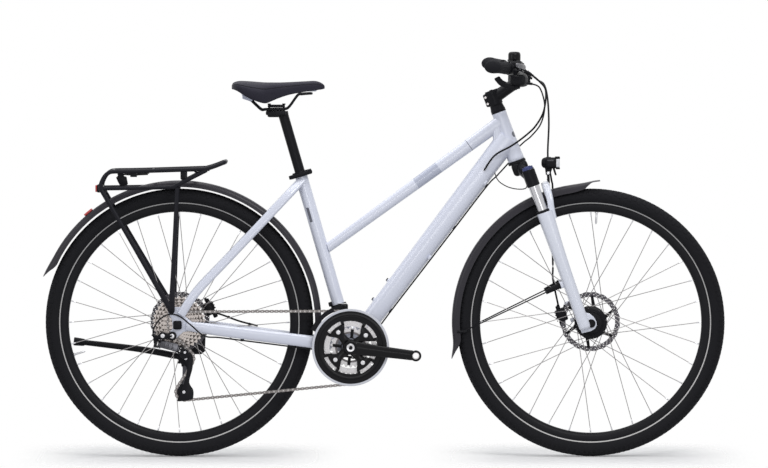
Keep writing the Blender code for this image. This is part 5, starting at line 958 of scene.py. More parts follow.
@dataclass
class Wheel:
    """One wheel with its tyre, rim, spokes, hub and brake disc."""

    name: str
    centre: Vector
    body: str
    rubber: Paint
    disc_metal: Paint
    hub_profile: Sequence[tuple[float, float]]
    flanges: tuple[tuple[float, float, float], ...]
    disc_y: float
    valve: float
    flange_radius: float
    steps: int = 486

    def tyre(self) -> None:
        """Moulds the tyre: a round casing with a tread of blocks in six rows."""
        shape = Shape(f"{self.name}_tyre_rubber")
        side = [(0.3112, 0.01), (0.315, 0.0112), (0.3164, 0.0128), (0.3178, 0.0148), (0.321, 0.0176),
                (0.3255, 0.0205), (0.3305, 0.0225), (0.3355, 0.0232), (0.34, 0.0228), (0.344, 0.0213),
                (0.348, 0.0187), (0.3513, 0.015), (0.3522, 0.0138), (0.3543, 0.0096), (0.3549, 0.0082),
                (0.356, 0.004), (0.3564, 0.001)]
        faces = shape.turned(side + [(r, -y) for r, y in reversed(side)], self.centre, steps=self.steps,
                             closed=True)
        bmesh.ops.recalc_face_normals(shape.mesh, faces=shape.mesh.faces)
        pitch = 2.0 * math.pi / self.steps
        blocks = []
        for face in faces:
            spot = face.calc_center_median() - self.centre
            number = int(math.atan2(spot.z, spot.x) // pitch) + (spot.y > 0)
            across = abs(spot.y)
            deep = 0.0213 if number // 3 % 2 else 0.0225
            rows = ((0.015, deep, 0), (0.0096, 0.0138, 1), (0.001, 0.0082, 2))
            if math.hypot(spot.x, spot.z) > 0.34 and any(
                    low < across < high and (number + shift) % 3 for low, high, shift in rows):
                blocks.append(face)
        bmesh.ops.inset_region(shape.mesh, faces=blocks, thickness=0.0006, depth=0.0011)
        shape.done(self.rubber, self.body, f"{self.name}_tyre")

    def rim(self) -> None:
        """Makes the rim: a hooked channel on a rounded box, with nipples and a valve."""
        shape = Shape(f"{self.name}_rim_channel")
        side = [(0.3164, 0.0121), (0.3164, 0.0112), (0.314, 0.0104), (0.3118, 0.0096), (0.3092, 0.006)]
        outer = [(0.314, 0.0125), (0.3085, 0.0125), (0.304, 0.0116), (0.299, 0.009), (0.296, 0.0052),
                 (0.295, 0.0)]
        half = list(reversed(side)) + outer
        shape.turned([(0.3088, 0.0)] + half + [(r, -y) for r, y in reversed(half[:-1])], self.centre,
                     steps=144, closed=True)
        shape.done(Paint.RIM, self.body, f"{self.name}_rim")
        valve = Shape(f"{self.name}_valve")
        foot, tip = around(self.centre, 0.297, self.valve), around(self.centre, 0.266, self.valve)
        valve.rod(foot, tip, 0.0029, steps=16, bevel=0.0004)
        valve.rod(around(self.centre, 0.2945, self.valve), around(self.centre, 0.2925, self.valve), 0.005,
                  steps=6, bevel=0.0003)
        valve.rod(tip, around(self.centre, 0.2625, self.valve), 0.0022, 0.0014, steps=12, bevel=0.0002)
        valve.done(Paint.BOLT, self.body)

    def spokes(self) -> None:
        """Laces 32 spokes, crossed in pairs, each with its nipple and its head in the flange."""
        wires, nipples = Shape(f"{self.name}_spokes"), Shape(f"{self.name}_nipples")
        tip = 0.295 * math.cos(math.pi / 32) - 0.0009
        for flange_y, side, turn in self.flanges:
            circle = self.flange_radius - 0.004
            for i in range(16):
                leading = 1 if i % 2 else -1
                at_hub = math.degrees(turn) + i * 22.5
                at_rim = at_hub + leading * 67.5
                out = leading * 0.0013
                start = around(self.centre, circle, at_hub, flange_y + out)
                end = around(self.centre, tip, at_rim, side * 0.0025 + out)
                run = (start - end).normalized()
                wires.rod(start, end, 0.001, steps=8)
                wires.ball(off(start, y=math.copysign(0.001, leading)), (0.0022, 0.001, 0.0022), steps=8)
                nipples.rod(end - run * 0.0015, end + run * 0.0105, 0.0021, 0.0017, steps=8, bevel=0.0002)
        wires.done(Paint.SPOKE, self.body)
        nipples.done(Paint.BOLT, self.body)

    def hub(self) -> None:
        """Turns the hub's shell with its drilled flanges."""
        shape = Shape(f"{self.name}_hub_shell")
        shape.turned(self.hub_profile, self.centre, steps=72)
        shape.done(Paint.ALLOY, self.body, f"{self.name}_hub")

    def disc(self) -> None:
        """Makes the brake disc: a drilled band on slanted arms, and its carrier with six bolts."""
        count = 120
        rim = [0.08 - 0.0009 * (1 + math.cos(math.tau * i / 6)) for i in range(count)]
        holes = [row * count + i for row in range(3) for i in range(count) if (i + row) % 3 == 0]
        band = Shape(f"{self.name}_disc_band")
        face = off(self.centre, y=self.disc_y - 0.001)
        band.ring_plate(face, rim, 0.0662, 0.002, holes=holes, hole=0.0012, rows=3)
        band.done(self.disc_metal, self.body, f"{self.name}_disc", sharp=25.0)
        arms = Shape(f"{self.name}_disc_arms")
        for i in range(6):
            near, far = around(self.centre, 0.024, i * 60), around(self.centre, 0.0668, i * 60 + 26)
            along = (far - near).normalized()
            across = Vector((-along.z, 0.0, along.x))
            outline = [near - across * 0.006, near + across * 0.006, far + across * 0.0036,
                       far - across * 0.0036]
            arms.plate([off(p, y=self.disc_y - 0.0009) for p in outline], LEFT * 0.0018, 0.0003)
            arms.rod(off(far, y=self.disc_y - 0.0013), off(far, y=self.disc_y + 0.0013), 0.0042, steps=20,
                     bevel=0.0003)
        arms.turned([(0.016, -0.001), (0.027, -0.001), (0.027, 0.001), (0.016, 0.001)],
                    off(self.centre, y=self.disc_y), closed=True)
        arms.done(Paint.CARRIER, self.body)
        bolts = Shape(f"{self.name}_disc_bolts")
        for i in range(6):
            bolts.bolt(around(self.centre, 0.0222, i * 60 + 20, self.disc_y + 0.001), LEFT, 0.0036, 0.0018)
        bolts.done(Paint.BOLT, self.body)

    def build(self) -> None:
        """Builds the whole wheel."""
        self.tyre()
        self.rim()
        self.spokes()
        self.hub()
        self.disc()


def make_wheels() -> None:
    """Builds both wheels."""
    quarter = math.pi / 16
    rear = [(0.002, 0.066), (0.008, 0.066), (0.008, 0.06), (0.015, 0.0585), (0.0156, 0.044),
            (0.019, 0.04), (0.029, 0.0362), (0.03, 0.035), (0.03, 0.033), (0.029, 0.0318),
            (0.019, 0.03), (0.0155, 0.024), (0.015, 0.007), (0.016, -0.01), (0.019, -0.016),
            (0.029, -0.018), (0.03, -0.019), (0.03, -0.021), (0.029, -0.0222), (0.019, -0.024),
            (0.0156, -0.025), (0.0156, -0.064), (0.008, -0.0648), (0.008, -0.0668), (0.002, -0.0668)]
    front = [(0.002, 0.049), (0.008, 0.049), (0.0086, 0.046), (0.015, 0.0448), (0.0156, 0.034),
             (0.024, 0.0316), (0.0415, 0.0298), (0.043, 0.0286), (0.043, 0.0254), (0.0415, 0.0242),
             (0.0375, 0.023), (0.036, 0.02), (0.0352, 0.0), (0.036, -0.02), (0.0375, -0.023),
             (0.0415, -0.0242), (0.043, -0.0254), (0.043, -0.0286), (0.0415, -0.0298), (0.033, -0.0312),
             (0.032, -0.033), (0.03, -0.0336), (0.029, -0.0326), (0.02, -0.0332), (0.015, -0.037),
             (0.011, -0.04), (0.0086, -0.048), (0.008, -0.049), (0.002, -0.049)]
    Wheel("front", FRONT_AXLE, "front_wheel", Paint.TYRE_FRONT, Paint.DISC_FRONT, front,
          ((0.027, 1, 0.0), (-0.027, -1, quarter)), FRONT_DISC_Y, 87.0, 0.043).build()
    Wheel("rear", REAR_AXLE, "rear_wheel", Paint.TYRE_REAR, Paint.DISC_REAR, rear,
          ((0.034, 1, 0.0), (-0.02, -1, quarter)), REAR_DISC_Y, 197.0, 0.03).build()


@dataclass
class FrameSet:
    """The welded frame, and what is fixed to its tubes."""

    square: float = 2.7

    def frame(self) -> None:
        """Welds the tubes, the stays, the dropouts and the bosses to one frame."""
        shape = Shape("frame_tubes")
        shape.turned([(0.015, 0.4745), (0.0218, 0.4745), (0.0225, 0.4752), (0.0225, 0.484), (0.0217, 0.489),
                      (0.0205, 0.53), (0.0195, 0.59), (0.0196, 0.605), (0.0198, 0.6129),
                      (0.0192, 0.6135), (0.015, 0.6135)], STEER_FOOT, STEER_DIR, 72, closed=True)
        seat_foot = BB + SEAT_DIR * 0.01
        shape.rod(seat_foot, SEAT_TOP, 0.0168, steps=56)
        top_rear, top_front = TOP_TUBE_REAR, TOP_TUBE_FRONT
        top = shape.sweep([(*top_rear.lerp(top_front, t), 0.0125 + 0.006 * t) for t in (
            0.0, 0.2, 0.4, 0.6, 0.8, 1.0)], 48, LEFT, power=self.square)
        for vert in top:
            if (vert.co - top_rear).length < 0.03:
                gap = 0.0152 - (vert.co - SEAT_TOP).dot(SEAT_AHEAD)
                vert.co += TOP_TUBE_RUN * (gap / TOP_TUBE_RUN.dot(SEAT_AHEAD))
        rows = [(*BB.lerp(DOWN_TUBE_FRONT, t), 0.025 + 0.005 * t, (0.025 + 0.005 * t) * 0.86)
                for t in (0.0, 0.2, 0.4, 0.6, 0.8, 1.0)]
        shape.sweep(rows, 56, LEFT, power=self.square)
        shape.rod(off(BB, y=-0.034), off(BB, y=0.034), 0.0215, steps=64)
        for side in (-1, 1):
            self._rear_triangle(shape, side)
        self._gusset(shape)
        shape.rod(off(STAY_BRIDGE, y=-0.041), off(STAY_BRIDGE, y=0.041), 0.0062, steps=28)
        shape.rod(off(BB, -0.062, -0.034, 0.006), off(BB, -0.062, 0.034, 0.006), 0.0062, steps=28)
        for foot in BOTTLE_BOSSES:
            shape.rod(foot - BOSS_OUT * 0.006, foot - BOSS_OUT * 0.0004, 0.0052, steps=24)
        for place in ((0.27, -0.017, 0.7318), (0.122, -0.021, 0.5325)):
            shape.block(place, (0.012, 0.008, 0.007), Matrix.Rotation(math.radians(-53), 3, "Y"), 0.0015)
        shape.done(Paint.FRAME, "frame", "frame", sharp=50.0)

    def _rear_triangle(self, shape: Shape, side: int) -> None:
        """Adds one side's stays and dropout.

        Args:
            shape: the shape to add to.
            side: -1 on the right, 1 on the left.
        """
        stay = [(0.0, 0.0215, 0.034, 0.016), (0.12, 0.0322, 0.034, 0.014), (0.23, 0.0397, 0.033, 0.0145),
                (0.5, 0.053, 0.032, 0.016), (0.85, 0.0715, 0.03, 0.016), (1.0, 0.0765, 0.024, 0.015)]
        rows = []
        for share, across, high, wide in stay:
            point = BB.lerp(CHAIN_STAY_END, share)
            rows.append((point.x, side * across, point.z, wide / 2, high / 2))
        shape.sweep(flow(rows, 6), 40, UP, power=self.square)
        top, knee = SEAT_TOP - SEAT_DIR * 0.02, off(REAR_AXLE, 0.047, 0.0, 0.084)
        rows = []
        for share, across in ((0, 0.01), (0.12, 0.031), (0.27, 0.0425), (0.7, 0.059), (1, 0.0735)):
            point = Vector(top).lerp(knee, share)
            rows.append((point.x, side * across, point.z, 0.0075, 0.0115))
        foot = off(REAR_AXLE, 0.006, side * 0.0765, 0.024)
        rows.append((*foot, 0.007, 0.0118))
        shape.sweep(flow(rows, 6), 36, AHEAD, power=self.square)
        outline = ((-0.02, 0.044), (0.004, 0.044), (0.024, 0.06), (0.032, 0.054), (0.016, 0.02),
                   (0.034, 0.006), (0.04, -0.018), (0.012, -0.022), (-0.01, -0.042), (-0.025, -0.042),
                   (-0.028, -0.028), (-0.016, -0.012), (-0.018, 0.01), (-0.028, 0.028), (-0.028, 0.04))
        y = 0.0672 if side > 0 else -0.0738
        shape.plate([off(REAR_AXLE, x, y, z) for x, z in outline], LEFT * 0.0066, 0.0012)

    @staticmethod
    def _gusset(shape: Shape) -> None:
        """Fills the corner between the top and the down tube behind the head tube."""
        low, high = BB.lerp(DOWN_TUBE_FRONT, 0.94), TOP_TUBE_REAR.lerp(TOP_TUBE_FRONT, 0.97)
        shape.sweep([(*low, 0.015, 0.02), (*high, 0.012, 0.018)], 40, LEFT, power=3.4)

    def small_parts(self) -> None:
        """Adds the bottom bracket's cups, the bottle screws, and the seat clamp with its lever."""
        cups = Shape("bottom_bracket_cups")
        for side in (-1, 1):
            cups.turned([(0.011, 0.0), (0.0195, 0.0), (0.0205, 0.0008), (0.0205, 0.0024), (0.019, 0.0034),
                         (0.011, 0.0036)], off(BB, y=side * 0.0342), LEFT * side, 48, closed=True)
        cups.done(Paint.BLACK_STEEL, "frame")
        screws = Shape("bottle_screws")
        for foot in BOTTLE_BOSSES:
            screws.bolt(foot, BOSS_OUT, 0.0042, 0.0026)
        screws.done(Paint.BLACK_STEEL, "frame")
        collar = Shape("seat_clamp_ring")
        centre = SEAT_TOP - SEAT_DIR * 0.004
        collar.turned([(0.017, -0.007), (0.0207, -0.007), (0.0213, -0.0062), (0.0213, 0.0062),
                       (0.0207, 0.007), (0.015, 0.0076), (0.014, 0.0076), (0.014, 0.0042),
                       (0.017, 0.0038)], centre, SEAT_DIR, 56, closed=True)
        ears = centre + SEAT_AHEAD * 0.0245
        for side in (-1, 1):
            collar.block(off(ears, y=side * 0.0072), (0.013, 0.0105, 0.0135), basis(SEAT_DIR, LEFT), 0.0018)
        collar.rod(off(ears, y=-0.026), off(ears, y=0.019), 0.003, steps=20)
        collar.rod(off(ears, y=0.013), off(ears, y=0.019), 0.0062, steps=28, bevel=0.001)
        collar.done(Paint.ALLOY, "frame", "seat_clamp")
        lever = Shape("seat_clamp_handle")
        pivot = Vector((-0.197861, -0.025, 0.761179))
        back = -SEAT_AHEAD
        lever.rod(off(pivot, y=0.0105), off(pivot, y=-0.0035), 0.0066, steps=32, bevel=0.0012)
        rows = [(*(pivot + back * s + LEFT * y + SEAT_DIR * z), w, h) for s, y, z, w, h in (
            (0.0, 0.0, 0.0, 0.0028, 0.0058), (0.016, -0.0012, -0.0004, 0.0028, 0.005),
            (0.034, -0.0008, -0.0012, 0.0026, 0.0052), (0.05, 0.0008, -0.0012, 0.0024, 0.0056),
            (0.0575, 0.0018, -0.001, 0.002, 0.0048))]
        lever.sweep(flow(rows, 5), 24, SEAT_DIR)
        lever.done(Paint.ALLOY, "seat_lever", "seat_clamp_lever")

    def build(self) -> None:
        """Builds the frame and its small parts."""
        self.frame()
        self.small_parts()


@dataclass
class Fork:
    """The suspension fork with its crown, stanchions, lower legs, lamp bracket and axle."""

    half: float = HALF_FORK

    def upper(self) -> None:
        """Forges the crown and adds the bright stanchions and the preload knob."""
        crown = Shape("fork_crown_forging")
        for side in (-1, 1):
            across = side * self.half
            crown.rod(steer(0.3965, 0.02, across), steer(0.4415, 0.02, across), 0.0173, steps=48)
            crown.sweep(flow([(*steer(0.451, 0.003, side * 0.01), 0.019, 0.015),
                              (*steer(0.444, 0.006, side * 0.028), 0.017, 0.0135),
                              (*steer(0.43, 0.013, side * 0.048), 0.015, 0.013),
                              (*steer(0.42, 0.02, side * 0.063), 0.014, 0.0135)], 5), 32, STEER_AHEAD)
        crown.block(steer(0.4515, 0.003), (0.052, 0.044, 0.036), FORK_TURN, 0.01, 4)
        crown.cast(0.0013, 5)
        crown.rod(steer(0.466), steer(0.4735), 0.0242, steps=56, bevel=0.001)
        crown.rod(steer(0.47), steer(0.669), 0.014, steps=40)
        crown.done(Paint.ALLOY, "steering", "fork_crown", sharp=50.0)
        tubes = Shape("fork_stanchions")
        for side in (-1, 1):
            tubes.rod(steer(0.201, 0.02, side * self.half), steer(0.405, 0.02, side * self.half), 0.014,
                      steps=56)
        tubes.done(Paint.CHROME, "steering")
        cap = Shape("fork_cap_left")
        cap.rod(steer(0.4415, 0.02, self.half), steer(0.4428, 0.02, self.half), 0.0125, steps=40,
                bevel=0.0005)
        cap.done(Paint.PLASTIC, "steering")
        knob = Shape("preload_knob_turned")
        foot = steer(0.4425, 0.02, -self.half)
        knob.ring_plate(foot, [0.0148 - 0.0007 * (i % 4 == 0) for i in range(80)], 0.009, 0.0078, STEER_DIR,
                        bevel=0.0004)
        knob.rod(foot + STEER_DIR * 0.0002, foot + STEER_DIR * 0.0094, 0.0118, 0.0095, steps=48,
                 bevel=0.0008)
        knob.done(Paint.BLUE, "knob", "preload_knob")

    def lowers(self) -> None:
        """Casts the lower legs, the arch, the axle's ends and the caliper's posts in one."""
        shape = Shape("fork_lower_casting")
        for side in (-1, 1):
            across = side * self.half
            rows = [(*steer(along, ahead, across), wide, deep) for along, ahead, wide, deep in (
                (-0.0072, 0.0195, 0.0125, 0.0125), (-0.004, 0.0195, 0.0146, 0.0148),
                (0.004, 0.0195, 0.0154, 0.0156), (0.06, 0.0198, 0.016, 0.0158),
                (0.15, 0.0204, 0.0168, 0.0168), (0.23, 0.0214, 0.0178, 0.0188),
                (0.29, 0.0228, 0.0186, 0.0208), (0.3215, 0.0232, 0.019, 0.0218))]
            shape.sweep(flow(rows, 4), 48, STEER_AHEAD, power=2.7)
            outline = ((-0.0165, 0.006), (0.04, 0.008), (0.036, 0.03), (0.026, 0.044), (0.014, 0.051),
                       (0.0, 0.0535), (-0.01, 0.051), (-0.017, 0.043), (-0.019, 0.03))
            y = 0.05 if side > 0 else -0.058
            shape.plate([steer(a, b) + LEFT * y for a, b in outline], LEFT * 0.008, 0.0014)
            shape.block(steer(0.124, 0.001, across), (0.013, 0.013, 0.018), basis(STEER_DIR, LEFT), 0.003)
        right = [(0.3, 0.0345, self.half, 0.012, 0.015),
                 (0.326, 0.043, self.half - 0.001, 0.009, 0.0095),
                 (0.346, 0.0478, self.half - 0.002, 0.0074, 0.009),
                 (0.366, 0.0496, self.half - 0.009, 0.0066, 0.01),
                 (0.381, 0.0502, self.half - 0.022, 0.0064, 0.0104),
                 (0.389, 0.0505, self.half - 0.042, 0.0064, 0.0104)]
        path = right + [(a, b, -c, w, h) for a, b, c, w, h in reversed(right)]
        rows = [(*steer(a, b, -c), w, h) for a, b, c, w, h in path]
        shape.sweep(flow(rows, 6), 36, STEER_AHEAD, power=2.5)
        for height in (0.02, 0.066):
            shape.block(steer(height, -0.001, self.half - 0.013), (0.01, 0.018, 0.011), FORK_TURN, 0.002)
        shape.done(Paint.FORK, "fork_slider", "fork_lowers", sharp=50.0)
        seals = Shape("fork_seals")
        for side in (-1, 1):
            seals.turned([(0.0143, -0.0005), (0.0192, 0.0), (0.0194, 0.0012), (0.019, 0.005),
                          (0.0168, 0.0066), (0.0143, 0.007)], steer(0.3215, 0.02, side * self.half),
                         STEER_DIR, 56, closed=True)
        seals.done(Paint.PLASTIC, "fork_slider")
        wire = Shape("lamp_bracket")
        wire.tube([steer(0.388, 0.06, 0.0), steer(0.398, 0.0635), steer(0.408, 0.0662), steer(0.414, 0.068)],
                  0.0036, 20, 5, LEFT)
        wire.block(steer(0.39, 0.0605), (0.016, 0.003, 0.02), FORK_TURN, 0.001)
        wire.rod(off(steer(0.414, 0.068), y=-0.0062), off(steer(0.414, 0.068), y=0.0062), 0.006, steps=32,
                 bevel=0.0006)
        wire.done(Paint.BLACK_STEEL, "fork_slider")

    def axle(self) -> None:
        """Turns the front axle's ends."""
        shape = Shape("front_axle_ends")
        centre = FRONT_AXLE
        shape.rod(off(centre, y=-0.064), off(centre, y=0.06), 0.0052, steps=28)
        shape.rod(off(centre, y=-0.0583), off(centre, y=-0.0628), 0.0112, steps=44, bevel=0.0012)
        shape.rod(off(centre, y=-0.0625), off(centre, y=-0.0642), 0.0078, 0.0066, steps=36)
        shape.rod(off(centre, y=0.0583), off(centre, y=0.06), 0.0104, steps=40, bevel=0.0004)
        shape.rod(off(centre, y=0.0598), off(centre, y=0.065), 0.0086, steps=6, bevel=0.0008)
        shape.done(Paint.ALLOY, "fork_slider", "front_axle")

    def build(self) -> None:
        """Builds the fork."""
        self.upper()
        self.lowers()
        self.axle()


@dataclass
class Caliper:
    """A disc brake's caliper: two halves over the disc, joined by a bridge, with bolts and pads."""

    name: str
    body: str
    place: Matrix
    disc_y: float

    def build(self) -> None:
        """Builds the caliper."""
        shape = Shape(f"{self.name}_housing")
        turn = self.place.to_3x3()
        sign = turn.col[1].y

        def at(x: float, y: float, z: float) -> Vector:
            """A point by its place ahead of, left of and above the caliper's middle."""
            return self.place @ Vector((x, y * sign, z))

        shape.block(at(0.0005, 0.008, 0.0), (0.025, 0.0095, 0.036), turn, 0.0045, 4)
        shape.block(at(0.0005, -0.0056, 0.0), (0.023, 0.007, 0.034), turn, 0.003, 4)
        shape.block(at(-0.012, 0.002, 0.005), (0.007, 0.019, 0.022), turn, 0.0025, 3)
        for x, z, tall in ((-0.0075, -0.0215, 0.015), (-0.0035, 0.0205, 0.013)):
            shape.block(at(x, 0.006, z), (0.012, 0.01, tall), turn, 0.003, 3)
        centre = self.place.to_translation()
        shape.rod(at(0.001, 0.01, 0.0), at(0.001, 0.0162, 0.0), 0.0118, 0.0108, steps=48, bevel=0.0015)
        shape.turned([(0.006, 0.0), (0.0084, 0.0), (0.0084, 0.001), (0.006, 0.001)],
                     at(0.001, 0.016, 0.0), LEFT * sign, 40, closed=True)
        for z in (-0.012, -0.004, 0.004, 0.012):
            shape.block(at(-0.016, 0.0015, z), (0.0026, 0.015, 0.003), turn, 0.0006)
        shape.rod(at(-0.001, 0.006, 0.022), at(-0.001, 0.006, 0.03), 0.0042, 0.0034, steps=24, bevel=0.0006)
        shape.rod(at(0.01, 0.007, 0.012), at(0.016, 0.007, 0.023), 0.003, 0.0022, steps=20, bevel=0.0004)
        shape.done(Paint.ALLOY, self.body, f"{self.name}_caliper")
        screws = Shape(f"{self.name}_caliper_screws")
        for x, z in ((-0.0075, -0.023), (-0.0035, 0.0222)):
            screws.bolt(at(x, 0.0108, z), LEFT * sign, 0.0042, 0.003)
        screws.bolt(at(0.001, 0.016, 0.0), LEFT * sign, 0.0046, 0.001)
        screws.done(Paint.BOLT, self.body)
        pads = Shape(f"{self.name}_brake_pads")
        for y in (-0.0021, 0.0021):
            pads.block(off(at(0.002, 0.0, 0.0), y=self.disc_y + y - centre.y), (0.022, 0.0012, 0.024), turn,
                       0.0003)
        pads.done(Paint.CHAIN, self.body)


def make_calipers() -> None:
    """Builds both calipers, and the stub of hose on the rear one."""
    Caliper("front", "fork_slider", placed(steer(0.043, -0.0265, FRONT_DISC_Y), STEER_DIR, LEFT),
            FRONT_DISC_Y).build()
    lean = Matrix.Rotation(math.radians(-24), 4, "Y")
    Caliper("rear", "frame", Matrix.Translation(off(REAR_AXLE, 0.078, REAR_DISC_Y, 0.034)) @ lean
            @ Matrix.Rotation(math.pi, 4, "Z"), REAR_DISC_Y).build()
    stub = Shape("rear_caliper_hose")
    stub.tube([off(REAR_AXLE, x, y, z) for x, y, z in (
        (0.086, 0.063, 0.026), (0.092, 0.0615, 0.022), (0.11, 0.06, 0.018), (0.16, 0.058, 0.0),
        (0.208, 0.055, -0.012))], HOSE_RADIUS, 20, 6)
    stub.done(Paint.HOSE, "frame")
    clips = Shape("rear_hose_clips")
    for x, y, z in ((0.13, 0.059, 0.011), (0.186, 0.056, -0.0075)):
        clips.block(off(REAR_AXLE, x, y, z), (0.006, 0.008, 0.007), Matrix.Rotation(0.3, 3, "Y"), 0.0012)
    clips.done(Paint.PLASTIC, "frame")
    axle = Shape("rear_axle_ends")
    axle.rod(off(REAR_AXLE, y=-0.079), off(REAR_AXLE, y=0.079), 0.0052, steps=28)
    axle.block(off(REAR_AXLE, -0.0035, -0.0784, -0.0035), (0.0232, 0.009, 0.0232), None, 0.0048, 5)
    axle.block(off(REAR_AXLE, -0.0035, -0.0822, -0.0035), (0.016, 0.003, 0.016), None, 0.0014, 3)
    axle.rod(off(REAR_AXLE, y=0.0742), off(REAR_AXLE, y=0.0765), 0.0104, steps=40, bevel=0.0004)
    axle.rod(off(REAR_AXLE, y=0.076), off(REAR_AXLE, y=0.083), 0.0088, steps=6, bevel=0.0008)
    axle.done(Paint.ALLOY, "frame", "rear_axle")


BAR_SHAPE = ((0.0, 0.0, 0.0, 1.0), (0.1, 0.0, 0.0, 1.0), (0.17, 0.03, 0.06, 0.7),
             (0.24, 0.14, 0.25, 0.0), (0.4, 0.34, 0.62, 0.0), (0.54, 0.5, 0.84, 0.0),
             (0.77, 0.76, 0.94, 0.0), (1.0, 1.0, 1.0, 0.0))


@dataclass
class Cockpit:
    """The stem, the handlebar, and everything that is clamped to it."""

    half_width: float = 0.306
    sweep_back: float = 0.084
    rise: float = 0.036
    bar: float = 0.0111
    bulge: float = 0.0048

    def bar_points(self, side: int) -> list[Vector]:
        """The bar's centre line on one side, from the stem outwards."""
        return [off(BAR_CENTRE, -back * self.sweep_back, side * share * self.half_width, up * self.rise)
                for share, back, up, _ in BAR_SHAPE]

    def along(self, side: int, inset: float) -> tuple[Vector, Vector]:
        """The bar's centre and its outward direction, so far in from its end."""
        points = self.bar_points(side)
        for inner, outer in zip(points[-2::-1], points[:0:-1]):
            length = (outer - inner).length
            if inset <= length:
                direction = (outer - inner).normalized()
                return outer - direction * inset, direction
            inset -= length
        return points[0], LEFT * side

    def place(self, side: int, inset: float) -> Matrix:
        """A frame on the bar: X forwards, Y outwards along the bar and Z up."""
        point, outward = self.along(side, inset)
        ahead = outward.cross(UP).normalized() * side
        up = ahead.cross(outward).normalized() * side
        turn = Matrix((ahead, outward, up)).transposed()
        return Matrix.Translation(point) @ turn.to_4x4()

    def stem(self) -> None:
        """Casts the stem, with its face plate, its bolts and the cap on the headset."""
        low, high = steer(0.6325), steer(0.67)
        middle = (low + high) / 2
        reach = (BAR_CENTRE - middle).normalized()
        shape = Shape("stem_forging")
        shape.rod(low, high, 0.0193, steps=56)
        shape.sweep([(*middle, 0.017, 0.0178), (*middle.lerp(BAR_CENTRE, 0.5), 0.0155, 0.0165),
                     (*BAR_CENTRE, 0.0158, 0.0165)], 48, LEFT)
        shape.rod(off(BAR_CENTRE, y=-0.0225), off(BAR_CENTRE, y=0.0225), 0.0218, steps=64)
        shape.block(middle - STEER_AHEAD * 0.019, (0.018, 0.013, 0.035), FORK_TURN, 0.003)
        shape.cast(0.0011, 5)
        shape.done(Paint.ALLOY, "steering", "stem", sharp=50.0)
        face = Shape("stem_face_plate")
        front = BAR_CENTRE + reach * 0.0205
        face.block(front, (0.042, 0.032, 0.005), basis(reach, UP), 0.0022, 3)
        face.done(Paint.ALLOY, "steering")
        screws = Shape("stem_screws")
        up = basis(reach, UP).col[1]
        for y in (-0.0155, 0.0155):
            for lift in (-0.0105, 0.0105):
                screws.bolt(off(front + reach * 0.002 + up * lift, y=y), reach, 0.0036, 0.0026)
        for lift in (-0.009, 0.009):
            screws.bolt(off(middle + STEER_DIR * lift - STEER_AHEAD * 0.0205, y=-0.0085), -LEFT, 0.0034,
                        0.0022)
        screws.done(Paint.STEEL, "steering")
        cap = Shape("stem_cap")
        cap.rod(high, high + STEER_DIR * 0.003, 0.0176, steps=56, bevel=0.001)
        cap.bolt(high + STEER_DIR * 0.0026, STEER_DIR, 0.0046, 0.002)
        cap.done(Paint.PLASTIC, "steering")
        cover = Shape("headset_cover_cone")
        cover.turned([(0.0146, 0.0003), (0.0196, 0.0003), (0.0199, 0.001), (0.0199, 0.0045),
                      (0.0194, 0.0062), (0.0184, 0.011), (0.0176, 0.0165), (0.0172, 0.018),
                      (0.0146, 0.018)], steer(0.614), STEER_DIR, 64, closed=True)
        cover.done(Paint.PLASTIC, "steering", "headset_cover")
        lower = Shape("headset_cups")
        lower.turned([(0.019, 0.0), (0.02, 0.0), (0.0204, 0.0008), (0.0201, 0.0026), (0.019, 0.003)],
                     steer(0.6111), STEER_DIR, 64, closed=True)
        lower.turned([(0.019, 0.0), (0.0221, 0.0), (0.0226, 0.0008), (0.0221, 0.0016), (0.019, 0.0018)],
                     steer(0.4729), STEER_DIR, 64, closed=True)
        lower.done(Paint.BLACK_STEEL, "frame")

    def handlebar(self) -> None:
        """Bends the handlebar."""
        right, left = ([(*point, self.bar + bulge * self.bulge)
                        for point, (*_, bulge) in zip(self.bar_points(side), BAR_SHAPE)]
                       for side in (-1, 1))
        shape = Shape("handlebar_tube")
        shape.sweep(flow(right[:0:-1] + left[1:], 7), 32, UP)
        shape.done(Paint.ALLOY, "steering", "handlebar")

    def grip(self, side: int) -> None:
        """Moulds one grip: ribbed, and broad at its outer end.

        Args:
            side: -1 on the right, 1 on the left.
        """
        name = "left" if side > 0 else "right"
        length, radius = 0.13, 0.016
        stations = ((1.0, 0.92, 0.92), (0.94, 1.0, 1.0), (0.5, 1.03, 1.0), (0.26, 1.15, 1.03),
                    (0.1, 1.38, 1.06), (0.0, 1.34, 1.02), (-0.03, 1.05, 0.84))
        end, outward = self.along(side, 0.0)
        rows = []
        for share, wide, tall in stations:
            point = end - outward * share * length if share <= 0 else self.along(side, share * length)[0]
            rows.append((*point, radius * wide, radius * tall))
        rows = flow(rows, 14)
        ribbed = []
        for i, row in enumerate(rows):
            rib = 1.0 - 0.045 * (i % 4 in (1, 2)) * (8 < i < len(rows) - 16)
            ribbed.append([*row[:3], row[3] * rib, row[4] * rib])
        shape = Shape(f"grip_{name}_rubber")
        shape.sweep(ribbed, 40, UP)
        shape.done(Paint.GRIP, "steering", f"grip_{name}", sharp=50.0)
        collar = Shape(f"grip_{name}_collar")
        point, direction = self.along(side, 0.1255)
        collar.rod(point - direction * 0.004, point + direction * 0.004, 0.0166, steps=48, bevel=0.001)
        collar.done(Paint.PLASTIC, "steering")

    def control(self, side: int) -> None:
        """Builds one side's brake and shift controls.

        Args:
            side: -1 on the right, 1 on the left.
        """
        name = "left" if side > 0 else "right"
        place = self.place(side, 0.16)
        turn = place.to_3x3()

        def at(x: float, y: float, z: float) -> Vector:
            """A point ahead of, outward from and above the bar's centre."""
            return place @ Vector((x, y, z))

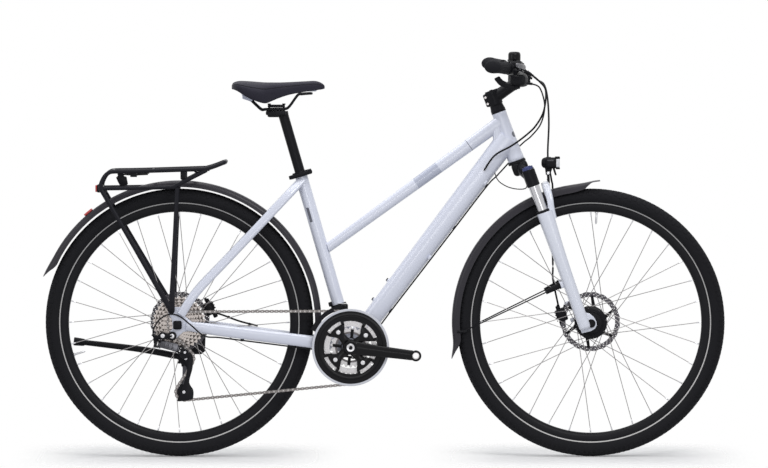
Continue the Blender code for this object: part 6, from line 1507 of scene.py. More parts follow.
        body = Shape(f"control_{name}_housing")
        body.rod(at(0, -0.007, 0), at(0, 0.007, 0), 0.0155, steps=48)
        body.sweep(flow([(*at(0.023, -0.046, 0.008), 0.007), (*at(0.0245, -0.04, 0.0075), 0.0092),
                         (*at(0.027, -0.02, 0.005), 0.0095), (*at(0.03, 0.004, 0.002), 0.009)], 4), 32, UP)
        body.block(at(0.018, -0.018, 0.0115), (0.03, 0.044, 0.018), turn, 0.005, 4)
        body.block(at(0.02, 0.0, -0.012), (0.012, 0.013, 0.022), turn, 0.003)
        for height in (0.0073, -0.0073):
            body.block(at(0.034, 0.008, height), (0.018, 0.024, 0.0042), turn, 0.0018)
        body.cast(0.0011, 4)
        body.done(Paint.ALLOY, "steering", f"control_{name}", sharp=50.0)
        lid = Shape(f"control_{name}_lid")
        lid.block(at(0.018, -0.018, 0.0206), (0.026, 0.038, 0.0022), turn, 0.001, 3)
        for y in (-0.033, -0.003):
            lid.rod(at(0.018, y, 0.0212), at(0.018, y, 0.0221), 0.0022, steps=16, bevel=0.0002)
        lid.done(Paint.PLASTIC, "steering")
        case = Shape(f"shifter_{name}_case")
        case.block(at(0.028, -0.006, -0.03), (0.042, 0.038, 0.0275), turn, 0.008, 5)
        case.block(at(0.03, -0.026, -0.03), (0.026, 0.01, 0.018), turn, 0.0035, 3)
        case.rod(at(0.028, -0.006, -0.0435), at(0.028, -0.006, -0.0452), 0.0135, steps=40, bevel=0.0006)
        case.rod(at(0.04, -0.02, -0.034), at(0.0565, -0.0344, -0.034), 0.004, 0.0034, steps=24,
                 bevel=0.0005)
        case.done(Paint.PLASTIC, "steering")
        neck = Shape(f"hose_nut_{name}")
        neck.rod(at(0.026, -0.04, 0.004), at(0.044, -0.0535, -0.005), 0.0046, 0.0042, steps=24,
                 bevel=0.0005)
        neck.rod(at(0.036, -0.0475, -0.001), at(0.0425, -0.0524, -0.0042), 0.0056, steps=6, bevel=0.0004)
        neck.rod(at(0.043, -0.0527, -0.0045), at(0.0505, -0.0583, -0.0082), 0.0038, 0.0032, steps=24)
        neck.done(Paint.BLACK_STEEL, "steering")
        self._brake_lever(name, place)
        self._shift_lever(name, place)

    def _brake_lever(self, name: str, place: Matrix) -> None:
        """Forges the brake lever's blade.

        Args:
            name: left or right.
            place: the control's frame on the bar.
        """
        up = place.to_3x3() @ UP
        rows = [(*(place @ Vector(p)), wide / 2, high / 2) for *p, wide, high in (
            (0.036, 0.013, 0.0, 0.0085, 0.0095), (0.05, 0.028, -0.001, 0.008, 0.0105),
            (0.058, 0.05, -0.003, 0.0066, 0.0122), (0.0585, 0.066, -0.0042, 0.0062, 0.013),
            (0.058, 0.08, -0.005, 0.006, 0.0128), (0.054, 0.104, -0.006, 0.006, 0.0112),
            (0.0555, 0.1095, -0.006, 0.0074, 0.009))]
        blade = Shape(f"brake_lever_{name}_blade")
        blade.sweep(flow(rows, 6), 32, up)
        pivot = place @ Vector((0.036, 0.013, 0.0))
        blade.rod(pivot - up * 0.0049, pivot + up * 0.0049, 0.006, steps=36, bevel=0.0006)
        blade.ball(place @ Vector((0.055, 0.1085, -0.006)), (0.0046, 0.0046, 0.005))
        blade.done(Paint.LEVER, f"{name}_brake", f"brake_lever_{name}")
        pin = Shape(f"brake_lever_{name}_pin")
        pin.rod(pivot - up * 0.0102, pivot + up * 0.0102, 0.0026, steps=24, bevel=0.0004)
        pin.done(Paint.BOLT, "steering")

    def _shift_lever(self, name: str, place: Matrix) -> None:
        """Moulds the shift lever's paddle.

        Args:
            name: left or right.
            place: the control's frame on the bar.
        """
        up = place.to_3x3() @ UP
        rows = [(*(place @ Vector(p)), wide / 2, high / 2) for *p, wide, high in (
            (0.024, -0.004, -0.0485, 0.014, 0.005), (0.012, 0.003, -0.049, 0.012, 0.0046),
            (0.004, 0.008, -0.0482, 0.012, 0.0046), (-0.01, 0.016, -0.043, 0.014, 0.0046),
            (-0.018, 0.02, -0.035, 0.0165, 0.0046), (-0.0202, 0.0211, -0.0315, 0.013, 0.0036))]
        paddle = Shape(f"shift_lever_{name}_paddle")
        paddle.sweep(flow(rows, 5), 28, LEFT)
        pivot = place @ Vector((0.024, -0.004, -0.0485))
        paddle.rod(pivot - up * 0.003, pivot + up * 0.0028, 0.0085, steps=40, bevel=0.0008)
        paddle.rod(pivot - up * 0.0042, pivot - up * 0.0026, 0.0042, steps=28, bevel=0.0004)
        paddle.done(Paint.PLASTIC, f"{name}_shifter", f"shift_lever_{name}")

    def bell(self) -> None:
        """Builds the bell on its band, with its small striker."""
        place = self.place(-1, 0.208)
        foot = place @ Vector((0.0, 0.0, 0.0151))
        dome_foot = off(foot, z=0.0165)
        shape = Shape("bell_dome")
        radius, height = 0.0165, 0.024
        shape.turned([(0.0, 0.0003), (0.0135, 0.0003), (0.015, 0.0), (0.0162, 0.0006), (radius, 0.002),
                      (radius, 0.62 * height), (0.016, 0.76 * height), (0.0146, 0.88 * height),
                      (0.0118, 0.96 * height), (0.006, 0.995 * height), (0.0, height)], dome_foot, UP, 64)
        shape.done(Paint.CRANK, "steering", "bell")
        post = Shape("bell_mount")
        post.rod(place @ Vector((0.0, -0.005, 0.0)), place @ Vector((0.0, 0.005, 0.0)), 0.0146, steps=40,
                 bevel=0.001)
        post.rod(place @ Vector((0.0, 0.0, 0.0115)), off(dome_foot, z=0.001), 0.0062, 0.0046, steps=32)
        striker = off(dome_foot, -0.0168, 0.0, 0.0012)
        post.tube([off(dome_foot, -0.002, 0.0, -0.004), off(dome_foot, -0.012, 0.0, -0.0035), striker],
                  0.0013, 12, 4)
        post.ball(striker, (0.0019, 0.0019, 0.0019), steps=16)
        post.done(Paint.PLASTIC, "steering")

    def build(self) -> None:
        """Builds the cockpit."""
        self.stem()
        self.handlebar()
        for side in (-1, 1):
            self.grip(side)
            self.control(side)
        self.bell()


@dataclass
class Seat:
    """The seatpost, the saddle's rails, base and cover."""

    length: float = 0.248
    width: float = 0.16
    rise: float = 0.085
    stations: Sequence[tuple[float, float, float, float]] = (
        (0.0, 0.2, -0.012, -0.02), (0.01, 0.46, -0.0065, -0.0215), (0.03, 0.68, -0.003, -0.022),
        (0.085, 0.9, 0.0, -0.028), (0.19, 1.0, -0.001, -0.043), (0.3, 0.97, -0.003, -0.053),
        (0.37, 0.88, -0.004, -0.056), (0.43, 0.7, -0.004, -0.051), (0.515, 0.49, -0.004, -0.043),
        (0.625, 0.36, -0.003, -0.035), (0.78, 0.3, -0.001, -0.028), (0.9, 0.27, 0.0, -0.024),
        (0.97, 0.19, -0.006, -0.022), (1.0, 0.08, -0.013, -0.02))

    @staticmethod
    def at(along: float, up: float, across: float = 0.0) -> Vector:
        """A point by its distance ahead of the saddle's tail and above the seatpost's head."""
        return Vector((along - 0.406066, across, 0.917231 + up))

    def section(self, half: float, top: float, bottom: float) -> list[list[float]]:
        """The cover's section, smooth all round, as pairs of across and up.

        Args:
            half: half its width.
            top: its highest point.
            bottom: its lowest point.

        Returns:
            The pairs, in order round the section.
        """
        wall = min(0.007, half * 0.35)
        roof = top - min(0.012, (top - bottom) * 0.75)
        drop = top - bottom
        right = [(0.28 * half, top + 0.0002), (0.55 * half, top - 0.0022), (0.8 * half, top - 0.14 * drop),
                 (0.95 * half, top - 0.32 * drop), (half, top - 0.52 * drop),
                 (0.985 * half, top - 0.78 * drop),
                 (0.94 * half, bottom), (0.94 * half - wall, bottom + 0.0008), (0.9 * half - wall, roof)]
        ring = [(0.0, top)] + right + [(-a, b) for a, b in reversed(right)]
        return flow([*ring, ring[0]], 3)[:-1]

    def cover(self) -> None:
        """Draws the soft cover over its padding."""
        rows = flow(self.stations, 5)
        rings = []
        for share, width, top, bottom in rows:
            half = width * self.width / 2
            rings.append([self.at(share * self.length, self.rise + up, across)
                          for across, up in self.section(half, top, bottom)])
        shape = Shape("saddle_skin")
        shape.loft(rings)
        item = shape.done(Paint.COVER, "seat", "saddle_cover", sharp=75.0)
        finer = item.modifiers.new("finer", "SUBSURF")
        finer.levels = finer.render_levels = 1
        seam = Shape("saddle_seam")
        for side in (-1, 1):
            path = []
            for share, width, top, bottom in rows[4:-4]:
                half = width * self.width / 2
                path.append((*self.at(share * self.length, self.rise + top - 0.3 * (top - bottom),
                                      side * (0.945 * half + 0.0002)), 0.0006, 0.0006))
            seam.sweep(path, 8, LEFT)
        seam.done(Paint.HOSE, "seat")

    def base(self) -> None:
        """Moulds the pale base: its shell, its tail bridge and its nose socket."""
        shape = Shape("saddle_shell")
        rings = []
        for share, width, top, bottom in flow(self.stations, 4):
            if not 0.06 < share < 0.955:
                continue
            half = width * self.width / 2
            wall = min(0.007, half * 0.35)
            across = 0.9 * half - wall - 0.0008
            roof = top - min(0.012, (top - bottom) * 0.75) - 0.0006
            corners = [(-1, 0.0), (-0.5, 0.0), (0.5, 0.0), (1, 0.0), (1, -0.004), (0.5, -0.004),
                       (-0.5, -0.004), (-1, -0.004)]
            rings.append([self.at(share * self.length, self.rise + roof + up, across * y)
                          for y, up in corners])
        shape.loft(rings)
        shape.block(self.at(0.034, self.rise - 0.026), (0.02, 0.06, 0.02), None, 0.006, 4)
        for side in (-1, 1):
            shape.rod(self.at(0.03, self.rise - 0.04, side * 0.0253),
                      self.at(0.056, self.rise - 0.049, side * 0.0238), 0.0066, steps=32, bevel=0.002)
            shape.block(self.at(0.038, self.rise - 0.032, side * 0.024), (0.02, 0.012, 0.02), None, 0.003)
        shape.block(self.at(0.205, self.rise - 0.0225), (0.044, 0.018, 0.0105), None, 0.004, 3)
        shape.done(Paint.BASE, "seat", "saddle_base")

    def rails(self) -> None:
        """Bends the saddle's wire."""
        half = 0.022
        right = [(0.0445, half * 1.15, -0.0475), (0.052, half * 1.1, -0.051), (0.068, half, -0.066),
                 (0.08, half, -0.076), (0.09, half, -0.0755), (0.116, half, -0.0748),
                 (0.143, half, -0.074), (0.155, half, -0.066), (0.176, half, -0.0375),
                 (0.188, half * 0.9, -0.0345), (0.206, half * 0.6, -0.033), (0.212, half * 0.2, -0.033)]
        path = [(a, -y, z) for a, y, z in right] + [(a, y, z) for a, y, z in reversed(right)]
        shape = Shape("saddle_wire")
        shape.tube([self.at(a, self.rise + z, y) for a, y, z in path], 0.0035, 24, 6)
        shape.done(Paint.BLACK_STEEL, "seat", "saddle_rails")

    def post(self) -> None:
        """Turns the seatpost and builds its clamp."""
        head = SEAT_TOP + SEAT_DIR * 0.166
        shape = Shape("seatpost_tube")
        shape.rod(SEAT_TOP - SEAT_DIR * 0.13, head - SEAT_DIR * 0.006, 0.0136, steps=56)
        shape.rod(head - SEAT_DIR * 0.008, head + SEAT_DIR * 0.002, 0.0139, 0.0148, steps=56, bevel=0.0008)
        rail = self.rise - 0.0748
        low = rail - 0.0041
        shape.block(self.at(0.118, low - 0.006), (0.054, 0.053, 0.0115), None, 0.0036, 3)
        shape.block(self.at(0.112, low - 0.0135), (0.03, 0.03, 0.008), None, 0.003, 3)
        shape.block(self.at(0.117, rail + 0.0083), (0.042, 0.053, 0.007), None, 0.0026, 3)
        shape.done(Paint.ALLOY, "seat", "seatpost")
        bolts = Shape("seatpost_bolts")
        for along in (0.1, 0.139):
            bolts.rod(self.at(along, low - 0.014), self.at(along, rail + 0.012), 0.0029, steps=20)
            bolts.bolt(self.at(along, low - 0.012), -UP, 0.0046, 0.0042)
            bolts.rod(self.at(along, rail + 0.0115), self.at(along, rail + 0.015), 0.0044, steps=6,
                      bevel=0.0004)
        bolts.done(Paint.BLACK_STEEL, "seat")

    def build(self) -> None:
        """Builds the seat."""
        self.cover()
        self.base()
        self.rails()
        self.post()


@dataclass
class Mudguard:
    """An arched mudguard whose section narrows and flares at its ends."""

    name: str
    centre: Vector
    body: str
    stations: Sequence[tuple[float, float, float]]
    half_width: float = 0.028
    wall: float = 0.0018

    def section(self, radius: float, skirt: float) -> list[tuple[float, float]]:
        """The section as pairs of radius and distance across, all round its wall.

        Args:
            radius: the radius at the middle.
            skirt: how far the sides hang down.

        Returns:
            The pairs, in order.
        """
        half = self.half_width
        outer = [(1.0, 1.0), (0.965, 1.003), (0.93, 0.992), (0.62, 0.975), (0.36, 0.925), (0.18, 0.835),
                 (0.075, 0.72), (0.055, 0.655), (0.02, 0.635), (0.01, 0.5), (0.0, 0.25), (0.0, 0.0)]
        line = outer + [(d, -y) for d, y in reversed(outer[:-1])]
        out = [(radius - skirt * d, half * y) for d, y in line]
        inside = []
        for d, y in reversed(line):
            fall = min(self.wall, self.wall * (1.0 - d * 0.95) + 0.0001)
            narrow = math.copysign(self.wall * min(abs(d) * 1.2, 1.0), y)
            inside.append((radius - skirt * d - fall, half * y - narrow))
        return out + inside

    def build(self) -> None:
        """Builds the mudguard's shell."""
        rings = []
        for degrees, radius, skirt in flow(self.stations, 7):
            rings.append([around(self.centre, r, degrees, y) for r, y in self.section(radius, skirt)])
        shape = Shape(f"{self.name}_mudguard_shell")
        shape.loft(rings)
        shape.done(Paint.GUARD, self.body, f"{self.name}_mudguard", sharp=40.0)


def make_mudguards() -> None:
    """Builds both mudguards with their stays, mounts and reflector."""
    radius, skirt = 0.371, 0.021
    stations = [(86.2, 0.381, 0.0026), (88.0, 0.3792, 0.0028), (89.8, 0.3768, 0.0036), (91.3, 0.3748, 0.0095),
                (92.9, 0.3732, 0.016), (96.0, 0.3715, 0.0195)]
    stations += [(99.5 + 87.5 * i / 13, radius, skirt) for i in range(14)]
    stations += [(190.0, 0.3738, 0.016), (192.2, 0.3785, 0.0085), (194.5, 0.3842, 0.0014)]
    Mudguard("front", FRONT_AXLE, "fork_slider", stations).build()
    radius, skirt = 0.3792, 0.017
    stations = [(-10 + 162 * i / 22, radius, skirt) for i in range(23)]
    stations += [(155.6, 0.3806, 0.0175), (158.4, 0.3824, 0.0095), (161.2, 0.3838, 0.0014)]
    Mudguard("rear", REAR_AXLE, "frame", stations).build()
    stays = Shape("front_mudguard_stays")
    clips = Shape("front_stay_clips")
    for side in (-1, 1):
        clip = steer(0.124, -0.0072, side * HALF_FORK)
        back = off(clip, -0.036, 0.0, -0.018)
        hook = off(FRONT_AXLE, -0.341, side * 0.0272, -0.023)
        clips.sweep(flow([(*clip, 0.0062, 0.0078), (*clip.lerp(back, 0.5), 0.0055, 0.007),
                          (*back, 0.0042, 0.0056)], 3), 28, UP)
        clips.block(steer(0.124, -0.0062, side * HALF_FORK), (0.015, 0.005, 0.018), FORK_TURN, 0.0015)
        clips.rod(off(hook, 0.01, side * 0.0004, 0.0), off(hook, -0.016, 0.0, -0.001), 0.0036, steps=20,
                  bevel=0.0005)
        stays.tube([back, back.lerp(hook, 0.5), hook, off(hook, -0.012, 0.0, -0.001)], 0.0017, 14, 2)
    stays.done(Paint.BLACK_STEEL, "fork_slider")
    turn = math.radians(108.2)
    out = Vector((math.cos(turn), 0.0, math.sin(turn)))
    clips.block(FRONT_AXLE + out * 0.3772, (0.022, 0.019, 0.013), basis(out, AHEAD), 0.002)
    clips.done(Paint.PLASTIC, "fork_slider")
    out = (STAY_BRIDGE - REAR_AXLE).normalized()
    mount = Shape("rear_mudguard_mount")
    mount.block(REAR_AXLE + out * 0.3815, (0.019, 0.015, 0.008), basis(out, AHEAD), 0.0015)
    mount.done(Paint.BLACK_STEEL, "frame")
    turn = math.radians(129.5)
    out = Vector((math.cos(turn), 0.0, math.sin(turn)))
    tilt = basis(out, LEFT)
    holder = Shape("reflector_holder")
    holder.block(REAR_AXLE + out * 0.3768, (0.026, 0.038, 0.006), tilt, 0.0022, 3)
    holder.done(Paint.PLASTIC, "frame")
    lens = Shape("reflector_lens")
    lens.block(REAR_AXLE + out * 0.3818, (0.0262, 0.0392, 0.006), tilt, 0.0022, 4)
    lens.done(Paint.RED, "frame")


@dataclass
class Rack:
    """The tubular rack with its legs, its cross bars and the tail light."""

    half: float = 0.064
    tube: float = 0.0055

    @staticmethod
    def at(x: float, up: float, across: float = 0.0) -> Vector:
        """A point behind the rear axle and above the rack's top line."""
        return off(REAR_AXLE, x, across, 0.408 + up)

    def build(self) -> None:
        """Builds the rack."""
        shape = Shape("rack_tubes")
        side_line = ((0.082, 0.0035), (-0.06, -0.001), (-0.12, -0.0026), (-0.172, -0.0036), (-0.186, -0.0068),
                     (-0.196, -0.015), (-0.2035, -0.0275), (-0.2075, -0.04), (-0.2065, -0.054))
        for side in (-1, 1):
            across = side * self.half
            shape.tube([self.at(x, up, across) for x, up in side_line], self.tube, 28, 4, LEFT)
            shape.tube([self.at(-0.206, -0.049, across), self.at(-0.1, -0.0473, across),
                        self.at(-0.008, -0.045, across)], 0.005, 28, 3)
            shape.tube([self.at(-0.016, -0.046, across), self.at(0.03, -0.022, across),
                        self.at(0.0745, 0.0005, across)], self.tube, 28, 3)
            for top, foot in (((-0.206, -0.052), (-0.026, -0.362)), ((-0.004, -0.046), (-0.018, -0.35))):
                start, end = self.at(*top, across), self.at(*foot, side * 0.0873)
                knee = start.lerp(end, 0.45)
                knee.y = side * (self.half + 0.014)
                low = start.lerp(end, 0.8)
                low.y = side * 0.085
                rows = ((*start, 0.006, 0.005), (*knee, 0.0058, 0.0048), (*low, 0.0066, 0.0044),
                        (*end, 0.0078, 0.004))
                shape.sweep(flow(rows, 6), 28, LEFT)
            foot = ((-0.052, 0.084), (-0.044, 0.084), (-0.036, 0.066), (-0.026, 0.06), (-0.021, 0.072),
                    (-0.02, 0.098), (-0.011, 0.098), (-0.01, 0.034), (-0.015, 0.025), (-0.023, 0.025),
                    (-0.029, 0.034))
            shape.plate([off(REAR_AXLE, x, side * 0.0873 - 0.003, z) for x, z in foot], LEFT * 0.006, 0.0012)
        for x, up in ((-0.176, -0.0035), (-0.07, -0.002), (0.045, -0.002), (-0.207, -0.046)):
            shape.rod(self.at(x, up, -self.half), self.at(x, up, self.half), 0.0045, steps=28)
        loop = [(0.068, 0.0025, 1.0), (0.084, 0.0068, 1.0), (0.1, 0.0122, 0.985), (0.112, 0.017, 0.945),
                (0.119, 0.0195, 0.88), (0.1225, 0.0207, 0.78), (0.1232, 0.021, 0.6)]
        path = [self.at(x, up, -share * self.half) for x, up, share in loop]
        path += [self.at(x, up, share * self.half) for x, up, share in reversed(loop)]
        shape.tube(path, self.tube, 28, 4)
        shape.block(self.at(0.012, -0.0115), (0.018, 0.016, 0.03), None, 0.002)
        shape.done(Paint.RACK, "frame", "rack")
        fittings = Shape("rack_fittings")
        for side in (-1, 1):
            fittings.bolt(self.at(-0.019, -0.375, side * 0.0903), LEFT * side, 0.005, 0.003)
            for x, up, wide, tall in ((-0.12, -0.011, 0.018, 0.014), (0.012, -0.013, 0.015, 0.018)):
                fittings.block(self.at(x, up, side * (self.half - 0.001)), (wide, 0.006, tall), None, 0.0015)
            plate = ((-0.166, -0.004), (-0.148, -0.004), (-0.149, -0.018), (-0.142, -0.02), (-0.138, -0.04),
                     (-0.156, -0.044), (-0.163, -0.032), (-0.168, -0.02), (-0.163, -0.016))
            fittings.plate([self.at(x, up, side * 0.03 - 0.0015) for x, up in plate], LEFT * 0.003, 0.0006)
            fittings.tube([self.at(-0.148, -0.0115, side * 0.05), self.at(-0.12, -0.0125, side * 0.056),
                           self.at(-0.082, -0.011, side * 0.056)], 0.0018, 12, 4)
        fittings.rod(self.at(-0.148, -0.0115, -0.05), self.at(-0.148, -0.0115, 0.05), 0.0018, steps=12)
        fittings.done(Paint.BLACK_STEEL, "frame")
        lamp = Shape("tail_light_case")
        lamp.block(self.at(-0.2135, -0.05), (0.0125, 0.05, 0.0215), None, 0.004, 4)
        lamp.block(self.at(-0.208, -0.0455), (0.01, 0.03, 0.011), None, 0.002)
        lamp.done(Paint.PLASTIC, "frame", "tail_light")
        lens = Shape("tail_light_lens")
        lens.block(self.at(-0.2212, -0.05), (0.0048, 0.047, 0.019), None, 0.0022, 4)
        lens.done(Paint.RED, "frame")


def make_headlight() -> None:
    """Builds the headlight on its pivot, with its cable's stub."""
    pivot = Vector((0.437655, 0.0, 0.756951))
    foot = off(pivot, -0.018, 0.0, 0.027)
    shape = Shape("headlight_shell")
    shape.turned([(0.0, 0.0), (0.005, 0.0002), (0.0095, 0.0016), (0.0128, 0.005), (0.0146, 0.01),
                  (0.0158, 0.017), (0.016, 0.024), (0.0, 0.024)], foot, AHEAD, 72)
    shape.block(off(foot, 0.0265), (0.035, 0.037, 0.029), None, 0.008, 5)
    shape.block(off(foot, 0.043, 0.0, 0.0138), (0.013, 0.0372, 0.006), None, 0.0014, 2)
    shape.block(off(foot, 0.044, 0.0, -0.0142), (0.011, 0.036, 0.005), None, 0.0014, 2)
    for x in (0.014, 0.019, 0.024):
        shape.block(off(foot, x, 0.0, 0.013), (0.0022, 0.024, 0.006), None, 0.0006)
    shape.rod(off(foot, 0.033, 0.0, -0.014), off(foot, 0.039, 0.0, -0.033), 0.003, 0.0024, steps=20,
              bevel=0.0004)
    for y in (-0.0085, 0.0085):
        shape.plate([off(pivot, x, y - 0.0013, z) for x, z in (
            (-0.006, -0.004), (0.0, -0.0068), (0.006, -0.004), (0.0125, 0.016), (-0.0085, 0.016))],
            LEFT * 0.0026, 0.0006)
    shape.done(Paint.PLASTIC, "lamp", "headlight")
    lens = Shape("headlight_lens")
    lens.block(off(foot, 0.044, 0.0, 0.0), (0.01, 0.0376, 0.023), None, 0.0024, 4)
    lens.done(Paint.LENS, "lamp")
    # Painted highlight: thin grey strips on the shell's sides stand in for its sheen
    sheen = Shape("headlight_painted_sheen")
    for y in (-0.0183, 0.0183):
        sheen.block(off(foot, 0.024, y, 0.007), (0.017, 0.0012, 0.0044), None, 0.0005)
    sheen.done(Paint.LINK, "lamp")
    screw = Shape("headlight_screw")
    screw.bolt(off(pivot, y=-0.0098), -LEFT, 0.0042, 0.0026)
    screw.rod(off(pivot, y=0.0098), off(pivot, y=0.0124), 0.0044, steps=6, bevel=0.0004)
    screw.done(Paint.BOLT, "lamp")


def make_kickstand() -> None:
    """Builds the kickstand's bracket, its leg and its foot."""
    outline = ((0.034, 0.006), (0.058, 0.004), (0.066, -0.014), (0.068, -0.03), (0.066, -0.082),
               (0.056, -0.09), (0.034, -0.09), (0.022, -0.083), (0.02, -0.074), (0.022, -0.05))
    bracket = Shape("kickstand_plate")
    bracket.plate([off(REAR_AXLE, x, 0.0843, z) for x, z in outline], LEFT * 0.006, 0.0008)
    axis = Vector((0.0, -0.966823, -0.255446))
    pivot = Vector((-0.517, 0.1038, 0.284))
    bracket.rod(pivot + axis * 0.016, pivot + axis * 0.009, 0.009, steps=40, bevel=0.001)
    bracket.done(Paint.ALLOY, "frame", "kickstand_bracket")
    bolts = Shape("kickstand_bolts")
    bolts.bolt(off(REAR_AXLE, 0.046, 0.0903, -0.016), LEFT, 0.0048, 0.0034)
    bolts.bolt(off(REAR_AXLE, 0.054, 0.0903, -0.066), LEFT, 0.0048, 0.0034)
    bolts.rod(pivot - axis * 0.0092, pivot - axis * 0.0125, 0.0062, steps=6, bevel=0.0005)
    bolts.done(Paint.BOLT, "frame")
    run = Vector((-0.156, 0.0, 0.018)).normalized()
    tip = Vector((-0.816, 0.1038, 0.3))
    leg = Shape("kickstand_strut")
    leg.rod(pivot - axis * 0.0089, pivot + axis * 0.0089, 0.0104, steps=48, bevel=0.0012)
    leg.sweep(flow([(x, 0.1038, z, w, h) for x, z, w, h in (
        (-0.52, 0.279, 0.007, 0.008), (-0.533, 0.2665, 0.007, 0.0084), (-0.556, 0.2628, 0.0068, 0.0088),
        (-0.6, 0.2712, 0.0068, 0.0088), (-0.66, 0.2812, 0.0066, 0.0084), (-0.74, 0.2912, 0.0062, 0.0078),
        (-0.806, 0.2988, 0.0058, 0.0072))], 5), 36, UP)
    leg.done(Paint.ALLOY, "stand", "kickstand_leg")
    foot = Shape("kickstand_foot")
    foot.sweep(flow([(*(tip + run * s), w, h) for s, w, h in (
        (-0.013, 0.0072, 0.0084), (-0.01, 0.0082, 0.0096), (0.006, 0.0096, 0.0108),
        (0.015, 0.0098, 0.011), (0.0168, 0.0088, 0.01))], 4), 32, UP)
    foot.done(Paint.PLASTIC, "stand")


CRANK_TURN = -7.0
SPIDER_TURN = 38.9
SPIDER_TURNS = tuple(SPIDER_TURN + 90 * k for k in range(4))
BOLT_CIRCLE = 0.052
RING_TEETH = {"large": (48, -0.057), "middle": (36, -0.05), "small": (26, -0.0425)}
COG_TEETH = (11, 13, 15, 17, 19, 21, 23, 26, 30, 34)
FIRST_COG_Y, COG_GAP, CHAIN_COG = -0.062, 0.00395, 2
CHAIN_Y = FIRST_COG_Y + COG_GAP * CHAIN_COG
CHAIN_PITCH = 0.0127
PULLEY_TEETH = 11
GUIDE = REAR_AXLE + Vector((0.018, CHAIN_Y, -0.093))
TENSION = REAR_AXLE + Vector((0.013, CHAIN_Y, -0.183))
CAGE_PIVOT = REAR_AXLE + Vector((0.015, 0.0, -0.08))


def pitch_radius(teeth: int) -> float:
    """The pitch circle of a sprocket."""
    return CHAIN_PITCH / (2.0 * math.sin(math.pi / teeth))


def tooth_radii(teeth: int, rise: float = 0.0022, root: float = 0.0036) -> list[float]:
    """The rim of a sprocket: eight corners to the tooth, each at its radius.

    Args:
        teeth: how many teeth there are.
        rise: how far a tip stands above the pitch circle.
        root: how far a gap lies below it.

    Returns:
        The radii in turn.
    """
    pitch = pitch_radius(teeth)
    shape = (-root, -root * 0.8, -root * 0.1, rise * 0.75, rise, rise * 0.75, -root * 0.1, -root * 0.8)
    return [pitch + part for part in shape] * teeth


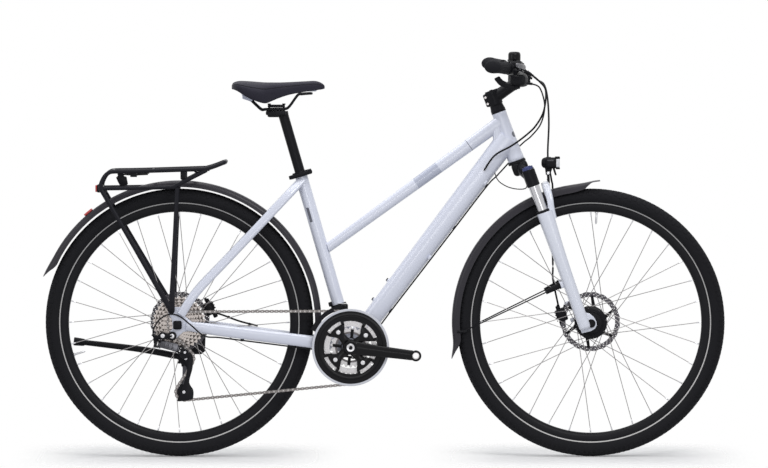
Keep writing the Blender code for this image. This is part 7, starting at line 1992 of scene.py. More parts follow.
@dataclass
class Crankset:
    """Both cranks, the spider, the rings and the chain guard."""

    length: float = 0.175

    def arm(self, shape: Shape, side: int, degrees: float) -> tuple[Vector, Vector]:
        """Forges one arm.

        Args:
            shape: the shape to add to.
            side: -1 on the right, 1 on the left.
            degrees: where the arm points, up from straight ahead.

        Returns:
            The arm's root and its end.
        """
        start = off(BB, y=side * 0.072)
        end = around(BB, self.length, degrees, side * 0.082)
        stations = ((0.0, 0.0172, 0.0063), (0.1, 0.0182, 0.0066), (0.2, 0.0172, 0.0068),
                    (0.45, 0.0152, 0.0068), (0.75, 0.014, 0.0066), (0.945, 0.0136, 0.0062))
        rows = [(*start.lerp(end, s), w, h) for s, w, h in stations]
        shape.sweep(flow(rows, 4), 40, LEFT, flat=end - start)
        shape.turned([(0.0078, -0.006), (0.013, -0.006), (0.0148, -0.004), (0.0148, 0.004),
                      (0.013, 0.006), (0.0078, 0.006)], end, LEFT, 56, closed=True)
        return start, end

    def right(self) -> None:
        """Builds the right crank with its spider."""
        shape = Shape("crank_right_forging")
        _, end = self.arm(shape, -1, CRANK_TURN)
        shape.rod(off(BB, y=-0.078), off(BB, y=-0.0445), 0.0188, steps=64)
        for turn in SPIDER_TURNS:
            root, tip = around(BB, 0.008, turn, -0.0538), around(BB, 0.057, turn, -0.0538)
            shape.sweep(flow([(*root, 0.015, 0.0028), (*root.lerp(tip, 0.45), 0.011, 0.0028),
                              (*tip, 0.009, 0.0028)], 4), 28, LEFT, flat=tip - root)
            shape.rod(around(BB, BOLT_CIRCLE, turn, -0.056), around(BB, BOLT_CIRCLE, turn, -0.0512), 0.0094,
                      steps=32)
        shape.cast(0.0013, 4)
        shape.done(Paint.CRANK, "cranks", "crank_right", sharp=50.0)
        self.eye(end, -1, "right")
        cap = Shape("crank_right_bolt")
        cap.turned([(0.0, -0.0006), (0.0052, -0.0006), (0.0056, 0.0008), (0.0098, 0.0012), (0.0106, 0.0006),
                    (0.011, -0.003), (0.0, -0.003)], off(BB, y=-0.0786), -LEFT, 48)
        cap.done(Paint.BOLT, "cranks")
        # Painted shade: a black hexagon fills the bolt's recess in place of its shaded socket
        socket = Shape("crank_right_bolt_painted_socket_shade")
        socket.rod(off(BB, y=-0.078), off(BB, y=-0.07945), 0.0046, steps=6)
        socket.done(Paint.BLACK_STEEL, "cranks")
        ring = Shape("crank_right_collar")
        ring.turned([(0.0114, 0.0), (0.0156, 0.0), (0.0162, 0.0008), (0.0156, 0.0016), (0.0114, 0.0012)],
                    off(BB, y=-0.0782), -LEFT, 56, closed=True)
        ring.done(Paint.ALLOY, "cranks")

    def left(self) -> None:
        """Builds the left crank with its spindle."""
        shape = Shape("crank_left_forging")
        _, end = self.arm(shape, 1, CRANK_TURN + 180)
        shape.rod(off(BB, y=0.0402), off(BB, y=0.076), 0.0168, steps=56)
        shape.block(off(BB, 0.019, 0.069, -0.002), (0.012, 0.013, 0.022), None, 0.003)
        shape.cast(0.0013, 4)
        shape.done(Paint.CRANK, "cranks", "crank_left", sharp=50.0)
        self.eye(end, 1, "left")
        parts = Shape("crank_left_fittings")
        parts.rod(off(BB, y=-0.066), off(BB, y=0.0785), 0.0118, steps=40, bevel=0.001)
        parts.bolt(off(BB, 0.02, 0.0752, -0.002), LEFT, 0.003, 0.0012)
        parts.done(Paint.BLACK_STEEL, "cranks")

    def eye(self, end: Vector, side: int, name: str) -> None:
        """Lines the empty pedal hole with its thread.

        Args:
            end: the middle of the crank's end.
            side: -1 on the right, 1 on the left.
            name: right or left.
        """
        shape = Shape(f"crank_{name}_pedal_thread")
        profile = [(0.009, -0.0064), (0.009, 0.0064)]
        turns = [(0.0072 + 0.0004 * (i % 2), 0.0066 - i * 0.0011) for i in range(13)]
        shape.turned(profile + turns, end, LEFT * side, 48, closed=True)
        shape.done(Paint.STEEL, "cranks")

    def rings(self) -> None:
        """Cuts the three toothed rings, their collar and the bolts."""
        for name, (teeth, y) in RING_TEETH.items():
            inner = {"large": 0.076, "middle": 0.056, "small": 0.036}[name]
            edge = pitch_radius(teeth) - 0.0052
            shape = Shape(f"ring_{name}")
            shape.ring_plate(off(BB, y=y - 0.001), tooth_radii(teeth), edge - 0.006, 0.002)
            if name == "large":
                for turn in SPIDER_TURNS:
                    self.tab(shape, turn, y, 0.0445, edge - 0.005)
            nodes = {"large": ("chainring_large",), "middle": ("inner_chainrings",)}.get(name, ())
            shape.done(Paint.RINGS, "cranks", *nodes, sharp=25.0)
            web = Shape(f"ring_{name}_web")
            web.turned([(inner, -0.0008), (edge - 0.0055, -0.0008), (edge - 0.0055, 0.0008), (inner, 0.0008)],
                       off(BB, y=y), LEFT, 96, closed=True)
            for turn in SPIDER_TURNS:
                out = around((0, 0, 0), 1.0, turn)
                web.rod(BB + out * (inner - 0.01) + LEFT * y, BB + out * (inner + 0.002) + LEFT * y, 0.0011,
                        steps=12)
            # The middle ring's web takes the lit steel, the large and small rings' webs the painted shade
            web.done(Paint.RINGS if name == "middle" else Paint.RING_PAINTED_SHADE, "cranks")
        collar = Shape("ring_collar")
        collar.turned([(0.0235, -0.052), (0.0262, -0.052), (0.0262, -0.0415), (0.0235, -0.0415)], BB, LEFT,
                      56, closed=True)
        for k in range(8):
            turn = SPIDER_TURN + 45 * k
            near, far = around(BB, 0.027, turn), around(BB, 0.047, turn)
            collar.block(off(near.lerp(far, 0.5), y=-0.05), (0.022, 0.002, 0.008),
                         Matrix.Rotation(-math.radians(turn), 3, "Y"), 0.0004)
        collar.done(Paint.BLACK_STEEL, "cranks")

    @staticmethod
    def tab(shape: Shape, turn: float, y: float, near: float, far: float) -> None:
        """Adds a tab that stands in from a ring to one of its bolts."""
        out = around((0, 0, 0), 1.0, turn)
        across = Vector((-out.z, 0.0, out.x))
        corners = [(near, -0.008), (near, 0.008), (far, 0.018), (far, -0.018)]
        shape.plate([off(BB + out * r + across * s, y=y - 0.001) for r, s in corners], LEFT * 0.002, 0.0004)

    @staticmethod
    def fan(shape: Shape, turn: float, inner: float, outer: float, half: float, y: float) -> None:
        """Adds a plate between two radii.

        Args:
            shape: the shape to add to.
            turn: where its middle points, in degrees.
            inner: its smaller radius.
            outer: its larger radius.
            half: how far it reaches to each side, in degrees.
            y: its inner face.
        """
        angles = [turn - half + half * i / 6 for i in range(13)]
        outline = [around(BB, outer, a, y) for a in angles]
        outline += [around(BB, inner, a, y) for a in reversed(angles)]
        shape.plate(outline, LEFT * 0.0028, 0.0005)

    def guard(self) -> None:
        """Moulds the black guard with its lobes and slots, its pale rim and its bolts."""
        shape = Shape("chainguard_ring")
        y = -0.0625
        shape.turned([(0.0748, y - 0.0013), (0.0756, y - 0.0016), (0.084, y - 0.0016), (0.0846, y - 0.0011),
                      (0.0856, y - 0.0011), (0.0862, y - 0.0017), (0.0958, y - 0.0017), (0.0972, y - 0.0012),
                      (0.0972, y + 0.0012), (0.0748, y + 0.0012)], BB, LEFT, 144, closed=True)
        lobe = ((0.019, 0.008), (0.026, 0.0068), (0.036, 0.0084), (0.044, 0.0132), (0.051, 0.02),
                (0.057, 0.0245), (0.064, 0.0272))
        for turn in SPIDER_TURNS:
            out = around((0, 0, 0), 1.0, turn)
            across = Vector((-out.z, 0.0, out.x))
            outline = [BB + out * r + across * s + LEFT * (y - 0.0015) for r, s in lobe]
            outline += [around(BB, 0.0655, turn + a, y - 0.0015) for a in (20, 14, 7, 0, -7, -14, -20)]
            outline += [BB + out * r - across * s + LEFT * (y - 0.0015) for r, s in reversed(lobe)]
            shape.plate(outline, LEFT * 0.0028, 0.0006)
            for side in (-1, 1):
                self.fan(shape, turn + side * 20.5, 0.063, 0.076, 3.4, y - 0.0015)
            self.fan(shape, turn + 45, 0.0708, 0.076, 21.5, y - 0.0014)
            bolt = BB + out * BOLT_CIRCLE
            shape.rod(bolt + LEFT * (y + 0.0013), bolt + LEFT * (y - 0.0022), 0.0092, steps=36, bevel=0.0006)
        shape.done(Paint.CRANK, "cranks", "chainguard")
        rim = Shape("chainguard_rim")
        rim.turned([(0.097, y - 0.0014), (0.1022, y - 0.0015), (0.103, y - 0.0008), (0.103, y + 0.001),
                    (0.1022, y + 0.0015), (0.097, y + 0.0013)], BB, LEFT, 160, closed=True)
        rim.done(Paint.PALE, "cranks")
        bolts = Shape("chainguard_bolts")
        for turn in SPIDER_TURNS:
            bolts.bolt(around(BB, BOLT_CIRCLE, turn, y - 0.0021), -LEFT, 0.0058, 0.0014, 0.55)
        bolts.done(Paint.BOLT, "cranks")

    def build(self) -> None:
        """Builds the crankset and the bottom bracket's shell."""
        self.right()
        self.left()
        self.rings()
        self.guard()
        unit = Shape("bottom_bracket_unit")
        unit.turned([(0.0123, -0.034), (0.018, -0.034), (0.018, 0.034), (0.0123, 0.034)], BB, LEFT, 48,
                    closed=True)
        unit.done(Paint.BLACK_STEEL, "frame", "bottom_bracket")


def make_cassette() -> None:
    """Cuts the ten sprockets and their spacers, with painted shade on the cogs' bodies."""
    shape, web = Shape("cassette_cogs"), Shape("cassette_webs")
    for number, teeth in enumerate(COG_TEETH):
        y = FIRST_COG_Y + COG_GAP * number
        edge = pitch_radius(teeth) - 0.0046
        shape.ring_plate(off(REAR_AXLE, y=y - 0.0009), tooth_radii(teeth), edge - 0.0004, 0.0018)
        # Painted shade: each cog's body below its teeth is a ring in the dark copy of the cog metal
        inner = max(0.0158, edge - 0.014)
        web.turned([(inner, y - 0.0006), (edge, y - 0.0006), (edge, y + 0.0006), (inner, y + 0.0006)],
                   REAR_AXLE, LEFT, 72, closed=True)
    shape.done(Paint.COGS, "cogs", "cassette", sharp=25.0)
    web.done(Paint.COG_PAINTED_SHADE, "cogs")
    # The spacers and the lock ring are drawn in the same painted shade
    carrier = Shape("cassette_carrier")
    for number, teeth in enumerate(COG_TEETH[:-1]):
        y = FIRST_COG_Y + COG_GAP * number
        outer = max(pitch_radius(teeth) - 0.0075, 0.0182)
        carrier.turned([(0.016, y + 0.0009), (outer, y + 0.0009), (outer, y + COG_GAP - 0.0009),
                        (0.016, y + COG_GAP - 0.0009)], REAR_AXLE, LEFT, 48, closed=True)
    carrier.turned([(0.0098, -0.0012), (0.0176, -0.0012), (0.018, 0.0), (0.017, 0.0004), (0.0098, 0.0002)],
                   off(REAR_AXLE, y=FIRST_COG_Y - 0.0008), LEFT, 48, closed=True)
    carrier.done(Paint.COG_PAINTED_SHADE, "cogs")


@dataclass
class Chain:
    """The chain, laid over its ring, its sprocket and both pulleys."""

    def stops(self) -> list[tuple[Vector, float, int]]:
        """What the chain runs round, in order: centre, pitch radius and sense."""
        teeth, ring_y = RING_TEETH["large"]
        pulley = pitch_radius(PULLEY_TEETH)
        return [(off(BB, y=ring_y), pitch_radius(teeth), 1),
                (off(REAR_AXLE, y=CHAIN_Y), pitch_radius(COG_TEETH[CHAIN_COG]), 1),
                (GUIDE, pulley, -1), (TENSION, pulley, 1)]

    def path(self) -> list[Vector]:
        """Closely spaced points along the chain's middle line.

        Returns:
            The points, as a closed loop without its first point repeated.
        """
        stops = self.stops()
        count = len(stops)
        angles = []
        for i in range(count):
            start, start_radius, start_sense = stops[i]
            end, end_radius, end_sense = stops[(i + 1) % count]
            gap = end - start
            lean = (end_sense * end_radius - start_sense * start_radius) / math.hypot(gap.x, gap.z)
            angles.append(math.atan2(gap.z, gap.x) - math.asin(lean))
        points = []
        for i, (centre, radius, sense) in enumerate(stops):
            arrive, leave = angles[i - 1], angles[i]
            turn = (leave - arrive) * sense % (2 * math.pi)
            for step in range(49):
                angle = arrive + sense * turn * step / 48
                points.append(centre + Vector((math.sin(angle), 0.0, -math.cos(angle))) * radius * sense)
        return points

    def build(self) -> None:
        """Builds every link: two plates and a roller, the wide and the narrow ones in turn."""
        points = self.path()
        lengths = [(b - a).length for a, b in zip(points, points[1:] + points[:1])]
        total = sum(lengths)
        count = 2 * round(total / CHAIN_PITCH / 2)
        pins, spot, walked = [], 0, 0.0
        for i in range(count):
            target = total * i / count
            while walked + lengths[spot] < target:
                walked += lengths[spot]
                spot += 1
            share = (target - walked) / lengths[spot]
            pins.append(points[spot].lerp(points[(spot + 1) % len(points)], share))
        plates, rollers = Shape("chain_plates"), Shape("chain_rollers")
        for i, pin in enumerate(pins):
            after = pins[(i + 1) % count]
            ahead = (after - pin).normalized()
            up = Vector((-ahead.z, 0.0, ahead.x))
            middle = (pin + after) / 2
            half = (after - pin).length / 2
            near, far = (0.002, 0.0027) if i % 2 else (0.0012, 0.0019)
            shape = ((-half - 0.003, 0.0), (-half - 0.002, 0.003), (-half * 0.75, 0.0039),
                     (0.0, 0.0026), (half * 0.75, 0.0039), (half + 0.002, 0.003), (half + 0.003, 0.0))
            outline = list(shape) + [(a, -b) for a, b in reversed(shape[1:-1])]
            for side in (-1, 1):
                foot = near if side > 0 else -far
                plates.plate([middle + ahead * a + up * b + LEFT * foot for a, b in outline],
                             LEFT * (far - near), 0.0)
            rollers.rod(off(pin, y=-0.00275), off(pin, y=0.00275), 0.0017, steps=8)
            rollers.rod(off(pin, y=-0.0012), off(pin, y=0.0012), 0.0037, steps=10)
        plates.done(Paint.CHAIN, "frame", "chain", sharp=30.0)
        rollers.done(Paint.STEEL, "frame")


@dataclass
class RearDerailleur:
    """The rear derailleur: its base, link, knuckle, cage and pulleys."""

    y: float = -0.078

    def axes(self) -> tuple[Vector, Vector]:
        """The link's run and the axis of its two pins."""
        return Vector((0.966614, 0.0, -0.256447)), Vector((0.233786, 0.410907, 0.881192))

    def clevis(self, shape: Shape, pivot: Vector, back: Vector) -> None:
        """Adds two ears on a block behind a pin.

        Args:
            shape: the shape to add to.
            pivot: the pin's middle.
            back: where the block lies from the pin.
        """
        along, axis = self.axes()
        turn = basis(axis, along)
        shape.block(pivot + back * 0.011, (0.012, 0.0075, 0.0204), turn, 0.0015)
        for height in (0.0088, -0.0088):
            shape.block(pivot + back * 0.0048 + axis * height, (0.0098, 0.0195, 0.0028), turn, 0.0011)

    def build(self) -> None:
        """Builds the base, the link and the knuckle with their pins, and then the cage."""
        along, axis = self.axes()
        rear = off(REAR_AXLE, -0.051, self.y, -0.055)
        front = off(REAR_AXLE, -0.002, self.y, -0.068)
        hanger = off(REAR_AXLE, -0.0176, 0.0, -0.0325)
        limit = off(REAR_AXLE, -0.0425, 0.0, -0.0315)
        corner = off(REAR_AXLE, -0.062, self.y - 0.002, -0.036)
        base = Shape("derailleur_base_casting")
        base.rod(off(hanger, y=-0.0865), off(hanger, y=-0.0742), 0.012, steps=48)
        base.sweep(flow([(*off(hanger, y=-0.081), 0.008, 0.0085),
                         (*off(hanger, y=-0.0812).lerp(corner, 0.5), 0.007, 0.0082),
                         (*corner, 0.006, 0.0062)], 4), 28, LEFT)
        base.rod(off(limit, y=-0.0885), off(limit, y=-0.074), 0.01, steps=40)
        ear = rear - along * 0.0115
        base.sweep(flow([(*off(corner, z=0.006), 0.007), (*off(corner, z=0.002).lerp(ear, 0.5), 0.0054),
                         (*ear, 0.0047)], 4), 24, LEFT)
        self.clevis(base, rear, -along)
        base.cast(0.0008, 4)
        base.done(Paint.ALLOY, "frame", "derailleur_base", sharp=50.0)
        entry = Shape("derailleur_barrel")
        into = Vector((-0.35, 0.0, 0.35)).normalized()
        entry.rod(corner, corner + into * 0.012, 0.0042, 0.0036, steps=24, bevel=0.0005)
        entry.done(Paint.BLACK_STEEL, "frame")
        link = Shape("derailleur_link_plate")
        turn = basis(axis, along)
        middle = (rear + front) / 2
        reach = (front - rear).length
        link.block(middle, (0.0088, reach - 0.001, 0.0138), turn, 0.001, 2)
        for end in (rear, front):
            link.rod(end - axis * 0.0069, end + axis * 0.0069, 0.0045, steps=28, bevel=0.0006)
        outward = along.cross(axis)
        link.block(middle + outward * 0.008, (0.0034, reach - 0.003, 0.0225), turn, 0.0014, 3)
        for share in (0.3, 0.5, 0.7):
            rib = rear.lerp(front, share) + outward * 0.0098 + axis * 0.001
            link.block(rib, (0.0014, 0.005, 0.015), turn, 0.0006)
        link.done(Paint.LINK, "link", "derailleur_link")
        pins = Shape("derailleur_pins")
        pins.rod(rear - axis * 0.0108, rear + axis * 0.0108, 0.0026, steps=24, bevel=0.0004)
        pins.bolt(off(hanger, y=-0.0863), -LEFT, 0.0062, 0.0026, 0.5)
        pins.bolt(off(limit, y=-0.0886), -LEFT, 0.0056, 0.0024, 0.5)
        pins.done(Paint.BOLT, "frame")
        pivot = CAGE_PIVOT
        knuckle = Shape("derailleur_knuckle_casting")
        knuckle.rod(off(pivot, y=-0.085), off(pivot, y=-0.0608), 0.0132, steps=48)
        root, ear = off(pivot, y=self.y + 0.001), front + along * 0.011
        knuckle.sweep(flow([(*root, 0.0074, 0.0072), (*root.lerp(ear, 0.5), 0.0068, 0.0068),
                            (*ear, 0.006, 0.006)], 4), 24, LEFT)
        self.clevis(knuckle, front, along)
        knuckle.cast(0.0008, 4)
        knuckle.done(Paint.ALLOY, "knuckle", "derailleur_knuckle", sharp=50.0)
        cover = Shape("derailleur_knuckle_cap")
        cover.bolt(off(pivot, 0.0015, -0.085, 0.004), -LEFT, 0.0034, 0.0012)
        cover.rod(front - axis * 0.0108, front + axis * 0.0108, 0.0026, steps=24, bevel=0.0004)
        cover.done(Paint.BOLT, "knuckle")
        self.cage()

    def cage(self) -> None:
        """Cuts the cage's two plates and the pulleys between them."""
        plates = {
            "outer": ((0.0085, -0.086), (0.0095, -0.0765), (0.016, -0.073), (0.025, -0.075),
                      (0.0345, -0.083), (0.0375, -0.098), (0.036, -0.12), (0.03, -0.142),
                      (0.0275, -0.156), (0.031, -0.166), (0.038, -0.177), (0.0385, -0.194),
                      (0.033, -0.203), (0.001, -0.208), (-0.004, -0.204), (0.002, -0.188),
                      (0.009, -0.17), (0.0155, -0.152), (0.0205, -0.13), (0.0215, -0.112),
                      (0.013, -0.101), (0.009, -0.093)),
            "inner": ((0.006, -0.083), (0.018, -0.082), (0.029, -0.093), (0.024, -0.115),
                      (0.023, -0.15), (0.0245, -0.183), (0.013, -0.195), (0.001, -0.183),
                      (0.008, -0.15), (0.009, -0.11)),
        }
        for name, outline in plates.items():
            shape = Shape(f"derailleur_cage_{name}")
            foot = CHAIN_Y - 0.0062 if name == "outer" else CHAIN_Y + 0.0044
            path = flow([(x, foot, z) for x, z in outline + outline[:1]], 3)[:-1]
            shape.plate([off(REAR_AXLE, *point) for point in path], LEFT * 0.0018, 0.0005)
            finish, nodes = (Paint.ALLOY, ("derailleur_cage",)) if name == "outer" else (Paint.LINK, ())
            shape.done(finish, "cage", *nodes)
        pins = Shape("derailleur_cage_bolts")
        for centre in (GUIDE, TENSION):
            pins.rod(off(centre, y=-0.006), off(centre, y=0.006), 0.0026, steps=20)
            pins.bolt(off(centre, y=-0.0062), -LEFT, 0.0042, 0.0016)
        pins.rod(off(CAGE_PIVOT, y=CHAIN_Y - 0.006), off(CAGE_PIVOT, y=CHAIN_Y - 0.0165), 0.004, steps=24)
        pins.done(Paint.BOLT, "cage")
        for name, centre, body in (("guide", GUIDE, "upper_pulley"), ("tension", TENSION, "lower_pulley")):
            shape = Shape(f"{name}_pulley_wheel")
            shape.ring_plate(off(centre, y=-0.001), tooth_radii(PULLEY_TEETH, root=0.003), 0.0125, 0.002)
            shape.turned([(0.0075, -0.0009), (0.0126, -0.0009), (0.0126, 0.0009), (0.0075, 0.0009)], centre,
                         LEFT, 45, closed=True)
            shape.turned([(0.0029, -0.0039), (0.0068, -0.0039), (0.0078, -0.003), (0.0078, 0.003),
                          (0.0068, 0.0039), (0.0029, 0.0039)], centre, LEFT, 40, closed=True)
            shape.done(Paint.PLASTIC, body, f"{name}_pulley")


def make_front_derailleur() -> None:
    """Builds the front derailleur's clamp, its body and its cage."""
    centre = BB + SEAT_DIR * 0.111
    pin = around(BB, 0.1077, 100)
    body = Shape("front_derailleur_clamp")
    body.turned([(0.017, -0.007), (0.0205, -0.007), (0.0212, -0.0062), (0.0212, 0.0062),
                 (0.0205, 0.007), (0.017, 0.007)], centre, SEAT_DIR, 56, closed=True)
    body.block(off(centre, 0.01, -0.0225, -0.001), (0.028, 0.01, 0.017), None, 0.003)
    body.block(off(centre, -0.022, 0.0, 0.006), (0.012, 0.016, 0.012), basis(SEAT_DIR, LEFT), 0.002)
    body.rod(off(pin, y=-0.02), off(pin, y=-0.0505), 0.0034, steps=24, bevel=0.0004)
    body.done(Paint.BLACK_STEEL, "frame", "front_derailleur_body")
    cage = Shape("front_derailleur_plates")
    for start, y in ((103.6, -0.0525), (114, -0.063)):
        outline = [around(BB, 0.1162, start + (156 - start) * i / 16) for i in range(17)]
        outline += [around(BB, 0.104 + 0.0008 * math.sin(math.pi * i / 16), 156 - (156 - start) * i / 16)
                    for i in range(17)]
        cage.plate([off(point, y=y) for point in outline], LEFT * 0.0015, 0.0004)
    for degrees, radius in ((154.6, 0.106), (154.6, 0.114)):
        cage.rod(around(BB, radius, degrees, -0.0628), around(BB, radius, degrees, -0.0512), 0.002, steps=16)
    cage.turned([(0.0037, -0.0085), (0.007, -0.0085), (0.0076, -0.008), (0.0076, 0.0), (0.0037, 0.0)],
                off(pin, y=-0.044), LEFT, 40, closed=True)
    cage.rod(around(BB, 0.114, 118, -0.0622), around(BB, 0.114, 118, -0.0515), 0.0018, steps=16)
    cage.done(Paint.ALLOY, "front_cage", "front_derailleur_cage")
    bolt = Shape("front_derailleur_screws")
    bolt.bolt(off(centre, 0.014, -0.0272, 0.003), -LEFT, 0.0034, 0.0016)
    bolt.bolt(off(centre, 0.003, -0.0272, -0.004), -LEFT, 0.003, 0.0014)
    bolt.block(off(centre, 0.008, -0.023, 0.0086), (0.022, 0.01, 0.0016), None, 0.0005)
    bolt.done(Paint.BOLT, "frame")


@dataclass
class Cable:
    """A hose or cable along a route."""

    name: str
    route: Sequence[Point]
    radius: float
    bodies: tuple[str, str]
    bend: tuple[Point, Point]
    node: str

    def build(self) -> bpy.types.Object:
        """Builds the cable.

        Returns:
            The cable's object.
        """
        shape = Shape(f"{self.name}_sleeve")
        shape.tube(self.route, self.radius, 20, 8)
        piece = shape.done(Paint.HOSE, None, self.node)
        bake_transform(piece)
        path = [Vector(row[:3]) for row in flow([tuple(point) for point in self.route], 8)]
        self.radius * 2
        return piece


def make_cables(cockpit: Cockpit) -> None:
    """Lays the brake hoses and the shift cable.

    Args:
        cockpit: the handlebar that they start from.
    """
    left, right = cockpit.place(1, 0.16), cockpit.place(-1, 0.16)
    Cable("front_hose", [
        *(left @ point for point in HOSE_EXIT),
        steer(0.636, 0.14, 0.09), steer(0.596, 0.135, 0.08), steer(0.533, 0.115, 0.064),
        steer(0.454, 0.083, 0.046), steer(0.396, 0.0715, 0.0415), steer(0.37, 0.066, 0.0385),
        steer(0.3, 0.038, 0.037), steer(0.178, -0.003, 0.037), steer(0.14, -0.0165, 0.0375),
        steer(0.0715, -0.0265, 0.041)], HOSE_RADIUS, ("steering", "fork_slider"),
        (steer(0.64), steer(0.4)), "front_brake_hose").build()
    down = (DOWN_TUBE_FRONT - BB).normalized()
    below = Vector((down.z, 0.0, -down.x))

    def under(along: float, gap: float, across: float) -> Vector:
        """A point under the down tube, so far up from the bottom bracket."""
        radius = 0.025 + 0.005 * along / (DOWN_TUBE_FRONT - BB).length
        return BB + down * along + below * (radius + gap) + LEFT * across

    Cable("rear_hose", [
        *(right @ point for point in HOSE_EXIT),
        steer(0.6245, 0.136, -0.084), steer(0.576, 0.113, -0.078), steer(0.546, 0.08, -0.068),
        steer(0.53, 0.0455, -0.058), steer(0.517, 0.0015, -0.046),
        BB + down * 0.64 + Vector((-0.002, -0.038, 0.0)), BB + down * 0.59 + LEFT * -0.0275,
    ], HOSE_RADIUS, ("steering", "frame"), (steer(0.64, 0.13, -0.1), steer(0.52, 0.0, -0.045)),
        "rear_brake_hose").build()
    route = [
        right @ Vector((0.056, -0.034, -0.034)), right @ Vector((0.074, -0.045, -0.042)),
        steer(0.601, 0.1225, -0.108), steer(0.571, 0.1115, -0.098), steer(0.543, 0.09, -0.08),
        steer(0.523, 0.059, -0.04), steer(0.513, 0.035, 0.004), steer(0.5, 0.01, 0.033),
        steer(0.48, -0.012, 0.032)]
    route += [under(a, g, y) for a, g, y in ((0.6, 0.008, 0.016), (0.56, 0.003, 0.002), (0.42, 0.003, 0),
                                            (0.28, 0.003, 0), (0.14, 0.003, 0), (0.04, 0.005, -0.003))]
    route += [off(BB, 0.018, -0.012, -0.028), off(BB, -0.01, -0.02, -0.027),
              off(BB, -0.044, -0.033, -0.02)]
    route += [off(BB.lerp(CHAIN_STAY_END, share), 0.0, -across, -0.0195) for share, across in (
        (0.18, 0.037), (0.34, 0.046), (0.5, 0.053), (0.66, 0.061), (0.8, 0.07))]
    route += [off(REAR_AXLE, x, -across, up) for x, across, up in (
        (0.068, 0.0865, -0.032), (0.034, 0.093, -0.004), (0.003, 0.0965, 0.0205), (-0.025, 0.0965, 0.026),
        (-0.0505, 0.094, 0.012), (-0.066, 0.089, -0.012))]
    route.append(off(REAR_AXLE, -0.068, -0.0815, -0.029))
    Cable("shift_cable", route, 0.002, ("steering", "frame"),
          (steer(0.6, 0.12, -0.1), steer(0.5, 0.01, 0.033)), "rear_shift_cable").build()
    lead = Shape("light_lead")
    lead.tube([(0.287, -0.001, 0.764), (0.2948, -0.01, 0.758), (0.3003, -0.022, 0.744),
               (0.3103, -0.033, 0.732), (0.3325, -0.0385, 0.72), (0.3592, -0.04, 0.715),
               (0.379, -0.041, 0.719), tuple(steer(0.418, 0.008, -0.042))], 0.0014, 12, 6)
    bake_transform(lead.done(Paint.HOSE, None))
    clips = Shape("cable_clips")
    for share, across in ((0.34, 0.046), (0.66, 0.061)):
        clips.block(off(BB.lerp(CHAIN_STAY_END, share), 0.0, -across, -0.0185), (0.01, 0.0062, 0.0068),
                    None, 0.0014)
    for along in (0.56, 0.42, 0.14):
        clips.block(under(along, 0.0018, 0.0), (0.008, 0.012, 0.0062), basis(below, down), 0.0012)
    clips.done(Paint.PLASTIC, "frame")


# Each lamp's name, its place, its width and height in metres, and its power in watts
LAMPS = (
    ("key", (1.6, -3.2, 3.4), (2.4, 1.6), 72.0),
    ("top", (-0.4, -0.2, 3.2), (3.2, 2.0), 60.0),
    ("fill", (-3.2, -2.6, 1.6), (1.6, 2.2), 22.0),
    ("strip", (0.6, -4.2, 0.7), (2.6, 0.35), 9.0),
)
LAMP_AIM = Vector((0.0, 0.0, 0.5))


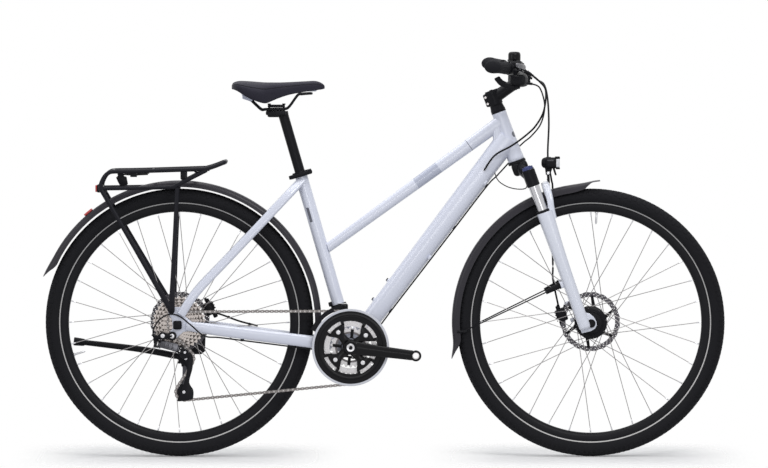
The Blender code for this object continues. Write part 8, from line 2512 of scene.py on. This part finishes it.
@dataclass
class Studio:
    """The white room: its floor, its lamps and its camera."""

    distance: float = 20.0
    height: float = 1.359
    aim: float = 0.594
    lens: float = 351.5
    half_base: float = 0.549
    daylight: Colour = (0.93, 0.95, 1.0)
    brightness: float = 0.42

    def floor(self) -> None:
        """Lays a pale floor that is clear away from the wheels, so that the white shows there."""
        mesh = bmesh.new()
        bmesh.ops.create_grid(mesh, x_segments=1, y_segments=1, size=30.0)
        data = bpy.data.meshes.new("floor")
        mesh.to_mesh(data)
        mesh.free()
        item = bpy.data.objects.new("floor", data)
        bpy.context.scene.collection.objects.link(item)
        graph = Graph("floor_white")
        cloud = graph.noise(3.0)
        graph.feed(graph.surface, "Base Color", graph.mix(cloud, (0.8, 0.8, 0.8), (0.82, 0.82, 0.82)))
        graph.feed(graph.surface, "Roughness", 0.6)
        self.fade(graph)
        data.materials.append(graph.material)

    def fade(self, graph: Graph) -> None:
        """Keeps the floor, with its shadow, near the wheels only, and makes it clear elsewhere."""
        x, y, _ = graph.axes(graph.place())
        depth = y.size().step(0.6, 0.12)
        reach = (x.size() - self.half_base).size().step(0.46, 0.2)
        clear = graph.tree.nodes.new("ShaderNodeBsdfTransparent")
        blend = graph.tree.nodes.new("ShaderNodeMixShader")
        graph.feed(blend, 0, depth * reach)
        graph.tree.links.new(clear.outputs[0], blend.inputs[1])
        graph.tree.links.new(graph.surface.outputs[0], blend.inputs[2])
        output = graph.tree.nodes["Material Output"]
        graph.tree.links.new(blend.outputs[0], output.inputs["Surface"])

    @staticmethod
    def lamp(name: str, place: Point, size: tuple[float, float], power: float) -> None:
        """Hangs a soft lamp that faces the bike's middle.

        Args:
            name: the lamp's name.
            place: where it hangs.
            size: its width and height.
            power: its power in watts.
        """
        data = bpy.data.lights.new(name, "AREA")
        data.shape = "RECTANGLE"
        data.size, data.size_y = size
        data.energy = power
        item = bpy.data.objects.new(name, data)
        item.location = place
        item.rotation_euler = (LAMP_AIM - Vector(place)).to_track_quat("-Z", "Y").to_euler()
        bpy.context.scene.collection.objects.link(item)

    def world(self) -> None:
        """Fills the room with even light, and shows plain white to the camera."""
        world = bpy.data.worlds.new("white_room")
        bpy.context.scene.world = world
        world.use_nodes = True
        tree = world.node_tree
        tree.nodes.clear()
        output = tree.nodes.new("ShaderNodeOutputWorld")
        light, white = tree.nodes.new("ShaderNodeBackground"), tree.nodes.new("ShaderNodeBackground")
        light.inputs["Color"].default_value = (*self.daylight, 1.0)
        light.inputs["Strength"].default_value = self.brightness
        white.inputs["Color"].default_value = (1.0, 1.0, 1.0, 1.0)
        white.inputs["Strength"].default_value = 1.0
        path, blend = tree.nodes.new("ShaderNodeLightPath"), tree.nodes.new("ShaderNodeMixShader")
        share = path.outputs["Is Camera Ray"]
        for name in ("Is Glossy Ray", "Is Transmission Ray"):
            both = tree.nodes.new("ShaderNodeMath")
            both.operation = "MAXIMUM"
            tree.links.new(share, both.inputs[0])
            tree.links.new(path.outputs[name], both.inputs[1])
            share = both.outputs[0]
        tree.links.new(share, blend.inputs[0])
        tree.links.new(light.outputs[0], blend.inputs[1])
        tree.links.new(white.outputs[0], blend.inputs[2])
        tree.links.new(blend.outputs[0], output.inputs["Surface"])

    def camera(self) -> None:
        """Sets the camera square to the bike's right side."""
        data = bpy.data.cameras.new("camera")
        data.lens = self.lens
        data.sensor_width = 36.0
        item = bpy.data.objects.new("camera", data)
        item.location = (0.0, -self.distance, self.height)
        aim = Vector((0.0, 0.0, self.aim)) - Vector(item.location)
        item.rotation_euler = aim.to_track_quat("-Z", "Y").to_euler()
        bpy.context.scene.collection.objects.link(item)
        bpy.context.scene.camera = item

    def build(self) -> None:
        """Sets up the studio."""
        self.floor()
        self.world()
        for name, place, size, power in LAMPS:
            self.lamp(name, place, size, power)
        self.camera()


def corners(pair: tuple[Vector, Vector]) -> list[list[float]]:
    """A pair of corners as plain numbers."""
    return [list(corner) for corner in pair]


def main() -> None:
    """Builds the whole scene."""
    logging.basicConfig(level=logging.INFO, format="%(message)s")
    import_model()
    make_wheels()
    FrameSet().build()
    Fork().build()
    make_calipers()
    cockpit = Cockpit()
    cockpit.build()
    Seat().build()
    make_mudguards()
    Rack().build()
    make_headlight()
    make_kickstand()
    Crankset().build()
    make_cassette()
    Chain().build()
    RearDerailleur().build()
    make_front_derailleur()
    make_cables(cockpit)
    Studio().build()
    bpy.context.scene.view_settings.view_transform = "Standard"


if __name__ == "__main__":
    main()
